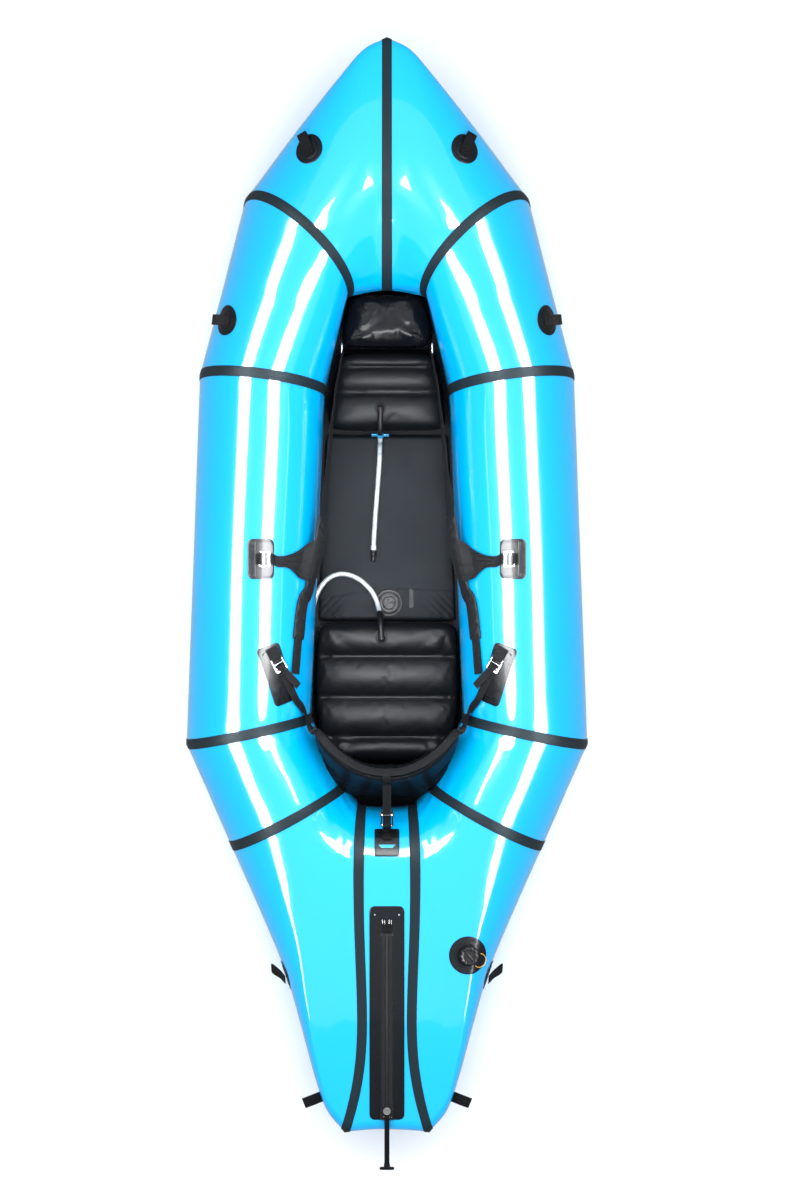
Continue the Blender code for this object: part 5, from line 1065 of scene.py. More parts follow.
@dataclass
class Hull:
    """The inflated hull: panels of coated cloth, the tapes over their seams, and the floor under them."""

    around: int = 144
    rows: dict = field(default_factory=lambda: {"bow": 84, "shoulder": 40, "side": 96, "hip": 40, "quarter": 96,
                                                "deck": 40})
    waves: tuple = ((17, 0.45), (29, 0.35), (41, 0.22), (67, 0.12))
    pucker: float = 0.0016
    pucker_reach: float = 0.085
    swell: float = 0.0005
    skin: float = 0.0006
    floor: float = 0.0012
    tape_rows: int = 260
    tape_columns: int = 13
    grids: dict = field(default_factory=dict)

    def surfaces(self) -> dict:
        """Return each panel's skin on the right side, and the deck's."""
        return {
            "bow": TubeSurface(BOW_SECTIONS, **BOW_TIP),
            "shoulder": TubeSurface([BOW_SECTIONS[-1], SHOULDER_SECTION]),
            "side": TubeSurface([SHOULDER_SECTION, HIP_SECTION]),
            "hip": TubeSurface([HIP_SECTION, QUARTER_SECTION]),
            "quarter": TubeSurface(STERN_SECTIONS, **STERN_TIP),
            "deck": TubeSurface(DECK_SECTIONS, **STERN_TIP),
        }

    def places(self, rows: int) -> Array:
        """Return shares along a panel that crowd towards both seams: t - 0.06 sin(2 pi t)."""
        share = np.linspace(0, 1, rows)
        return share - 0.06 * np.sin(math.tau * share)

    def turns(self) -> Array:
        """Return the turns round a section."""
        return np.arange(self.around + 1) / self.around

    def slack(self, name: str, points: Array, along: Array, turn: Array) -> Array:
        """Return how far the cloth stands out or in at each point.

        Near each seam the cloth puckers: waves along the seam, each with its own width and height, that grow
        from nothing at the seam to their height 20 mm off and die away over the pucker's reach, and that are
        deepest on the cockpit's side, where the mitre gathers the cloth. Far from the seams a slow swell stays.
        """
        seed = sum(ord(letter) for letter in name)
        angle = math.tau * turn[None, :]
        run = distances(points)
        total = run[-1:]
        out = np.zeros(points.shape[:2])
        gather = 0.2 + 0.8 * (0.5 + 0.5 * np.cos(angle)) ** 2
        for end, distance in enumerate((run, total - run)):
            wave = np.zeros_like(out)
            for k, (count, weight) in enumerate(self.waves):
                phase = 1.7 * seed + 2.3 * k + 4.1 * end
                bend = 0.6 * np.sin(3 * angle + phase) + 0.35 * np.sin(7 * angle + 2 * phase)
                wave = wave + weight * np.sin(count * angle + phase + bend * 2)
            fade = step(0.006, 0.026, distance) * np.exp(-np.maximum(distance - 0.02, 0) / (self.pucker_reach * 0.42))
            out = out + self.pucker * gather * wave * fade
        swell = np.sin(2.1 * angle + seed) * np.sin(3.1 * along[:, None] * math.pi + seed)
        return out + self.swell * swell * step(0.02, 0.08, np.minimum(run, total - run))

    def grid_of(self, name: str, surface: TubeSurface) -> Array:
        """Return a panel's grid of points, with its slack along the outward normal."""
        along, turn = self.places(self.rows[name]), self.turns()
        points = surface.at(along, turn)
        square = unit(np.cross(np.gradient(points, axis=1), np.gradient(points, axis=0)))
        square[:, 0] = square[:, -1] = unit(square[:, 0] + square[:, -1])
        middle = points.mean(axis=1, keepdims=True)
        if np.sum(square * (points - middle)) < 0:
            square = -square
        moved = points + square * self.slack(name, points, along, turn)[..., None]
        moved[:, -1] = moved[:, 0]
        return moved

    def build_panels(self) -> None:
        """Build the panels of both sides, with the cloth's thickness inwards."""
        for name, surface in self.surfaces().items():
            points = self.grid_of(name, surface)
            if name == "deck":
                self.grids["deck"] = points
                self.panel("stern_deck_panel", points)
                continue
            for word, side in SIDES:
                placed = points * np.array([side, 1.0, 1.0])
                self.grids[f"{name}_{word}"] = placed
                self.panel(f"{name}_panel_{word}", placed)

    def panel(self, node: str, points: Array) -> None:
        """Make one panel's object over its node."""
        made = put("hull", grid(points[:, :-1], around=True), f"{node}_cloth", node, sharp=60.0)
        self.wall(made, self.skin, -1)

    def wall(self, made: bpy.types.Object, thickness: float, offset: int) -> None:
        """Give an open surface a thickness, outwards where the offset is 1 and inwards where it is -1."""
        wall = made.modifiers.new("wall", "SOLIDIFY")
        wall.thickness, wall.offset = thickness, offset

    def ground(self) -> Ground:
        """Return the skins of all panels, to lay fittings on."""
        return Ground.of(self.grids.values())

    def seam_strip(self, first: Array, second: Array, tape: SeamTape, first_turn: float, last_turn: float) -> Array:
        """Return the tape's points.

        Args:
            first: The grid of the panel before the seam, its last row on the seam.
            second: The grid of the panel after it, its first row on the seam.
            tape: The tape's sizes.
            first_turn: Where it starts round the section.
            last_turn: Where it ends.

        Returns:
            Columns across the tape on both panels, by distance along each panel's rows from the seam, over
            the turns between the two ends, lifted along the skins' normals.
        """
        turn = np.linspace(first_turn, last_turn, self.tape_rows)
        share = np.linspace(-1, 1, self.tape_columns)
        strip = []
        for distance in share * tape.width / 2:
            rows = first[::-1] if distance < 0 else second
            run = distances(rows)
            low = np.clip((run < abs(distance)).sum(axis=0) - 1, 0, len(rows) - 2)
            pick = np.arange(rows.shape[1])
            part = (abs(distance) - run[low, pick]) / (run[low + 1, pick] - run[low, pick])
            line = rows[low, pick] + (rows[low + 1, pick] - rows[low, pick]) * part[:, None]
            places = np.linspace(0, 1, rows.shape[1])
            strip.append(at_marks(turn % 1, places, line))
        strip = np.stack(strip, axis=1)
        square = unit(np.cross(np.gradient(strip, axis=0), np.gradient(strip, axis=1)))
        middle = strip.mean(axis=0, keepdims=True)
        square = square * np.sign(np.sum(square * (strip - middle)))
        edge = 1 - 0.5 * (np.abs(share) > 0.97)
        return strip + square * tape.gap * edge[None, :, None]

    def build_tapes(self) -> None:
        """Build the tapes over the seams."""
        start, end = -0.25 + 1 / 24, 0.75 - 1 / 24
        seams = [SeamTape("bow_shoulder_tape", "bow", "shoulder"), SeamTape("shoulder_tape", "shoulder", "side"),
                 SeamTape("side_tape", "side", "hip"), SeamTape("hip_tape", "hip", "quarter"),
                 SeamTape("stern_tape", "quarter", "deck")]
        for tape in seams:
            for word, side in SIDES:
                before = self.grids[f"{tape.before}_{word}"]
                if tape.after == "deck":
                    after = self.grids["deck"][::-1] if side > 0 else self.grids["deck"]
                else:
                    after = self.grids[f"{tape.after}_{word}"]
                strip = self.seam_strip(before, after, tape, start, end)
                self.tape_piece(f"{tape.name}_{word}", strip, tape)
        bow = SeamTape("bow_centre_tape", "bow", "bow")
        strip = self.seam_strip(self.grids["bow_left"][::-1], self.grids["bow_right"], bow, start, end)
        self.tape_piece(bow.name, strip, bow)

    def tape_piece(self, node: str, strip: Array, tape: SeamTape) -> None:
        """Make one tape's object, its faces away from the tube's middle, with its thickness outwards."""
        shell = grid(strip)
        middle = strip.mean(axis=(0, 1))
        corner = strip[1:, 1:] - strip[:-1, :-1]
        face = np.cross(strip[:-1, 1:] - strip[:-1, :-1], corner)
        if np.sum(face * (strip[:-1, :-1] - middle)) < 0:
            shell.faces = shell.faces[:, ::-1]
        self.wall(put("tape", shell, f"{node}_film", node, sharp=60.0, outwards=False), tape.thickness, 1)

    def build_floor(self) -> None:
        """Build the floor sheet: flat amidships, and up with the bow tubes ahead of the foot rest."""
        edge = np.array(FLOOR_EDGE)
        share = np.linspace(-1, 1, 25)
        keys = np.concatenate([np.repeat(edge[:-1], 6, axis=0) + (np.repeat(np.diff(edge, axis=0), 6, axis=0)
                               * np.tile(np.arange(6) / 6, len(edge) - 1)[:, None]), edge[-1:]])
        points = keys[:, None] * np.stack([share, np.ones(25), np.ones(25)], axis=1)
        top = points + np.array([0, 0, self.floor])
        both = np.concatenate([points, top[:, ::-1]], axis=1)
        put("floor", grid(both, around=True, ends=True), "floor_cloth", "floor_sheet")


def folded(points: Sequence, count: int, frame: Array, width: float, thickness: float) -> Shell:
    """Return a strap folded in its frame's XZ plane.

    Args:
        points: Its underside's path as (x, z).
        count: Points along it.
        frame: The place that it is sewn to.
        width: Across.
        thickness: Of the webbing.

    Returns:
        The strap. Its face looks along the path's tangent turned a quarter up.
    """
    line = smooth(points, count)
    ahead = unit(np.gradient(line, axis=0))
    path = np.stack([line[:, 0], np.zeros(count), line[:, 1]], axis=1)
    face = np.stack([-ahead[:, 1], np.zeros(count), ahead[:, 0]], axis=1)
    return strap(path, face, width, thickness).moved(frame)


def double_row(path: Array, normals: Array, across: float, rise: float) -> list:
    """Return a row of stitches on each side of a path, at a distance across and a rise over it."""
    return [beads(beside(path, normals, side * across, rise), normals) for side in (-1, 1)]


def cross_row(place: Array, side: Array, up: Array, rise: float) -> Shell:
    """Return a 17 mm row of stitches across a strap, at a rise over a place on it."""
    line = place + np.linspace(-0.0085, 0.0085, 9)[:, None] * side + up * rise
    return beads(line, np.tile(up, (9, 1)))


def box_stitch(low: float, high: float, half: float) -> list:
    """Return a box stitch's lines in plan: its four sides and its two diagonals."""
    corners = ((low, -half), (low, half), (high, half), (high, -half))
    return [(corners[a], corners[b]) for a, b in ((0, 1), (1, 2), (2, 3), (3, 0), (0, 2), (1, 3))]


def sewn(lines: Iterable, height: float, count: int = 8, **extra: float) -> Shell:
    """Return stitches along lines in plan, at a height, each line looked up at a count of places."""
    up = np.tile(UPWARDS, (count, 1))
    return joined([beads(raised(np.linspace(*line, count), height), up, **extra) for line in lines])


@dataclass
class TieDown:
    """A round patch welded on the hull with a folded webbing loop sewn to it."""

    name: str
    x: float
    y: float
    heading: tuple
    radius: float = 0.035
    inner_radius: float = 0.0235
    thickness: float = 0.0012
    width: float = 0.024
    webbing: float = 0.0016
    reach: float = 0.04

    def patch(self, ground: Ground, frame: Array) -> Shell:
        """Return the patch with its second round layer, which carries the loop's foot."""
        circle = np.stack(ring_of(72), axis=1)
        lower = slab(circle * self.radius, self.thickness, 0.0005).moved(shift(z=self.thickness / 2))
        upper = slab(circle * self.inner_radius, 0.0012, 0.0005).moved(shift(z=self.thickness + 0.0004))
        return ground.draped(lower, frame) + ground.draped(upper, frame)

    def loop(self, frame: Array) -> Shell:
        """Return the loop: up from its foot on the patch, out, round and back on itself."""
        r = self.reach
        base = 0.0022
        route = [(-0.015, base), (-0.006, base), (0.003, base + 0.0002), (0.3 * r, base + 0.001),
                 (0.62 * r, base + 0.003), (0.88 * r, base + 0.005), (0.99 * r, base + 0.0074),
                 (0.985 * r, base + 0.0098), (0.9 * r, base + 0.0106), (0.64 * r, base + 0.0092),
                 (0.34 * r, base + 0.005), (0.004, base + 0.0026), (-0.006, base + 0.002),
                 (-0.014, base + 0.0019)]
        return folded(route, 90, frame, self.width, self.webbing)

    def sewing(self, frame: Array) -> Shell:
        """Return the box stitch on the loop's foot."""
        return sewn(box_stitch(-0.012, 0.003, self.width / 2 - 0.003), 0.0058, proud=0.0001).moved(frame)

    def build(self, ground: Ground) -> None:
        """Build it on both sides."""
        frame = ground.seat(self.x, self.y, self.heading)
        pair("patch", self.patch(ground, frame), f"{self.name}_patch", self.name)
        pair("webbing", self.loop(frame), f"{self.name}_loop")
        pair("thread", self.sewing(frame), f"{self.name}_sewing")


@dataclass
class SternLoops:
    """The two webbing loops sewn under the stern tapes, which reach out past the hull's sides."""

    width: float = 0.024
    thickness: float = 0.0016

    def build(self) -> None:
        """Build them: flat under the tube from the seam tape, out past its side, round and back on top."""
        under = [(0.08, -1.163, 0.1868), (0.0883, -1.163, 0.187), (0.1087, -1.163, 0.1898),
                 (0.1263, -1.163, 0.1932), (0.138, -1.164, 0.1966), (0.152, -1.169, 0.1985),
                 (0.17, -1.176, 0.1982), (0.183, -1.181, 0.1982), (0.1886, -1.183, 0.2008),
                 (0.1888, -1.183, 0.204), (0.184, -1.181, 0.2066), (0.17, -1.176, 0.207),
                 (0.156, -1.17, 0.2052), (0.15, -1.168, 0.203)]
        path = smooth(under, 90)
        side = unit(np.array((-0.38, -0.92, 0.0)))
        ahead = unit(np.gradient(path, axis=0))
        face = unit(np.cross(ahead, side))
        loop = strap(path, face, self.width, self.thickness)
        pair("webbing", loop, "stern_loop")


@dataclass
class AirValve:
    """The main valve: a round welded patch, the valve's body, a screw cap with scallops, and a leash."""

    place: tuple = (0.185, -0.8425, 0.2733)
    ahead: tuple = (0.2952, -0.9509, -0.093)
    up: tuple = (0.1163, -0.0609, 0.9914)
    patch_radius: float = 0.0435
    ring_radius: float = 0.031
    cap_radius: float = 0.0225
    leash_diameter: float = 0.0018

    def frame(self) -> Array:
        """Return the valve's own frame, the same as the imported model's."""
        return standing(self.ahead, unit(self.up), self.place)

    def build(self, ground: Ground) -> None:
        """Build the patch, body, cap and leash."""
        frame = self.frame()
        circle = np.stack(ring_of(96), axis=1)
        patch = ground.draped(slab(circle * self.patch_radius, *LAYER).moved(shift(z=0.0006)), frame)
        ring = ground.draped(slab(circle * self.ring_radius, 0.001, 0.0005, 12).moved(shift(z=0.0015)), frame)
        put("patch", patch + ring, "valve_patch", "valve_base")
        body = turned([(0.011, 0.0058), (0.011, 0.018), (0.0118, 0.0188), (0.0157, 0.0188), (0.0162, 0.0182),
                       (0.0162, 0.0062), (0.0205, 0.006), (0.0236, 0.0052), (0.0248, 0.0036), (0.0252, 0.0014),
                       (0.0248, 0.001), (0.0, 0.001), (0.0, 0.0058)], 64)
        put("plastic", body.moved(frame), "valve_body")
        self.cap(frame)
        self.leash(ground, frame)

    def cap(self, frame: Array) -> None:
        """Build the cap: a skirt with ten deep scallops, a dished top and a grip bar across it."""
        r = self.cap_radius
        skirt = turned([(0.017, 0.0066), (0.017, 0.0184), (0.0, 0.0184), (0.0, 0.0203), (0.3 * r, 0.0203),
                        (0.62 * r, 0.02), (0.7 * r, 0.0206), (0.78 * r, 0.0214), (0.86 * r, 0.0215),
                        (0.945 * r, 0.0208), (0.985 * r, 0.0194), (r, 0.0172), (r, 0.009), (0.985 * r, 0.007),
                        (0.95 * r, 0.0064), (0.017, 0.0064)], 160, 10, 0.0026, range(7, 15))
        bar = block((0.028, 0.0052, 0.0034), 0.0014, shift(z=0.0209) @ spin(24))
        dots = [block((0.0022, 0.0022, 0.0012), 0.0005, spin(36 * k + 18) @ shift(x=0.0178, z=0.0213))
                for k in range(10)]
        put("gloss", joined([skirt, bar, *dots]).moved(frame), "valve_cap_screw", "valve_cap",
            body="valve_cap")

    def leash(self, ground: Ground, frame: Array) -> None:
        """Build the leash: a cord from the flange out over the patch and back, in one open spline."""
        route = np.array([(0.004, 0.0268, 0.0034), (0.006, 0.03, 0.002), (0.01, 0.0336, 0.0006),
                          (0.016, 0.0362, 0.0), (0.0224, 0.0364, 0.0), (0.0284, 0.0338, 0.0),
                          (0.0328, 0.0286, 0.0), (0.0346, 0.022, 0.0), (0.0338, 0.0152, 0.0006),
                          (0.0306, 0.0098, 0.002), (0.0268, 0.007, 0.0034)])
        over = carried(route * np.array([1, 1, 0]), frame)
        place, normal = ground.near(frame[:3, 3], 0.09).under(over, -frame[:3, 2])
        radius = self.leash_diameter / 2
        path = smooth(place + normal * (route[:, 2:] + 0.0021 + radius), 60)
        cord = put("cord", tube(path, radius, 10, up=frame[:3, 2]), "valve_leash_cord", "valve_leash")


@dataclass
class CargoZip:
    """The stern zipper: its welded strip, the coated chain, the dock, the slider and the pull."""

    start: tuple = (0.0, -1.2186, 0.259)
    ahead: tuple = (0.0, 0.9983, 0.0577)
    length: float = 0.49
    width: float = 0.08
    corner: float = 0.012
    chain_width: float = 0.029
    chain_end: float = 0.42
    pitch: float = 0.0026
    pin: float = 0.0132

    def frame(self) -> Array:
        """Return the deck line's frame: origin at its stern end, Y towards the bow, Z out of the deck."""
        ahead = unit(self.ahead)
        return framed(ACROSS, ahead, np.cross(ACROSS, ahead), self.start)

    def height(self, x: Array, y: Array) -> Array:
        """Return the chain's height over its strip.

        Each side has a band of coated coil: a hump whose ribs are a smooth wave along the zip, faded out at
        its edges. Between them runs a round bead with a groove down its middle, and past the chain's ends
        all of it sinks into the strip.
        """
        across = np.abs(x)
        band = step(0.0034, 0.0048, across) * (1 - step(0.0118, 0.0135, across))
        phase = np.where(x > 0, 0.0, math.pi)
        ribs = 0.5 + 0.5 * np.cos(math.tau * y / self.pitch + phase)
        bead = np.sqrt(np.maximum(1 - (across / 0.003) ** 2, 0))
        groove = np.exp(-(x / 0.0005) ** 2)
        live = step(0.0, 0.006, y - 0.01) * (1 - step(0.0, 0.004, y - self.chain_end))
        return live * (band * (0.0016 + 0.0009 * ribs ** 0.7) + bead * 0.0024 - groove * 0.0008)

    def build(self, ground: Ground) -> None:
        """Build all of the zip."""
        frame = self.frame()
        middle = shift(y=self.length / 2)
        base = plate((self.width, self.length, self.corner, 160), (0.0015, 0.0006, 14), z=0.0008)
        base = ground.draped(base, frame @ middle, cells=(17, 61))
        put("patch", base, "zip_strip_film", "zip_strip")
        x = np.linspace(-self.chain_width / 2, self.chain_width / 2, 43)
        y = np.linspace(0.004, self.chain_end + 0.008, 1000)
        gx, gy = np.meshgrid(x, y)
        rim = 1 - np.abs(gx / (self.chain_width / 2)) ** 24
        high = 0.0004 + self.height(gx, gy) + 0.0007 * rim
        top = np.stack([gx, gy - self.length / 2, high], axis=-1)
        chain = grid(top, flat=np.stack([gy, gx], axis=-1))
        chain = ground.draped(chain, frame @ middle, 0.0012, (9, 61))
        put("chain", chain, "zip_chain", sharp=180, outwards=False)
        self.ends(frame)
        self.slider(frame)
        self.pull(frame)

    def ends(self, frame: Array) -> None:
        """Build the dock that the slider closes against, its four prongs, and the two studs by the corners."""
        dock = (block((0.02, 0.015, 0.0052), 0.0014, shift(y=0.436, z=0.0046))
                + block((0.024, 0.004, 0.004), 0.0012, shift(y=0.4455, z=0.0042))
                + block((0.012, 0.008, 0.0016), 0.0006, shift(y=0.435, z=0.0076)))
        put("plastic", dock.moved(frame), "zip_dock")
        prongs = [capsule((x, 0.45, 0.0036), (x, 0.458, 0.0032), 0.0009)
                  for x in (-0.0103, -0.005, 0.005, 0.0103)]
        studs = [turned([(0.0, 0.0012), (0.0022, 0.0014), (0.0024, 0.0022), (0.0018, 0.0032), (0.0, 0.0036)], 24)
                 .moved(shift(x, 0.47)) for x in (-0.0276, 0.0276)]
        put("metal", joined(prongs + studs).moved(frame @ shift(z=0.0004)), "zip_prongs")

    def slider(self, frame: Array) -> None:
        """Build the slider: two shoulders over the chain, a bridge, a plain round plate, and the pin's ears."""
        body = joined([block(size, edge, shift(*place)) for size, edge, place in (
            ((0.0326, 0.029, 0.003), 0.0012, (0.0, 0.015, 0.0084)),
            ((0.003, 0.028, 0.006), 0.0012, (0.0148, 0.015, 0.0062)),
            ((0.003, 0.028, 0.006), 0.0012, (-0.0148, 0.015, 0.0062)),
            ((0.02, 0.01, 0.0022), 0.0009, (0.0, 0.025, 0.01)),
            ((0.0026, 0.008, 0.0075), 0.001, (0.0078, 0.0075, 0.0122)),
            ((0.0026, 0.008, 0.0075), 0.001, (-0.0078, 0.0075, 0.0122)))])
        put("gloss", body.moved(frame), "zip_slider_body", "zip_slider", body="zip_slider")
        disc = turned([(0.0, 0.0102), (0.0078, 0.0102), (0.0084, 0.0106), (0.0084, 0.0112), (0.0076, 0.0118),
                       (0.0064, 0.0115), (0.0, 0.0117)], 48).moved(shift(y=0.0204))
        pin = capsule((-0.0084, 0.0075, self.pin), (0.0084, 0.0075, self.pin), 0.0015)
        put("metal", (disc + pin).moved(frame), "zip_slider_plate", body="zip_slider")

    def pull(self, frame: Array) -> None:
        """Build the pull: webbing folded round the pin, sewn, and a moulded T-bar at its end."""
        pin = frame @ shift(y=0.0075, z=self.pin)
        r = 0.0021
        angle = np.linspace(-0.5 * math.pi, 0.5 * math.pi, 12)
        wrap = np.stack([r * np.cos(angle), r * np.sin(angle)], axis=1)
        upper = np.array([(-0.006, 0.002), (-0.018, 0.0014), (-0.06, 0.0009), (-0.113, 0.0008)])
        lower = np.array([(-0.113, -0.0008), (-0.06, -0.0009), (-0.018, -0.0014), (-0.006, -0.002)])
        line = np.vstack([smooth(lower, 50), wrap, smooth(upper, 50)])
        path = np.stack([np.zeros(len(line)), line[:, 0], line[:, 1]], axis=1)
        ahead = unit(np.gradient(path, axis=0))
        face = np.cross(ACROSS, ahead)
        web = strap(path, face, 0.0116, 0.0009, columns=9)
        put("webbing", web.moved(pin), "zip_pull_webbing", "zip_pull", body="zip_pull")
        t = np.linspace(-1, 1, 33)
        path = np.stack([0.017 * t, np.full(33, -0.1175), np.zeros(33)], axis=1)
        reach = 0.004 * (1 - 0.12 * t ** 2) * np.sqrt(np.maximum(1 - np.abs(t) ** 14, 0.02))
        bar = tube(path, reach, 20) + block((0.014, 0.012, 0.0044), 0.0018, shift(y=-0.112))
        put("plastic", bar.moved(pin), "zip_pull_bar", body="zip_pull")
        rows = sewn([((-0.004, y), (0.004, y)) for y in (-0.012, -0.018, -0.102, -0.096)], 0.0017, 6,
                    pitch=0.002, length=0.0016, radius=0.0003)
        put("thread", rows.moved(pin), "zip_pull_sewing", body="zip_pull")


@dataclass
class KneePatch:
    """The knee patch: a welded patch with a welt, a fold, a webbing band and an open hook buckle of rod."""

    x: float = 0.2875
    y: float = 0.0625
    length: float = 0.092
    width: float = 0.06
    hook_inset: float = 0.008
    hook_rise: float = 0.0058
    rod: float = 0.0019

    def build(self, ground: Ground) -> Array:
        """Build it on both sides, and return the right hook's frame: X inboard, Z out of the hull."""
        frame = ground.seat(self.x, self.y, (-1.0, 0.0))
        base = plate((self.width, self.length, 0.012, 120), (0.0012, 0.0005, 10), z=0.0006)
        layer = plate((0.044, 0.082, 0.006, 120), (0.0012, 0.0005, 10), x=0.005, z=0.0016)
        fold = plate((0.01, 0.08, 0.004, 90), (0.0022, 0.0009, 8), x=-0.0215, z=0.002)
        film = joined([ground.draped(part, frame) for part in (base, layer, fold)])
        pair("patch", film, "knee_patch_film", "knee_patch")
        welt = tube(np.stack([np.full(40, -0.0132), np.linspace(-0.04, 0.04, 40), np.full(40, 0.0026)], axis=1),
                    0.0013, 10)
        pair("welt", ground.draped(welt, frame), "knee_patch_welt")
        hook = frame @ shift(x=self.hook_inset)
        self.band(hook)
        pair("metal", self.hook(hook), "knee_hook_rod", "knee_hook")
        return hook

    def band(self, frame: Array) -> None:
        """Build the webbing band that goes from the welt up and round the hook's outer bar and back under."""
        z, bar = self.hook_rise, -0.0117
        route = [(-0.0215, 0.0026), (-0.019, 0.0029), (-0.0165, 0.004), (-0.0145, z + 0.0018), (bar, z + 0.003),
                 (bar + 0.0024, z + 0.0016), (bar + 0.0028, z - 0.0005)]
        pair("webbing", folded(route, 40, frame, 0.0252, 0.0014), "knee_band")

    def hook(self, frame: Array) -> Shell:
        """Return the hook: one rod round three sides and back to an open end, and a bar across its middle."""
        low, high, side = -0.0117, 0.0117, 0.0168
        outer = [(low + 0.0005, -side), (0.0, -side), (high - 0.0035, -side), (high - 0.0008, -side + 0.001),
                 (high, -side + 0.004), (high, 0.0), (high, side - 0.004), (high - 0.0008, side - 0.001),
                 (high - 0.0035, side), (0.0, side), (low + 0.0035, side), (low + 0.0008, side - 0.001),
                 (low, side - 0.004), (low, 0.0), (low, -side + 0.0085)]
        line = smooth(outer, 150)
        path = raised(line, self.hook_rise)
        end = np.minimum(np.linspace(0, 1, 150), np.linspace(1, 0, 150)) * 40
        reach = self.rod * np.sqrt(np.clip(end * (2 - end), 0.02, 1) * (end < 1) + (end >= 1))
        bars = [capsule((x, -side, self.hook_rise), (x, side, self.hook_rise), radius)
                for x, radius in ((-0.0026, self.rod), (0.0068, self.rod * 0.85))]
        return joined([tube(path, reach, 14, squash=0.85), *bars]).moved(frame)


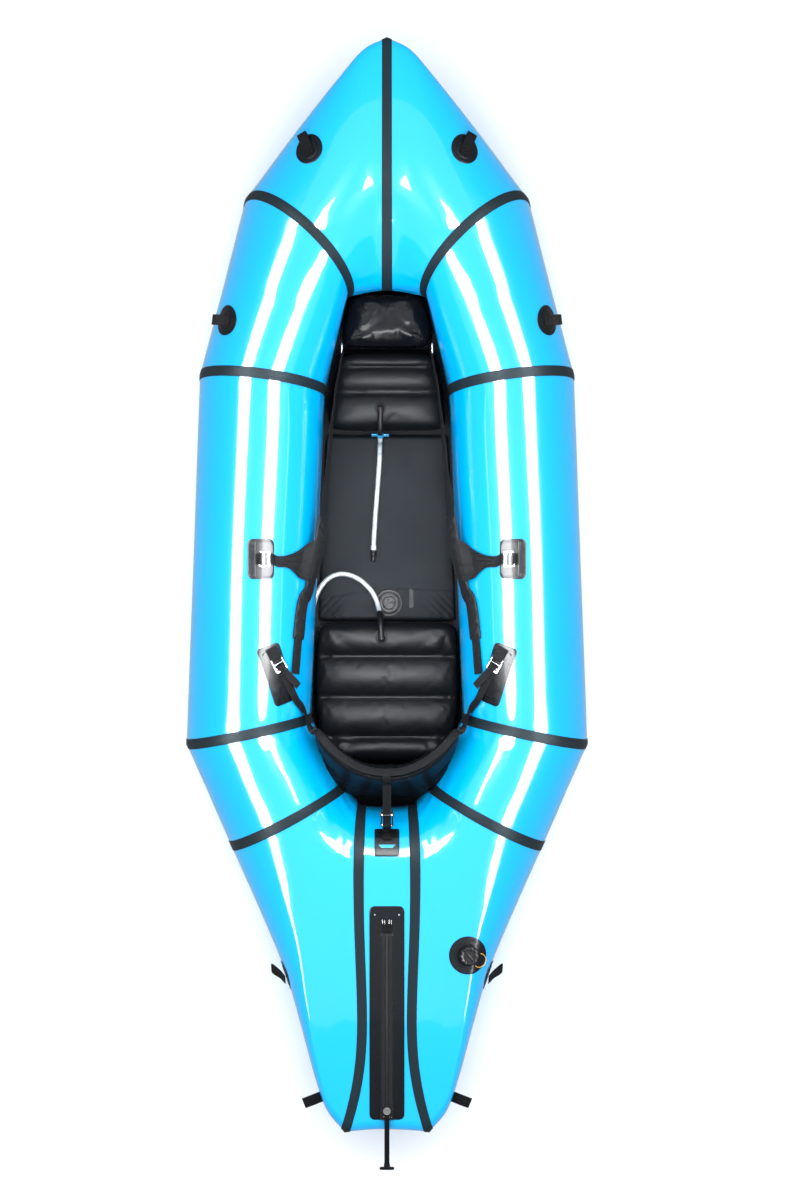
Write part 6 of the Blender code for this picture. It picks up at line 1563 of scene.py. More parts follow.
@dataclass
class ThighStraps:
    """The thigh straps: webbing from a ring on the bow wall, a quilted sleeve, and a gathered web to the knee."""

    width: float = 0.025
    thickness: float = 0.0016
    pad_width: float = 0.036
    pad_thickness: float = 0.007
    pad_span: tuple = (0.5, 0.905)
    quilting: float = 0.03
    lift: float = 0.0016
    free: tuple = ((0.102, 0.539, 0.185), (0.1205, 0.429, 0.1957), (0.137, 0.2675, 0.2084), (0.154, 0.106, 0.2233))
    on_edge: tuple = ((-1.0, 0.0, 0.12), (-1.0, 0.0, 0.18), (-0.94, 0.0, 0.34), (-0.76, 0.0, 0.65))
    skin: tuple = ((0.18, 0.0), (0.195, -0.0375), (0.205, -0.1225), (0.2125, -0.2))
    points: int = 200

    def build(self, ground: Ground, hook: Array) -> None:
        """Build the straps, the sleeves, the webs and the rings."""
        near = ground.near((0.19, 0.15, 0.22), 0.6)
        place, normal = near.above(self.skin, self.lift)
        place[-1] += normal[-1] * 0.0026
        faces = np.vstack([self.on_edge, normal])
        path, face = run_of(np.vstack([self.free, place]), faces, self.points)
        path, _ = near.clear(path, self.lift)
        run = np.linspace(0, 1, self.points)
        slack = creases(run * 0.8, np.zeros(1), 0.11, 3) * 0.0009 * step(0.0, 0.05, run) * (1 - step(0.95, 1.0, run))
        main = strap(path + face * np.maximum(slack, 0)[:, None], face, self.width, self.thickness)
        pair("webbing", main, "thigh_strap_web", "thigh_strap")
        self.pad(path, face)
        self.ends(path, face)
        self.web(near, path, face, hook)
        self.ring(near, path)

    def pad(self, path: Array, face: Array) -> None:
        """Build the quilted sleeve, which bulges between a stitched rim and evenly spaced cross seams."""
        first, last = (int(round(share * (self.points - 1))) for share in self.pad_span)
        line, square = run_of(path[first:last + 1:6], face[first:last + 1:6], 150)
        run = distances(line)
        t = np.linspace(-1, 1, 150)
        share = np.linspace(-1, 1, 21)
        close = np.sqrt(np.maximum(1 - np.abs(t) ** 26, 0.03))
        quilt = 0.5 - 0.5 * np.cos(math.tau * run / self.quilting)
        rim = 1 - np.abs(share) ** 6
        wrinkle = creases(run[:, None], share[None] * self.pad_width / 2, 0.016, 11) * 0.00045
        wave = (quilt[:, None] ** 0.5 - 0.75) * 0.0016 * rim + wrinkle * rim
        thick = self.pad_thickness * (0.5 + 0.3 * close)
        shell = strap(line - square * 0.0012, square, self.pad_width * (0.9 + 0.1 * close), thick, 21,
                      crown=0.0014, wave=wave)
        for made in pair("pad", shell, "thigh_pad"):
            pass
        rows = double_row(line[4:-4], square[4:-4], self.pad_width / 2 - 0.0032, 0.0052)
        pair("thread", joined(rows), "thigh_pad_sewing")

    def ends(self, path: Array, face: Array) -> None:
        """Build the strap's rounded end tab past the hip, and the cross stitches that hold it."""
        tip, square = path[-26:], face[-26:]
        t = np.linspace(0, 1, len(tip))
        reach = self.width * 0.92 * np.sqrt(np.maximum(1 - np.clip(t - 0.75, 0, 1) ** 2 * 14, 0.02))
        pair("webbing", strap(tip + square * 0.0019, square, reach, 0.0015), "thigh_end")
        side = unit(np.cross(tip[1] - tip[0], square[0]))
        rows = double_row(tip[2:20], square[2:20], 0.008, 0.0034)
        rows += [cross_row(tip[k], side, square[k], 0.0035) for k in (3, 8, 14)]
        pair("thread", joined(rows), "thigh_end_sewing")

    def web(self, near: Ground, path: Array, face: Array, hook: Array) -> None:
        """Build the gathered web from the hook, which fans out to a seam along the sleeve's outer edge.

        Rows of places are eased into each other; the creases run along the fan and die out at both its ends.
        """
        share = np.linspace(0, 1, 33)
        out, ahead, up = hook[:3, 0], hook[:3, 1], hook[:3, 2]
        narrow = (share - 0.5)[:, None] * 0.0245 * ahead
        keys = [hook[:3, 3] + out * reach + up * rise + narrow for reach, rise in
                ((0.0118, 0.0076), (0.015, 0.0078), (0.0185, 0.0058))]
        plan = (((0.25, 0.0695), (0.25, 0.044)), ((0.229, 0.071), (0.229, 0.0425)),
                ((0.208, 0.08), (0.214, 0.031)), ((0.19, 0.093), (0.203, 0.019)))
        for top, low in plan:
            spots = np.array(top)[None] * share[:, None] + np.array(low)[None] * (1 - share)[:, None]
            keys.append(near.above(spots, 0.0022)[0] if ahead[1] > 0 else near.above(spots[::-1], 0.0022)[0])
        ends = np.interp(np.linspace(0.104, 0.011, 33), path[::-1, 1], np.arange(self.points)[::-1])
        if ahead[1] > 0:
            ends = ends[::-1]
        spot = eased(path, ends)
        square = unit(eased(face, ends))
        side = unit(np.cross(eased(np.gradient(path, axis=0), ends), square))
        side = side * np.sign(side[:, :1])
        keys.append(spot + side * (self.pad_width / 2 + 0.001) + square * 0.0024)
        keys.append(spot + side * (self.pad_width / 2 - 0.008) + square * 0.0068)
        grid_of = np.array(keys)
        places = np.linspace(0, len(keys) - 1, 90)
        sheet = eased(grid_of.reshape(len(keys), -1), places).reshape(90, 33, 3)
        t = np.linspace(0, 1, 90)[:, None]
        live = step(0.3, 0.55, t) * (1 - step(0.86, 0.98, t))
        fan = (np.cos(math.tau * (share[None] * 4.5 + 0.6 * t)) * 0.5
               + np.cos(math.tau * share[None] * 7.3) * 0.35)
        normal = unit(np.cross(np.gradient(sheet, axis=0), np.gradient(sheet, axis=1)))
        normal = normal * np.sign(normal[..., 2:])
        flatten, _ = near.clear(sheet.reshape(-1, 3), 0.0016)
        sheet = flatten.reshape(sheet.shape) + normal * (live * (fan * 0.5 + 0.5) * 0.0026)[..., None]
        rim = 1 - 0.25 * np.abs(2 * share - 1) ** 12
        over = sheet + normal * (0.0014 * rim)[None, :, None]
        under = sheet + normal * (0.0014 * (1 - rim))[None, :, None]
        shell = grid(np.concatenate([over, under[:, ::-1]], axis=1), around=True, ends=True)
        pair("webbing", shell, "knee_web")
        seam = over[-6] + normal[-6] * 0.0004
        pair("thread", beads(seam, normal[-6]), "knee_web_sewing")

    def ring(self, near: Ground, path: Array) -> None:
        """Build the ring that the strap starts from, seen edge on from above, and its tab on the wall."""
        centre = path[0] + np.array((0.0015, 0.006, 0.0))
        line = rounded_outline(0.027, 0.02, 0.007, 60)
        loop = centre + np.stack([np.zeros(60), line[:, 0], line[:, 1]], axis=1)
        pair("metal", tube(loop, 0.0016, 12, closed=True, up=(1.0, 0.0, 0.0)), "thigh_ring")
        route = centre + np.array([(0.0, 0.009, 0.0035), (0.001, 0.0125, 0.001), (0.002, 0.015, -0.005),
                                   (0.0035, 0.02, -0.012), (0.005, 0.026, -0.02)])
        lane, _ = near.clear(smooth(route, 30), 0.0012)
        pair("webbing", strap(lane, np.tile((-1.0, 0.15, 0.2), (30, 1)), 0.02, 0.0015), "thigh_tab")


@dataclass
class HipPatch:
    """The hip patch with an inner layer, its webbing tab, and the ladder lock that the backrest strap runs in."""

    x: float = 0.2507
    y: float = -0.2013
    tilt: float = 21.0
    length: float = 0.14
    width: float = 0.056
    lock_place: tuple = (0.2467, -0.1776, 0.2809)
    lock_ahead: tuple = (-0.4308, -0.8733, -0.2274)
    lock_up: tuple = (-0.4386, -0.0176, 0.8985)
    rail: float = 0.0138

    def lock_frame(self) -> Array:
        """Return the right ladder lock's frame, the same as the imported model's."""
        ahead, up = unit(self.lock_ahead), unit(self.lock_up)
        up = unit(up - ahead * np.dot(up, ahead))
        return framed(ahead, np.cross(up, ahead), up, self.lock_place)

    def build(self, ground: Ground) -> None:
        """Build it on both sides."""
        turn = math.radians(self.tilt)
        frame = ground.seat(self.x, self.y, (-math.sin(turn), -math.cos(turn)))
        corner = self.width * 0.18
        base = plate((self.length, self.width, corner, 140), LAYER, z=0.0006)
        layer = slab(rounded_outline(self.length - 0.026, self.width - 0.018, corner * 0.55, 140), 0.0014, 0.0006, 12)
        frame_line = rounded_outline(self.length - 0.016, self.width - 0.009, corner * 0.8, 140)
        ridge = tube(raised(frame_line, 0.0014), 0.0007, 6, closed=True)
        film = joined([ground.draped(part, frame) for part in (base, layer.moved(shift(z=0.0017)), ridge)])
        pair("patch", film, "hip_patch_film", "hip_patch")
        lock = self.lock_frame()
        self.lock(lock)
        tab = [(-0.042, -0.0014), (-0.034, -0.001), (-0.024, -0.0008), (-0.018, 0.001), (-0.015, 0.0028),
               (-0.0125, 0.002), (-0.0118, -0.0006)]
        pair("webbing", folded(tab, 50, lock, 0.0262, 0.0015), "hip_tab")
        pair("thread", sewn(box_stitch(-0.04, -0.028, 0.01), 0.0007).moved(lock), "hip_tab_sewing")

    def lock(self, frame: Array) -> None:
        """Build the ladder lock: two rails, a fixed bar, a gripping bar, a raised bar and a lip for the thumb."""
        rails = [tube(smooth([(-0.0155, y, 0.0), (-0.01, y, 0.0), (0.002, y, 0.0004), (0.011, y, 0.0018),
                              (0.016, y, 0.0034)], 26), 0.0021, 12, squash=0.9) for y in (-self.rail, self.rail)]
        bars = [capsule((x, -self.rail, z), (x, self.rail, z), radius)
                for x, z, radius in ((-0.015, 0.0, 0.002), (-0.002, 0.0002, 0.0018), (0.0075, 0.0012, 0.002))]
        lip = block((0.0052, 0.029, 0.0026), 0.0011, shift(x=0.0148, z=0.0032) @ spin(-18, "Y"))
        pair("metal", joined([*rails, *bars, lip]).moved(frame), "ladder_lock_frame", "ladder_lock")


@dataclass
class BackStraps:
    """The straps that hold the backrest: one from each ladder lock, and one to a buckle on the stern tube."""

    width: float = 0.0195
    thickness: float = 0.0015
    wing: tuple = (0.164, -0.327, 0.2806)
    crest: tuple = (0.0, -0.444, 0.33)
    buckle_place: tuple = (0.0, -0.53, 0.3)
    rail: float = 0.0128
    patch_y: float = -0.58375

    def side_straps(self, ground: Ground, lock: Array) -> None:
        """Build each side's strap, with the loose tail that comes out of the lock.

        Args:
            ground: What the straps lie on.
            lock: The right lock's frame.
        """
        near, wing = ground.near((0.21, -0.25, 0.26), 0.3), np.array(self.wing)
        start = np.array([(0.006, 0, 0.0034), (0.011, 0, 0.003), (0.02, 0, 0.0004), (0.028, 0, -0.0006)])
        place, normal = near.above(((0.2125, -0.256), (0.193, -0.29)), 0.0046)
        end = np.array([wing + (0.008, 0.002, 0.002), wing + (-0.001, -0.001, 0.006)])
        points = np.vstack([carried(start, lock), place, end])
        faces = np.vstack([np.tile(lock[:3, 2], (4, 1)), normal, np.tile((-0.3, 0.0, 0.95), (2, 1))])
        path, face = run_of(points, faces, 110)
        path, _ = near.clear(path, 0.003)
        shell = strap(path, face, self.width, self.thickness)
        for word, placed, side in (("right", shell, 1), ("left", shell.mirrored(), -1)):
            made = put("webbing", placed, f"backrest_strap_web_{word}", f"backrest_strap_{word}", body="")
            side * path[30, 0]
            side * self.wing[0]
            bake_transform(made)
        tail = np.array([(0.003, 0, 0.004), (0.01, 0.001, 0.0052), (0.018, 0.003, 0.0036),
                         (0.029, 0.006, 0.0022), (0.042, 0.0105, 0.002), (0.056, 0.015, 0.003),
                         (0.068, 0.018, 0.0024)]) * np.array([1, -1, 1])
        lane, over = near.clear(smooth(carried(tail, lock), 70), 0.0064)
        pair("webbing", strap(lane, over, self.width * 0.96, self.thickness), "backrest_strap_tail")

    def rear(self, ground: Ground) -> None:
        """Build the rear patch, its tab, the buckle, and the strap up to the backrest's crest."""
        frame = ground.seat(0.0, self.patch_y, (1.0, 0.0))
        base = plate((0.057, 0.07, 0.004, 120), LAYER, z=0.0006)
        window = np.array([(-0.0204, 0.0), (0.0204, 0.0), (0.0135, -0.0092), (-0.0135, -0.0092)]) + (0.0, -0.0068)
        closed = np.vstack([window, window[:1]])
        run = distances(closed)
        marks = np.linspace(0, run[-1], 61)[:-1]
        line = at_marks(marks, run, closed)
        rim = tube(raised(line, 0.0016), 0.001, 8, closed=True)
        middle = window.mean(axis=0)
        pane = slab((line - middle) * 0.97, 0.0008, 0.0003, 6).moved(shift(middle[0], middle[1], 0.0016))
        put("patch", ground.draped(base, frame), "rear_patch_film", "rear_patch")
        put("welt", ground.draped(rim, frame), "rear_window_rim")
        put("hull", ground.draped(pane, frame), "rear_window_pane")
        edge = [((-0.0245, -0.0315), (0.0245, -0.0315)), ((-0.025, -0.032), (-0.025, 0.032)),
                ((0.025, -0.032), (0.025, 0.032))]
        put("thread", ground.draped(sewn(edge, 0.0014, 20), frame), "rear_patch_sewing", slot="tape_black")
        self.buckle(ground)

    def buckle(self, ground: Ground) -> None:
        """Build the buckle, the tab under it and the strap over it; all of them lie in the middle plane."""
        centre, start = np.array(self.buckle_place), np.array(self.crest)
        ahead = unit(start - centre)
        frame = framed(ACROSS, ahead, np.cross(ACROSS, ahead), centre)
        rails = [tube(np.linspace((x, -0.018, 0.0), (x, 0.02, 0.0012), 20), 0.0019, 12)
                 for x in (-self.rail, self.rail)]
        ears = [block((0.0052, 0.0085, 0.0048), 0.0016, shift(x, 0.01, 0.0008)) for x in (-0.0138, 0.0138)]
        head = block((0.025, 0.0085, 0.005), 0.0018, shift(y=0.0178, z=0.001))
        put("gloss", joined([*rails, *ears, head]).moved(frame), "rear_buckle_body", "rear_buckle")
        bars = [capsule((-self.rail, y, z), (self.rail, y, z), 0.0018) for y, z in ((0.0098, 0.0024), (-0.016, 0.0))]
        put("metal", joined(bars).moved(frame), "rear_buckle_bars")
        fold = [(0.0085, 0.0018), (0.0098, 0.0046), (0.006, 0.004), (-0.002, 0.0022), (-0.01, 0.0014),
                (-0.015, 0.0024), (-0.0175, 0.001), (-0.0165, -0.0022)]
        lower = frame @ spin(90)
        put("webbing", folded(fold, 60, lower, 0.0185, 0.0012), "rear_web")
        place, normal = ground.above([(0.0, y) for y in (-0.58, -0.57, -0.56)], 0.003)
        points = np.vstack([place, centre - ahead * 0.019 + frame[:3, 2] * 0.0022,
                            centre - ahead * 0.0158 + frame[:3, 2] * 0.003,
                            centre - ahead * 0.0132 + frame[:3, 2] * 0.0006])
        path, face = run_of(points, np.vstack([normal, np.tile(frame[:3, 2], (3, 1))]), 50)
        put("webbing", strap(path, face, 0.02, 0.0015), "rear_tab_web")
        rows = [cross_row(path[k], frame[:3, 0], face[k], 0.0018) for k in (2, 6, 12)]
        put("thread", joined(rows), "rear_tab_sewing")
        route = np.array([start, start * 0.5 + centre * 0.5 + frame[:3, 2] * 0.001, centre + ahead * 0.0215
                          + frame[:3, 2] * 0.002, centre + ahead * 0.013 + frame[:3, 2] * 0.0036,
                          centre + ahead * 0.0106 + frame[:3, 2] * 0.0046])
        path, face = run_of(route, np.tile(frame[:3, 2], (5, 1)), 60)
        made = put("webbing", strap(path, face, self.width, self.thickness), "rear_strap_web", "rear_strap",
                   body="")
        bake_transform(made)


def points_of(mesh: bpy.types.Mesh) -> Array:
    """Return a mesh's points, n by 3."""
    flat = np.empty(len(mesh.vertices) * 3, dtype=np.float32)
    mesh.vertices.foreach_get("co", flat)
    return flat.reshape(-1, 3).astype(float)


def set_points(mesh: bpy.types.Mesh, points: Array) -> None:
    """Move a mesh's points."""
    mesh.vertices.foreach_set("co", points.astype(np.float32).ravel())
    mesh.update()


@dataclass
class Inflation:
    """Air pressed into a closed bladder by a cloth simulation, held at its welds."""

    voxel: float = 0.005
    pressure: float = 4.0
    frames: int = 20
    growth: float = 0.06

    def skin(self, made: bpy.types.Object) -> None:
        """Give the piece an even mesh of small cells, so that its cloth creases the same all over."""
        evener = made.modifiers.new("cells", "REMESH")
        evener.mode, evener.voxel_size, evener.use_smooth_shade = "VOXEL", self.voxel, True
        softer = made.modifiers.new("soft", "SMOOTH")
        softer.factor, softer.iterations = 0.5, 3
        self.settle(made)

    def settle(self, made: bpy.types.Object) -> None:
        """Make the piece's mesh what its modifiers show, and take them off it."""
        graph = bpy.context.evaluated_depsgraph_get()
        graph.update()
        mesh = bpy.data.meshes.new_from_object(made.evaluated_get(graph))
        made.modifiers.clear()
        old, made.data = made.data, mesh
        bpy.data.meshes.remove(old)
        mesh.shade_smooth()

    def blow(self, made: bpy.types.Object, held: Callable, cap: float) -> None:
        """Run the simulation and keep its result.

        Args:
            made: The closed piece.
            held: Says for n by 3 points which of them are welded or rest on something.
            cap: The furthest that a point may move. A longer move is cut to cap x / (cap + x) of itself.
        """
        mesh = made.data
        rest = points_of(mesh)
        group = made.vertex_groups.new(name="held")
        group.add(np.flatnonzero(held(rest)).tolist(), 1.0, "REPLACE")
        cloth = made.modifiers.new("air", "CLOTH")
        sheet = cloth.settings
        sheet.quality, sheet.mass, sheet.air_damping = 5, 0.3, 4.0
        sheet.tension_stiffness = sheet.compression_stiffness = 14.0
        sheet.shear_stiffness, sheet.bending_stiffness = 6.0, 0.4
        sheet.use_pressure, sheet.uniform_pressure_force = True, self.pressure
        sheet.shrink_min = -self.growth
        sheet.effector_weights.gravity = 0.0
        sheet.vertex_group_mass = "held"
        cloth.point_cache.frame_start, cloth.point_cache.frame_end = 1, self.frames
        scene = bpy.context.scene
        for frame in range(1, self.frames + 1):
            scene.frame_set(frame)
        graph = bpy.context.evaluated_depsgraph_get()
        move = points_of(made.evaluated_get(graph).to_mesh()) - rest
        made.evaluated_get(graph).to_mesh_clear()
        made.modifiers.clear()
        made.vertex_groups.clear()
        scene.frame_set(1)
        far = np.linalg.norm(move, axis=1, keepdims=True)
        kept = rest + move * (cap / (cap + far))
        set_points(mesh, kept)
        LOG.info("%s: air moved it by up to %.1f mm", made.name, 1000 * np.linalg.norm(kept - rest, axis=1).max())

    def finish(self, made: bpy.types.Object, lowest: Array, highest: Array) -> None:
        """Smooth the piece once more with a subdivision, and keep it inside its space."""
        finer = made.modifiers.new("finer", "SUBSURF")
        finer.levels = finer.render_levels = 1
        self.settle(made)
        set_points(made.data, np.clip(points_of(made.data), lowest, highest))


def rounded_ends(ends: tuple, reach: float, rows: int, margin: float) -> tuple:
    """Return a cushion's rows, which crowd towards its ends, rounded by quarter circles.

    Args:
        ends: Its first and last place along.
        reach: The radius of the rounding.
        rows: How many.
        margin: The angle that stays free at both ends.

    Returns:
        The rows' shares from 0 to 1, their places, and how far their edges are drawn in.
    """
    share = 0.5 - 0.5 * np.cos(np.linspace(margin, math.pi - margin, rows))
    y = ends[0] + (ends[1] - ends[0]) * share
    curve = np.clip(1 - np.minimum(ends[0] - y, y - ends[1]) / reach, 0, 1)
    return share, y, reach * (1 - np.sqrt(1 - curve ** 2))


def superellipse(half: Array, middle: Array, tall: Array, powers: tuple, columns: int) -> tuple:
    """Return the x, z, cosines and sines round sections of half a width and a height on each side of a middle."""
    c, s = ring_of(columns)
    return (half[:, None] * np.sign(c) * np.abs(c) ** powers[0],
            middle[:, None] + tall[:, None] * np.sign(s) * np.abs(s) ** powers[1], c, s)


@dataclass
class Bladder:
    """One inflated cushion of the cockpit, with welds across its top.

    Its section is a superellipse. Each end is rounded by a quarter circle, the top sinks in a round arch
    towards each weld, and creases spread from the welds' ends and from the four corners like a crow's foot.
    """

    name: str
    node: str
    ends: tuple
    halves: tuple
    low: tuple
    high: tuple
    welds: tuple = ()
    depth: float = 0.02
    round_by: float = 0.03
    foot: float = 0.0026
    cap: float = 0.01
    fill: float = 0.8
    growth: float = 0.06
    square: float = 0.42
    pinch: float = 0.0

    def arch(self, y: Array) -> Array:
        """Return how deep the top sinks at places along: 0 on a rib's ridge, 1 at a weld."""
        sink = np.zeros_like(y)
        marks = [self.ends[0], *self.welds, self.ends[1]]
        for place, (fore, aft) in enumerate(zip(marks[:-1], marks[1:])):
            inside = (y <= fore) & (y >= aft)
            share = np.clip((y - (fore + aft) / 2) / ((fore - aft) / 2), -1, 1)
            if place == 0:
                share = np.minimum(share, 0)
            if place == len(marks) - 2:
                share = np.maximum(share, 0)
            sink = np.where(inside, 1 - np.sqrt(np.maximum(1 - share ** 2 * 0.995, 0)), sink)
        return sink if self.welds else np.zeros_like(y)

    def half(self, share: Array) -> Array:
        """Return half the width at shares along, eased between the given widths."""
        line = smooth(np.stack([np.linspace(0, 1, len(self.halves)), self.halves], axis=1), 41)
        return np.interp(share, line[:, 0], line[:, 1])

    def feet(self, x: Array, y: Array) -> Array:
        """Return the creases' height: round each spot, a cosine of 9 times the angle, which fades with distance."""
        half = self.half((y - self.ends[0]) / (self.ends[1] - self.ends[0]))
        spots = [(side * 0.93, weld, 0.04, 13) for weld in self.welds for side in (-1, 1)]
        if self.pinch:
            spots.append((0.0, self.ends[0] - 0.004, self.pinch, 3))
        spots += [(side * 0.86, end + (-0.014 if end == self.ends[0] else 0.014), 0.06, 7)
                  for end in self.ends for side in (-1, 1)]
        total = np.zeros_like(x)
        for place, (side, along, reach, count) in enumerate(spots):
            dx, dy = x - side * half, y - along
            far = np.hypot(dx, dy)
            turn = 1.3 * place if side else math.pi / 2
            wave = np.cos(count * np.arctan2(dy, dx * (side or 1.0)) + turn)
            total = total + wave * np.exp(-(far / reach) ** 2) * far / (far + 0.01)
        return total

    def levels(self, share: Array) -> tuple:
        """Return the heights of the base and the top at shares along."""
        return (self.low[0] + (self.low[1] - self.low[0]) * share,
                self.high[0] + (self.high[1] - self.high[0]) * share)

    def form(self, rows: int = 110, columns: int = 140) -> Shell:
        """Return the closed form."""
        share, y, draw = rounded_ends(self.ends, self.round_by, rows, 0.012)
        sink = self.arch(y)
        half = (self.half(share) - draw) * (1 - 0.02 * sink)
        base, top = self.levels(share)
        middle, reach = (top + base) / 2, (top - base) / 2
        tall = np.maximum(reach - np.minimum(draw, reach * 0.92), 0.001)
        x, z, c, s = superellipse(half, middle, tall, (self.square, 0.5), columns)
        along = np.broadcast_to(y[:, None], x.shape)
        upper = step(0.05, 0.6, s) * np.ones_like(x)
        face = 1 - np.abs(c) ** 5
        z = z - upper * face * (self.depth * sink)[:, None] + upper * self.feet(x, along) * self.foot
        return grid(np.stack([x, along, z], axis=-1), around=True, ends=True)

    def held(self, points: Array) -> Array:
        """Return which points are on a weld or rest on what lies under them."""
        share = (points[:, 1] - self.ends[0]) / (self.ends[1] - self.ends[0])
        base, top = self.levels(share)
        half = self.half(share)
        still = points[:, 2] < base + 0.0045
        for weld in self.welds:
            still |= ((np.abs(points[:, 1] - weld) < 0.004) & (points[:, 2] > (base + top) / 2)
                      & (np.abs(points[:, 0]) < half * 0.9))
        return still

    def build(self, air: Inflation, finish: str) -> None:
        """Build it and blow it up."""
        made = put(finish, self.form(), self.name, self.node, sharp=180)
        air.skin(made)
        replace(air, growth=self.growth).blow(made, self.held, self.cap)
        wide = max(self.halves) + 0.004
        air.finish(made, np.array((-wide, self.ends[1] - 0.002, min(self.low))),
                   np.array((wide, self.ends[0] + 0.002, max(self.high) + 0.0035)))


@dataclass
class Backrest:
    """The backrest: a pad with wings that come forward, its strap sleeve along the crest, and a tab at the crest's
    middle.
    """

    width: float = 0.328
    top: float = 0.345
    base: float = 0.052
    front: float = -0.412
    crest: float = 0.03
    end_radius: float = 0.014
    weld_lines: tuple = (0.36, 0.66)
    cap: float = 0.009
    room: tuple = ((-0.487, 0.052), (-0.3115, 0.348))
    wing_reach: float = 0.098
    marks: tuple = (0.0, 0.2, 0.366, 0.52, 0.67, 0.78, 0.854, 0.93, 0.976, 1.0)
    depths: tuple = (0.072, 0.075, 0.08, 0.087, 0.089, 0.084, 0.076, 0.056, 0.038, 0.026)
    wing_base: float = 0.205
    wing_top: float = 0.31

    def levels(self, a: Array) -> tuple:
        """Return the front and the lower and upper edges at shares out from the middle.

        The wing's reach grows as the share's 2.2nd power and its base as the 0.8th.
        """
        swing = a ** 2.2
        return (self.front + self.wing_reach * swing, self.base + (self.wing_base - self.base) * a ** 0.8,
                self.top + (self.wing_top - self.top) * swing)

    def section(self, a: float) -> Array:
        """Return the outline at a share across, from -1 to 1, as points along and up."""
        front, low, high = self.levels(abs(a))
        depth = float(np.interp(abs(a), self.marks, self.depths))
        crest = min(self.crest, depth * 0.7)
        tall = high - low
        points = [(front - depth * bulge * 0.35, low + tall * share)
                  for share, bulge in ((0.06, 0.3), (0.3, 0.0), (0.5, -0.06), (0.7, 0.0), (0.94, 0.22))]
        points += [(front - crest * 0.5, high), (front - crest, high - tall * 0.05),
                   (front - crest - (depth - crest) * 0.45, low + tall * 0.55), (front - depth, low + tall * 0.16),
                   (front - depth * 0.92, low + tall * 0.02), (front - depth * 0.5, low)]
        return np.array(points)

    def form(self, rows: int = 90, columns: int = 110) -> Shell:
        """Return the closed pad with its rounded ends."""
        share = np.sin(np.linspace(-math.pi / 2 + 0.02, math.pi / 2 - 0.02, rows))
        x = share * (self.width / 2 - 0.001)
        edge = self.width / 2 - np.abs(x)
        curve = np.clip(1 - edge / self.end_radius, 0, 1)
        draw = np.sqrt(1 - curve ** 2)
        loops = []
        for place, shrink in zip(share, draw):
            loop = smooth(self.section(place), columns, closed=True)
            middle = loop.mean(axis=0)
            loops.append(middle + (loop - middle) * (0.94 * (0.25 + 0.75 * shrink)))
        loops = np.array(loops)
        across = np.broadcast_to(x[:, None], loops.shape[:2])
        return grid(np.stack([across, loops[..., 0], loops[..., 1]], axis=-1), around=True, ends=True)

    def held(self, points: Array) -> Array:
        """Return which points are held: the pad's foot, and two weld lines across its front face."""
        a = np.abs(points[:, 0]) / (self.width / 2)
        front, low, high = self.levels(a)
        share = (points[:, 2] - low) / (high - low)
        still = share < 0.06
        for line in self.weld_lines:
            still |= (np.abs(share - line) < 0.018) & (points[:, 1] > front - 0.012) & (a < 0.9)
        return still

    def crest_line(self, share: Array) -> Array:
        """Return the line along the crest, at shares across from -1 to 1."""
        front, _, high = self.levels(np.abs(share))
        return np.stack([share * self.width / 2, front - 0.012, high - 0.026 * np.abs(share) ** 24], axis=1)

    def build(self, air: Inflation) -> None:
        """Build the pad and what is sewn on it."""
        made = put("bladder", self.form(), "backrest_pad", "backrest", body="backrest", sharp=180)
        air.skin(made)
        air.blow(made, self.held, self.cap)
        half, (lowest, highest) = self.width / 2, self.room
        air.finish(made, np.array((-half, *lowest)), np.array((half, *highest)))
        share = np.linspace(-0.985, 0.985, 150)
        line = self.crest_line(share)
        out = unit(np.tile((0.0, 0.45, 1.0), (150, 1)))
        wrinkle = creases(line[:, :1], np.linspace(-0.009, 0.009, 17)[None], 0.03, 21) * 0.0005
        sleeve = strap(line + out * 0.0004, out, 0.0185, 0.0016, 17, crown=0.0014, wave=wrinkle)
        put("webbing", sleeve, "backrest_sleeve", body="backrest")
        rows = double_row(line[3:-3], out[3:-3], 0.0072, 0.0026)
        put("thread", joined(rows), "backrest_sewing", body="backrest")
        tab = [(0.008, 0.004), (0.001, 0.0046), (-0.012, 0.003), (-0.02, -0.001), (-0.025, -0.008),
               (-0.027, -0.02), (-0.028, -0.034)]
        frame = framed((0, 1, 0), (-1, 0, 0), (0, 0, 1), (0.0, self.front - 0.012, self.top))
        put("webbing", folded(tab, 50, frame, 0.0205, 0.0015), "backrest_tab", body="backrest")


def cockpit_bladders() -> list:
    """Return the cushions with the finish that each takes."""
    return [
        (Bladder("bow_pillow_bladder", "bow_pillow", (0.669, 0.5535), (0.0835, 0.096, 0.106), (0.0365, 0.022),
                 (0.179, 0.179), (), 0.0, 0.02, 0.005, 0.007, 0.7, 0.012, 0.4, 0.08), "pillow"),
        (Bladder("foot_rest_bladder", "foot_rest", (0.536, 0.3615), (0.1105, 0.125, 0.1385), (0.006, 0.0016),
                 (0.136, 0.1275), (0.505, 0.448), 0.02, 0.026, 0.0008, 0.005, 0.8, 0.0, 0.34), "bladder"),
        (Bladder("seat_bladder", "seat_cushion", (-0.0835, -0.3995), (0.16, 0.164, 0.165, 0.1575, 0.126),
                 (0.0016, 0.0016), (0.089, 0.089), (-0.1595, -0.2537, -0.348), 0.024, 0.026, 0.0032, 0.006, 0.8,
                 0.004, 0.3), "bladder"),
    ]


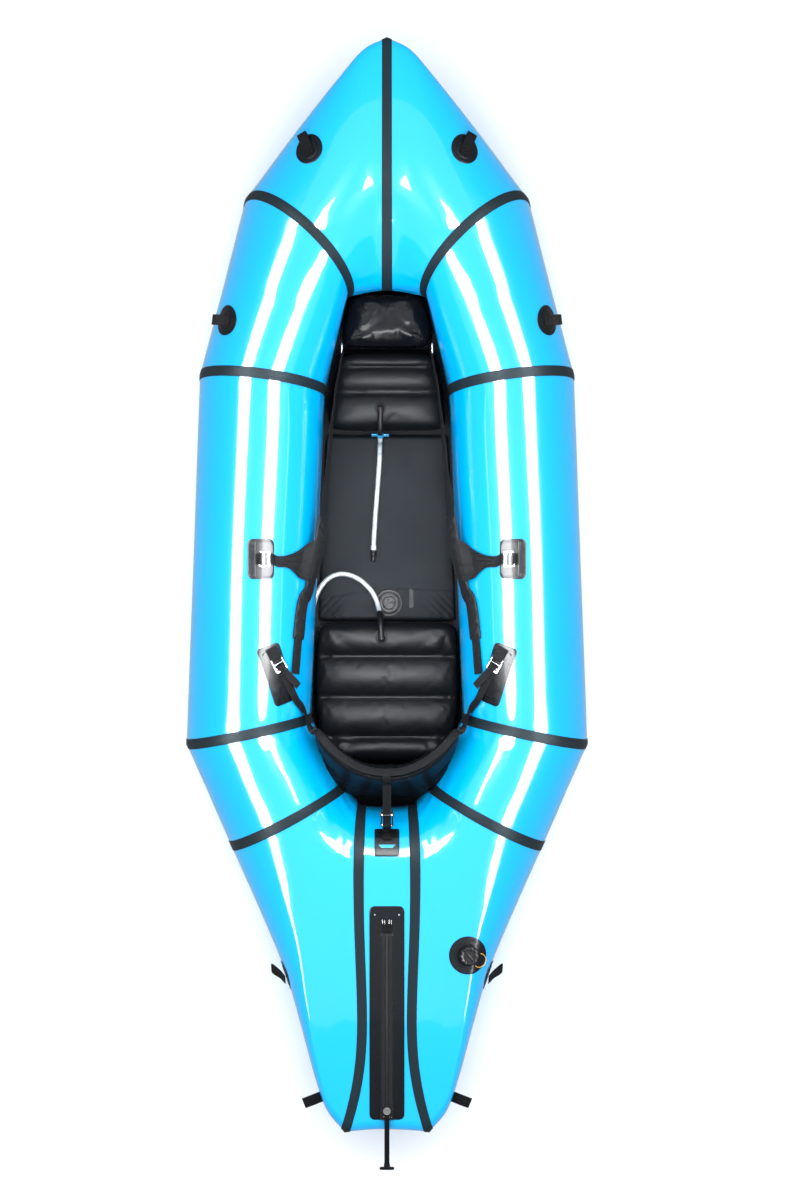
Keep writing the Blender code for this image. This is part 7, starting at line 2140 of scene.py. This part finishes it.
@dataclass
class FloorMat:
    """The inflated floor mat, with the flap across its aft end, a sewn tab, and its flat valve."""

    ends: tuple = (0.3495, -0.079)
    halves: tuple = (0.1395, 0.1575)
    low: float = 0.0016
    high: float = 0.024
    end_radius: float = 0.011
    tab: tuple = (0.056, -0.028, 0.0252)
    valve: tuple = (0.0046, -0.0375, 0.0257)
    flap: tuple = ((-0.158, -0.033), (-0.142, -0.0287), (-0.0275, -0.0046), (0.0551, -0.0057), (0.158, -0.01))

    def form(self, rows: int = 150, columns: int = 160) -> Shell:
        """Return the closed mat: flat underneath, crowned on top, with the flap's edge as a low step."""
        share, y, draw = rounded_ends(self.ends, self.end_radius, rows, 0.01)
        half = self.halves[0] + (self.halves[1] - self.halves[0]) * share - draw
        middle, reach = np.full(1, (self.low + self.high) / 2), (self.high - self.low) / 2
        x, z, _, s = superellipse(half, middle, np.maximum(reach - draw, 0.0006), (0.3, 0.55), columns)
        along = np.broadcast_to(y[:, None], x.shape)
        upper = step(0.05, 0.6, s) * np.ones_like(x)
        line = np.interp(x, *np.array(self.flap).T)
        lift = step(-0.0012, 0.0016, line - along) * 0.0014 - np.exp(-((along - line - 0.002) / 0.0016) ** 2) * 0.001
        pinch = sum(np.exp(-(((x - side * 0.118) / 0.03) ** 2 + ((along + 0.052) / 0.03) ** 2))
                    * np.cos((x * side + along) / 0.003) for side in (-1, 1)) * 0.0016
        slow = creases(along, x, 0.14, 5) * 0.00045
        return grid(np.stack([x, along, z + upper * (lift + pinch + slow - 0.0014)], axis=-1), around=True, ends=True)

    def build(self) -> None:
        """Build the mat, the tab and the valve."""
        made = put("mat", self.form(), "floor_mat_bladder", "floor_mat", sharp=180)
        tab = plate((0.01, 0.046, 0.002, 80), (0.0014, 0.0005, 8), *self.tab)
        put("bladder", tab, "floor_mat_tab", slot="tape_black")
        rows = sewn([((self.tab[0] + x, -0.0485), (self.tab[0] + x, -0.0075)) for x in (-0.0035, 0.0035)], 0.026, 20)
        put("thread", rows, "floor_mat_sewing", slot="tape_black")
        body = turned([(0.0, 0.0), (0.0298, 0.0), (0.03, 0.0006), (0.0296, 0.0012), (0.024, 0.0014), (0.0232, 0.002),
                       (0.02, 0.0021), (0.0192, 0.0015), (0.0165, 0.0016), (0.016, 0.003), (0.015, 0.0034),
                       (0.014, 0.0034)], 72)
        cap = turned([(0.014, 0.003), (0.0142, 0.0056), (0.0132, 0.0068), (0.01, 0.0069), (0.0092, 0.0062),
                      (0.005, 0.0061), (0.0, 0.0063)], 90, 12, 0.0009, (1, 2))
        bar = block((0.02, 0.0034, 0.0022), 0.0009, shift(z=0.0066) @ spin(30))
        put("plastic", (body + cap + bar).moved(shift(*self.valve)), "floor_mat_valve", "mat_valve")


FOOT_HOSE_ROUTE = (
    (-0.015, 0.405, 0.14), (-0.0151, 0.395, 0.1402), (-0.0152, 0.385, 0.14), (-0.0154, 0.3715, 0.1381),
    (-0.0156, 0.359, 0.1328), (-0.0158, 0.3482, 0.1241), (-0.0159, 0.3398, 0.113), (-0.016, 0.3344, 0.0999),
    (-0.0161, 0.3326, 0.0865), (-0.0162, 0.3308, 0.073), (-0.0164, 0.3254, 0.0602), (-0.0167, 0.317, 0.0496),
    (-0.0171, 0.3062, 0.04), (-0.0176, 0.2936, 0.0344), (-0.0182, 0.28, 0.032), (-0.02, 0.256, 0.0316),
    (-0.0218, 0.232, 0.0316), (-0.0236, 0.208, 0.0316), (-0.0254, 0.184, 0.0316), (-0.0272, 0.16, 0.0316),
    (-0.0288, 0.136, 0.032), (-0.0302, 0.11, 0.0332), (-0.0312, 0.084, 0.0346),
)
SEAT_HOSE_ROUTE = (
    (-0.0126, -0.1228, 0.099), (-0.0132, -0.114, 0.0993), (-0.0138, -0.105, 0.099), (-0.0145, -0.0896, 0.0963),
    (-0.0152, -0.0761, 0.0885), (-0.016, -0.0664, 0.0768), (-0.017, -0.06, 0.064), (-0.0184, -0.0535, 0.052),
    (-0.0208, -0.044, 0.0428), (-0.0248, -0.0318, 0.0368), (-0.031, -0.0184, 0.0338), (-0.0392, -0.0064, 0.0322),
    (-0.05, 0.0052, 0.0316), (-0.064, 0.0164, 0.0316), (-0.0803, 0.0246, 0.0316), (-0.0965, 0.0286, 0.0316),
    (-0.1125, 0.0284, 0.0316), (-0.128, 0.0232, 0.0318), (-0.142, 0.0128, 0.0324), (-0.1552, -0.0048, 0.032),
    (-0.1648, -0.026, 0.0296), (-0.1706, -0.049, 0.0246), (-0.1738, -0.072, 0.0186), (-0.1754, -0.095, 0.014),
    (-0.176, -0.118, 0.0112),
)


@dataclass
class InflationHose:
    """A hose to blow up a cushion: a nipple, a black sleeve, clear tubing, a white end and a mouthpiece."""

    name: str
    route: tuple
    sleeve_end: float
    clip: bool = False
    diameter: float = 0.011

    def frame_at(self, place: Array, ahead: Array) -> Array:
        """Return a frame at a place, whose Z looks ahead."""
        ahead = unit(ahead)
        side = unit(np.cross(UPWARDS if abs(ahead[2]) < 0.9 else (0.0, 1.0, 0.0), ahead))
        return framed(side, np.cross(ahead, side), ahead, place)

    def build(self) -> None:
        route = np.array(self.route)
        path = smooth(route, 260)
        run = distances(path)
        radius = self.diameter / 2
        hose = f"{self.name}_hose"
        made = put("tubing", tube(path, radius, 18), f"{hose}_tubing", hose, sharp=60)
        last = int(np.argmin(np.abs(run - self.sleeve_end)))
        lane = path[:last + 1]
        reach = np.full(len(lane), radius + 0.0008)
        reach[:3] = radius + np.array((0.0012, 0.0014, 0.0012))
        reach[-3:] = radius + np.array((0.0012, 0.0013, 0.0009))
        sleeve = put("plastic", tube(lane, reach, 20), f"{self.name}_hose_sleeve", sharp=60)
        mouth = self.mouthpiece(route)
        pieces = [sleeve, mouth, self.end(path, run), self.nipple(route)]
        if self.clip:
            pieces.append(self.grip(path[last], path[last] - path[last - 3]))

    def nipple(self, route: Array) -> bpy.types.Object:
        """Build the welded disc and the elbow that the hose is pushed on."""
        start = route[0]
        disc = turned([(0.0, -0.0086), (0.013, -0.0086), (0.0134, -0.008), (0.0126, -0.0072), (0.0088, -0.0066),
                       (0.0078, -0.005), (0.0072, 0.0005), (0.0064, 0.0046), (0.004, 0.0066), (0.0, 0.0072)], 40)
        frame = shift(*(start + np.array((0.0, 0.0035, 0.0))))
        return put("plastic", disc.moved(frame), f"{self.name}_hose_nipple")

    def end(self, path: Array, run: Array) -> bpy.types.Object:
        """Build the white ring at the tubing's end."""
        first = int(np.argmin(np.abs(run - (run[-1] - 0.011))))
        lane = path[first:]
        reach = np.full(len(lane), self.diameter / 2 + 0.0007)
        reach[0] -= 0.0004
        return put("white", tube(lane, reach, 20), f"{self.name}_hose_end", sharp=60)

    def mouthpiece(self, route: Array) -> bpy.types.Object:
        """Build the mouthpiece: a barrel with a ribbed collar, and a narrow tip with a bore."""
        ahead = unit(route[-1] - route[-2])
        frame = self.frame_at(route[-1] + ahead * 0.0002, ahead)
        profile = [(0.0, 0.0), (0.006, 0.0), (0.0066, 0.0005), (0.0067, 0.0044), (0.0064, 0.0052), (0.0072, 0.0062),
                   (0.0077, 0.0072), (0.0077, 0.0092), (0.0072, 0.0098), (0.0072, 0.0104), (0.0077, 0.011),
                   (0.0076, 0.012), (0.0064, 0.0128), (0.0054, 0.014), (0.005, 0.016), (0.0049, 0.0236),
                   (0.0045, 0.0254), (0.0036, 0.026), (0.0024, 0.0258), (0.0022, 0.02), (0.0, 0.02)]
        shell = turned(profile, 72, 18, 0.0005, (6, 7, 10, 11)).moved(frame)
        name = f"{self.name}_mouthpiece"
        return put("plastic", shell, f"{name}_valve", name, body=name)

    def grip(self, place: Array, ahead: Array) -> bpy.types.Object:
        """Build the blue pinch clip: a ring round the hose and two thin wings."""
        frame = self.frame_at(place, ahead)
        ring = turned([(0.0058, -0.0045), (0.0076, -0.004), (0.008, 0.0), (0.0076, 0.004), (0.0058, 0.0045)], 32)
        wings = [block((0.013, 0.0024, 0.007), 0.001, shift(x=side * 0.0125)) for side in (-1, 1)]
        wings += [block((0.003, 0.004, 0.0076), 0.0012, shift(x=side * 0.0182)) for side in (-1, 1)]
        return put("clip", joined([ring, *wings]).moved(frame), f"{self.name}_hose_clip")


@dataclass
class Studio:
    """The pale floor, the soft lights and the camera over the raft."""

    camera_height: float = 24.0
    sensor: float = 24.0
    panel_height: float = 0.92
    panel: float = 1.0
    strip: float = 30.0
    fill: float = 2.3
    sky: float = 0.5

    def build(self) -> None:
        """Build the stage: a panel over the raft with bright strips in it, a wide fill, and the camera."""
        self.floor()
        self.world()
        self.softbox("panel", (0.0, 0.05, self.panel_height), (1.1, 2.3), self.panel)
        for name, x, y, size, spread in (
                ("left", -0.76, -0.05, (0.34, 2.2), 110), ("right", 0.76, -0.05, (0.34, 2.2), 110),
                ("middle", 0.0, 0.075, (0.28, 0.77), 90),
                ("bow_left", -0.155, 0.81, (0.08, 0.12), 110), ("bow_right", 0.155, 0.81, (0.08, 0.12), 110)):
            lamp = self.softbox(f"strip_{name}", (x, y, self.panel_height - 0.01), size, self.strip)
            lamp.data.spread = math.radians(spread)
            lamp.visible_diffuse = False
        self.softbox("fill_light", (0.0, 0.0, 3.4), (5.0, 5.4), self.fill).visible_glossy = False
        self.camera()

    def floor(self) -> None:
        """Build the floor: a wide level plane."""
        share = np.linspace(-1, 1, 9)
        x, y = np.meshgrid(share * 40.0, share * 40.0, indexing="ij")
        points = np.stack([x, y, np.full(x.shape, -0.0004)], axis=-1)
        sheet = NodeSheet("studio_floor")
        colour = sheet.mix(sheet.noise(1.3), (0.93, 0.93, 0.93), (0.95, 0.95, 0.95))
        shell = grid(points)
        mesh = bpy.data.meshes.new("studio_floor")
        mesh.from_pydata(shell.points, [], shell.faces.tolist())
        mesh.shade_smooth()
        mesh.materials.append(sheet.surface(Base_Color=colour, Roughness=0.9))
        made = bpy.data.objects.new("studio_floor", mesh)
        bpy.context.scene.collection.objects.link(made)
        made.visible_glossy = False

    def world(self) -> None:
        """Light everything softly from all round, and show colours as they are."""
        bpy.context.scene.view_settings.view_transform = "Standard"
        world = bpy.data.worlds.new("studio")
        world.use_nodes = True
        back = world.node_tree.nodes["Background"]
        back.inputs["Color"].default_value = (0.98, 0.99, 1.0, 1.0)
        back.inputs["Strength"].default_value = self.sky
        bpy.context.scene.world = world

    def softbox(self, name: str, place: Sequence, size: Sequence, radiance: float) -> bpy.types.Object:
        """Hang a flat light that faces down; its power is pi x area x radiance."""
        lamp = bpy.data.lights.new(name, "AREA")
        lamp.shape = "RECTANGLE"
        lamp.size, lamp.size_y = size
        lamp.energy = math.pi * size[0] * size[1] * radiance
        made = bpy.data.objects.new(name, lamp)
        made.location = place
        bpy.context.scene.collection.objects.link(made)
        return made

    def camera(self) -> None:
        """Hang the camera straight over the middle of the photograph, with the bow at the top."""
        lens = bpy.data.cameras.new("overhead")
        lens.sensor_fit = "VERTICAL"
        lens.sensor_height = self.sensor
        lens.lens = self.sensor * (self.camera_height - TUBE_LEVEL) / (PHOTO_HEIGHT * METRES_PER_PIXEL)
        made = bpy.data.objects.new("overhead", lens)
        made.location = ((PHOTO_WIDTH / 2 - MIDDLE_COLUMN) * METRES_PER_PIXEL,
                         (MIDDLE_ROW - PHOTO_HEIGHT / 2) * METRES_PER_PIXEL, self.camera_height)
        bpy.context.scene.collection.objects.link(made)
        bpy.context.scene.camera = made


def main() -> None:
    """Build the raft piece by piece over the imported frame."""
    logging.basicConfig(level=logging.INFO, format="%(message)s")
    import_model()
    studio = Studio()
    studio.build()
    InflationHose("foot", FOOT_HOSE_ROUTE, 0.062, clip=True).build()
    InflationHose("seat", SEAT_HOSE_ROUTE, 0.078).build()
    hull = Hull()
    hull.build_panels()
    hull.build_tapes()
    hull.build_floor()
    ground = hull.ground()
    for tie_down in (TieDown("bow_tie_down", 0.1778, 0.9969, (0.51, 0.86)),
                     TieDown("shoulder_tie_down", 0.3671, 0.6086, (1.0, 0.12)),
                     TieDown("stern_tie_down", 0.237, -0.892, (1.0, -0.06))):
        tie_down.build(ground)
    SternLoops().build()
    AirValve().build(ground)
    CargoZip().build(ground)
    hook = KneePatch().build(ground)
    ThighStraps().build(ground, hook)
    hip = HipPatch()
    hip.build(ground)
    straps = BackStraps()
    straps.side_straps(ground, hip.lock_frame())
    straps.rear(ground)
    air = Inflation()
    for bladder, finish in cockpit_bladders():
        bladder.build(air, finish)
    FloorMat().build()
    Backrest().build(air)
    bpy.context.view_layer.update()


if __name__ == "__main__":
    main()
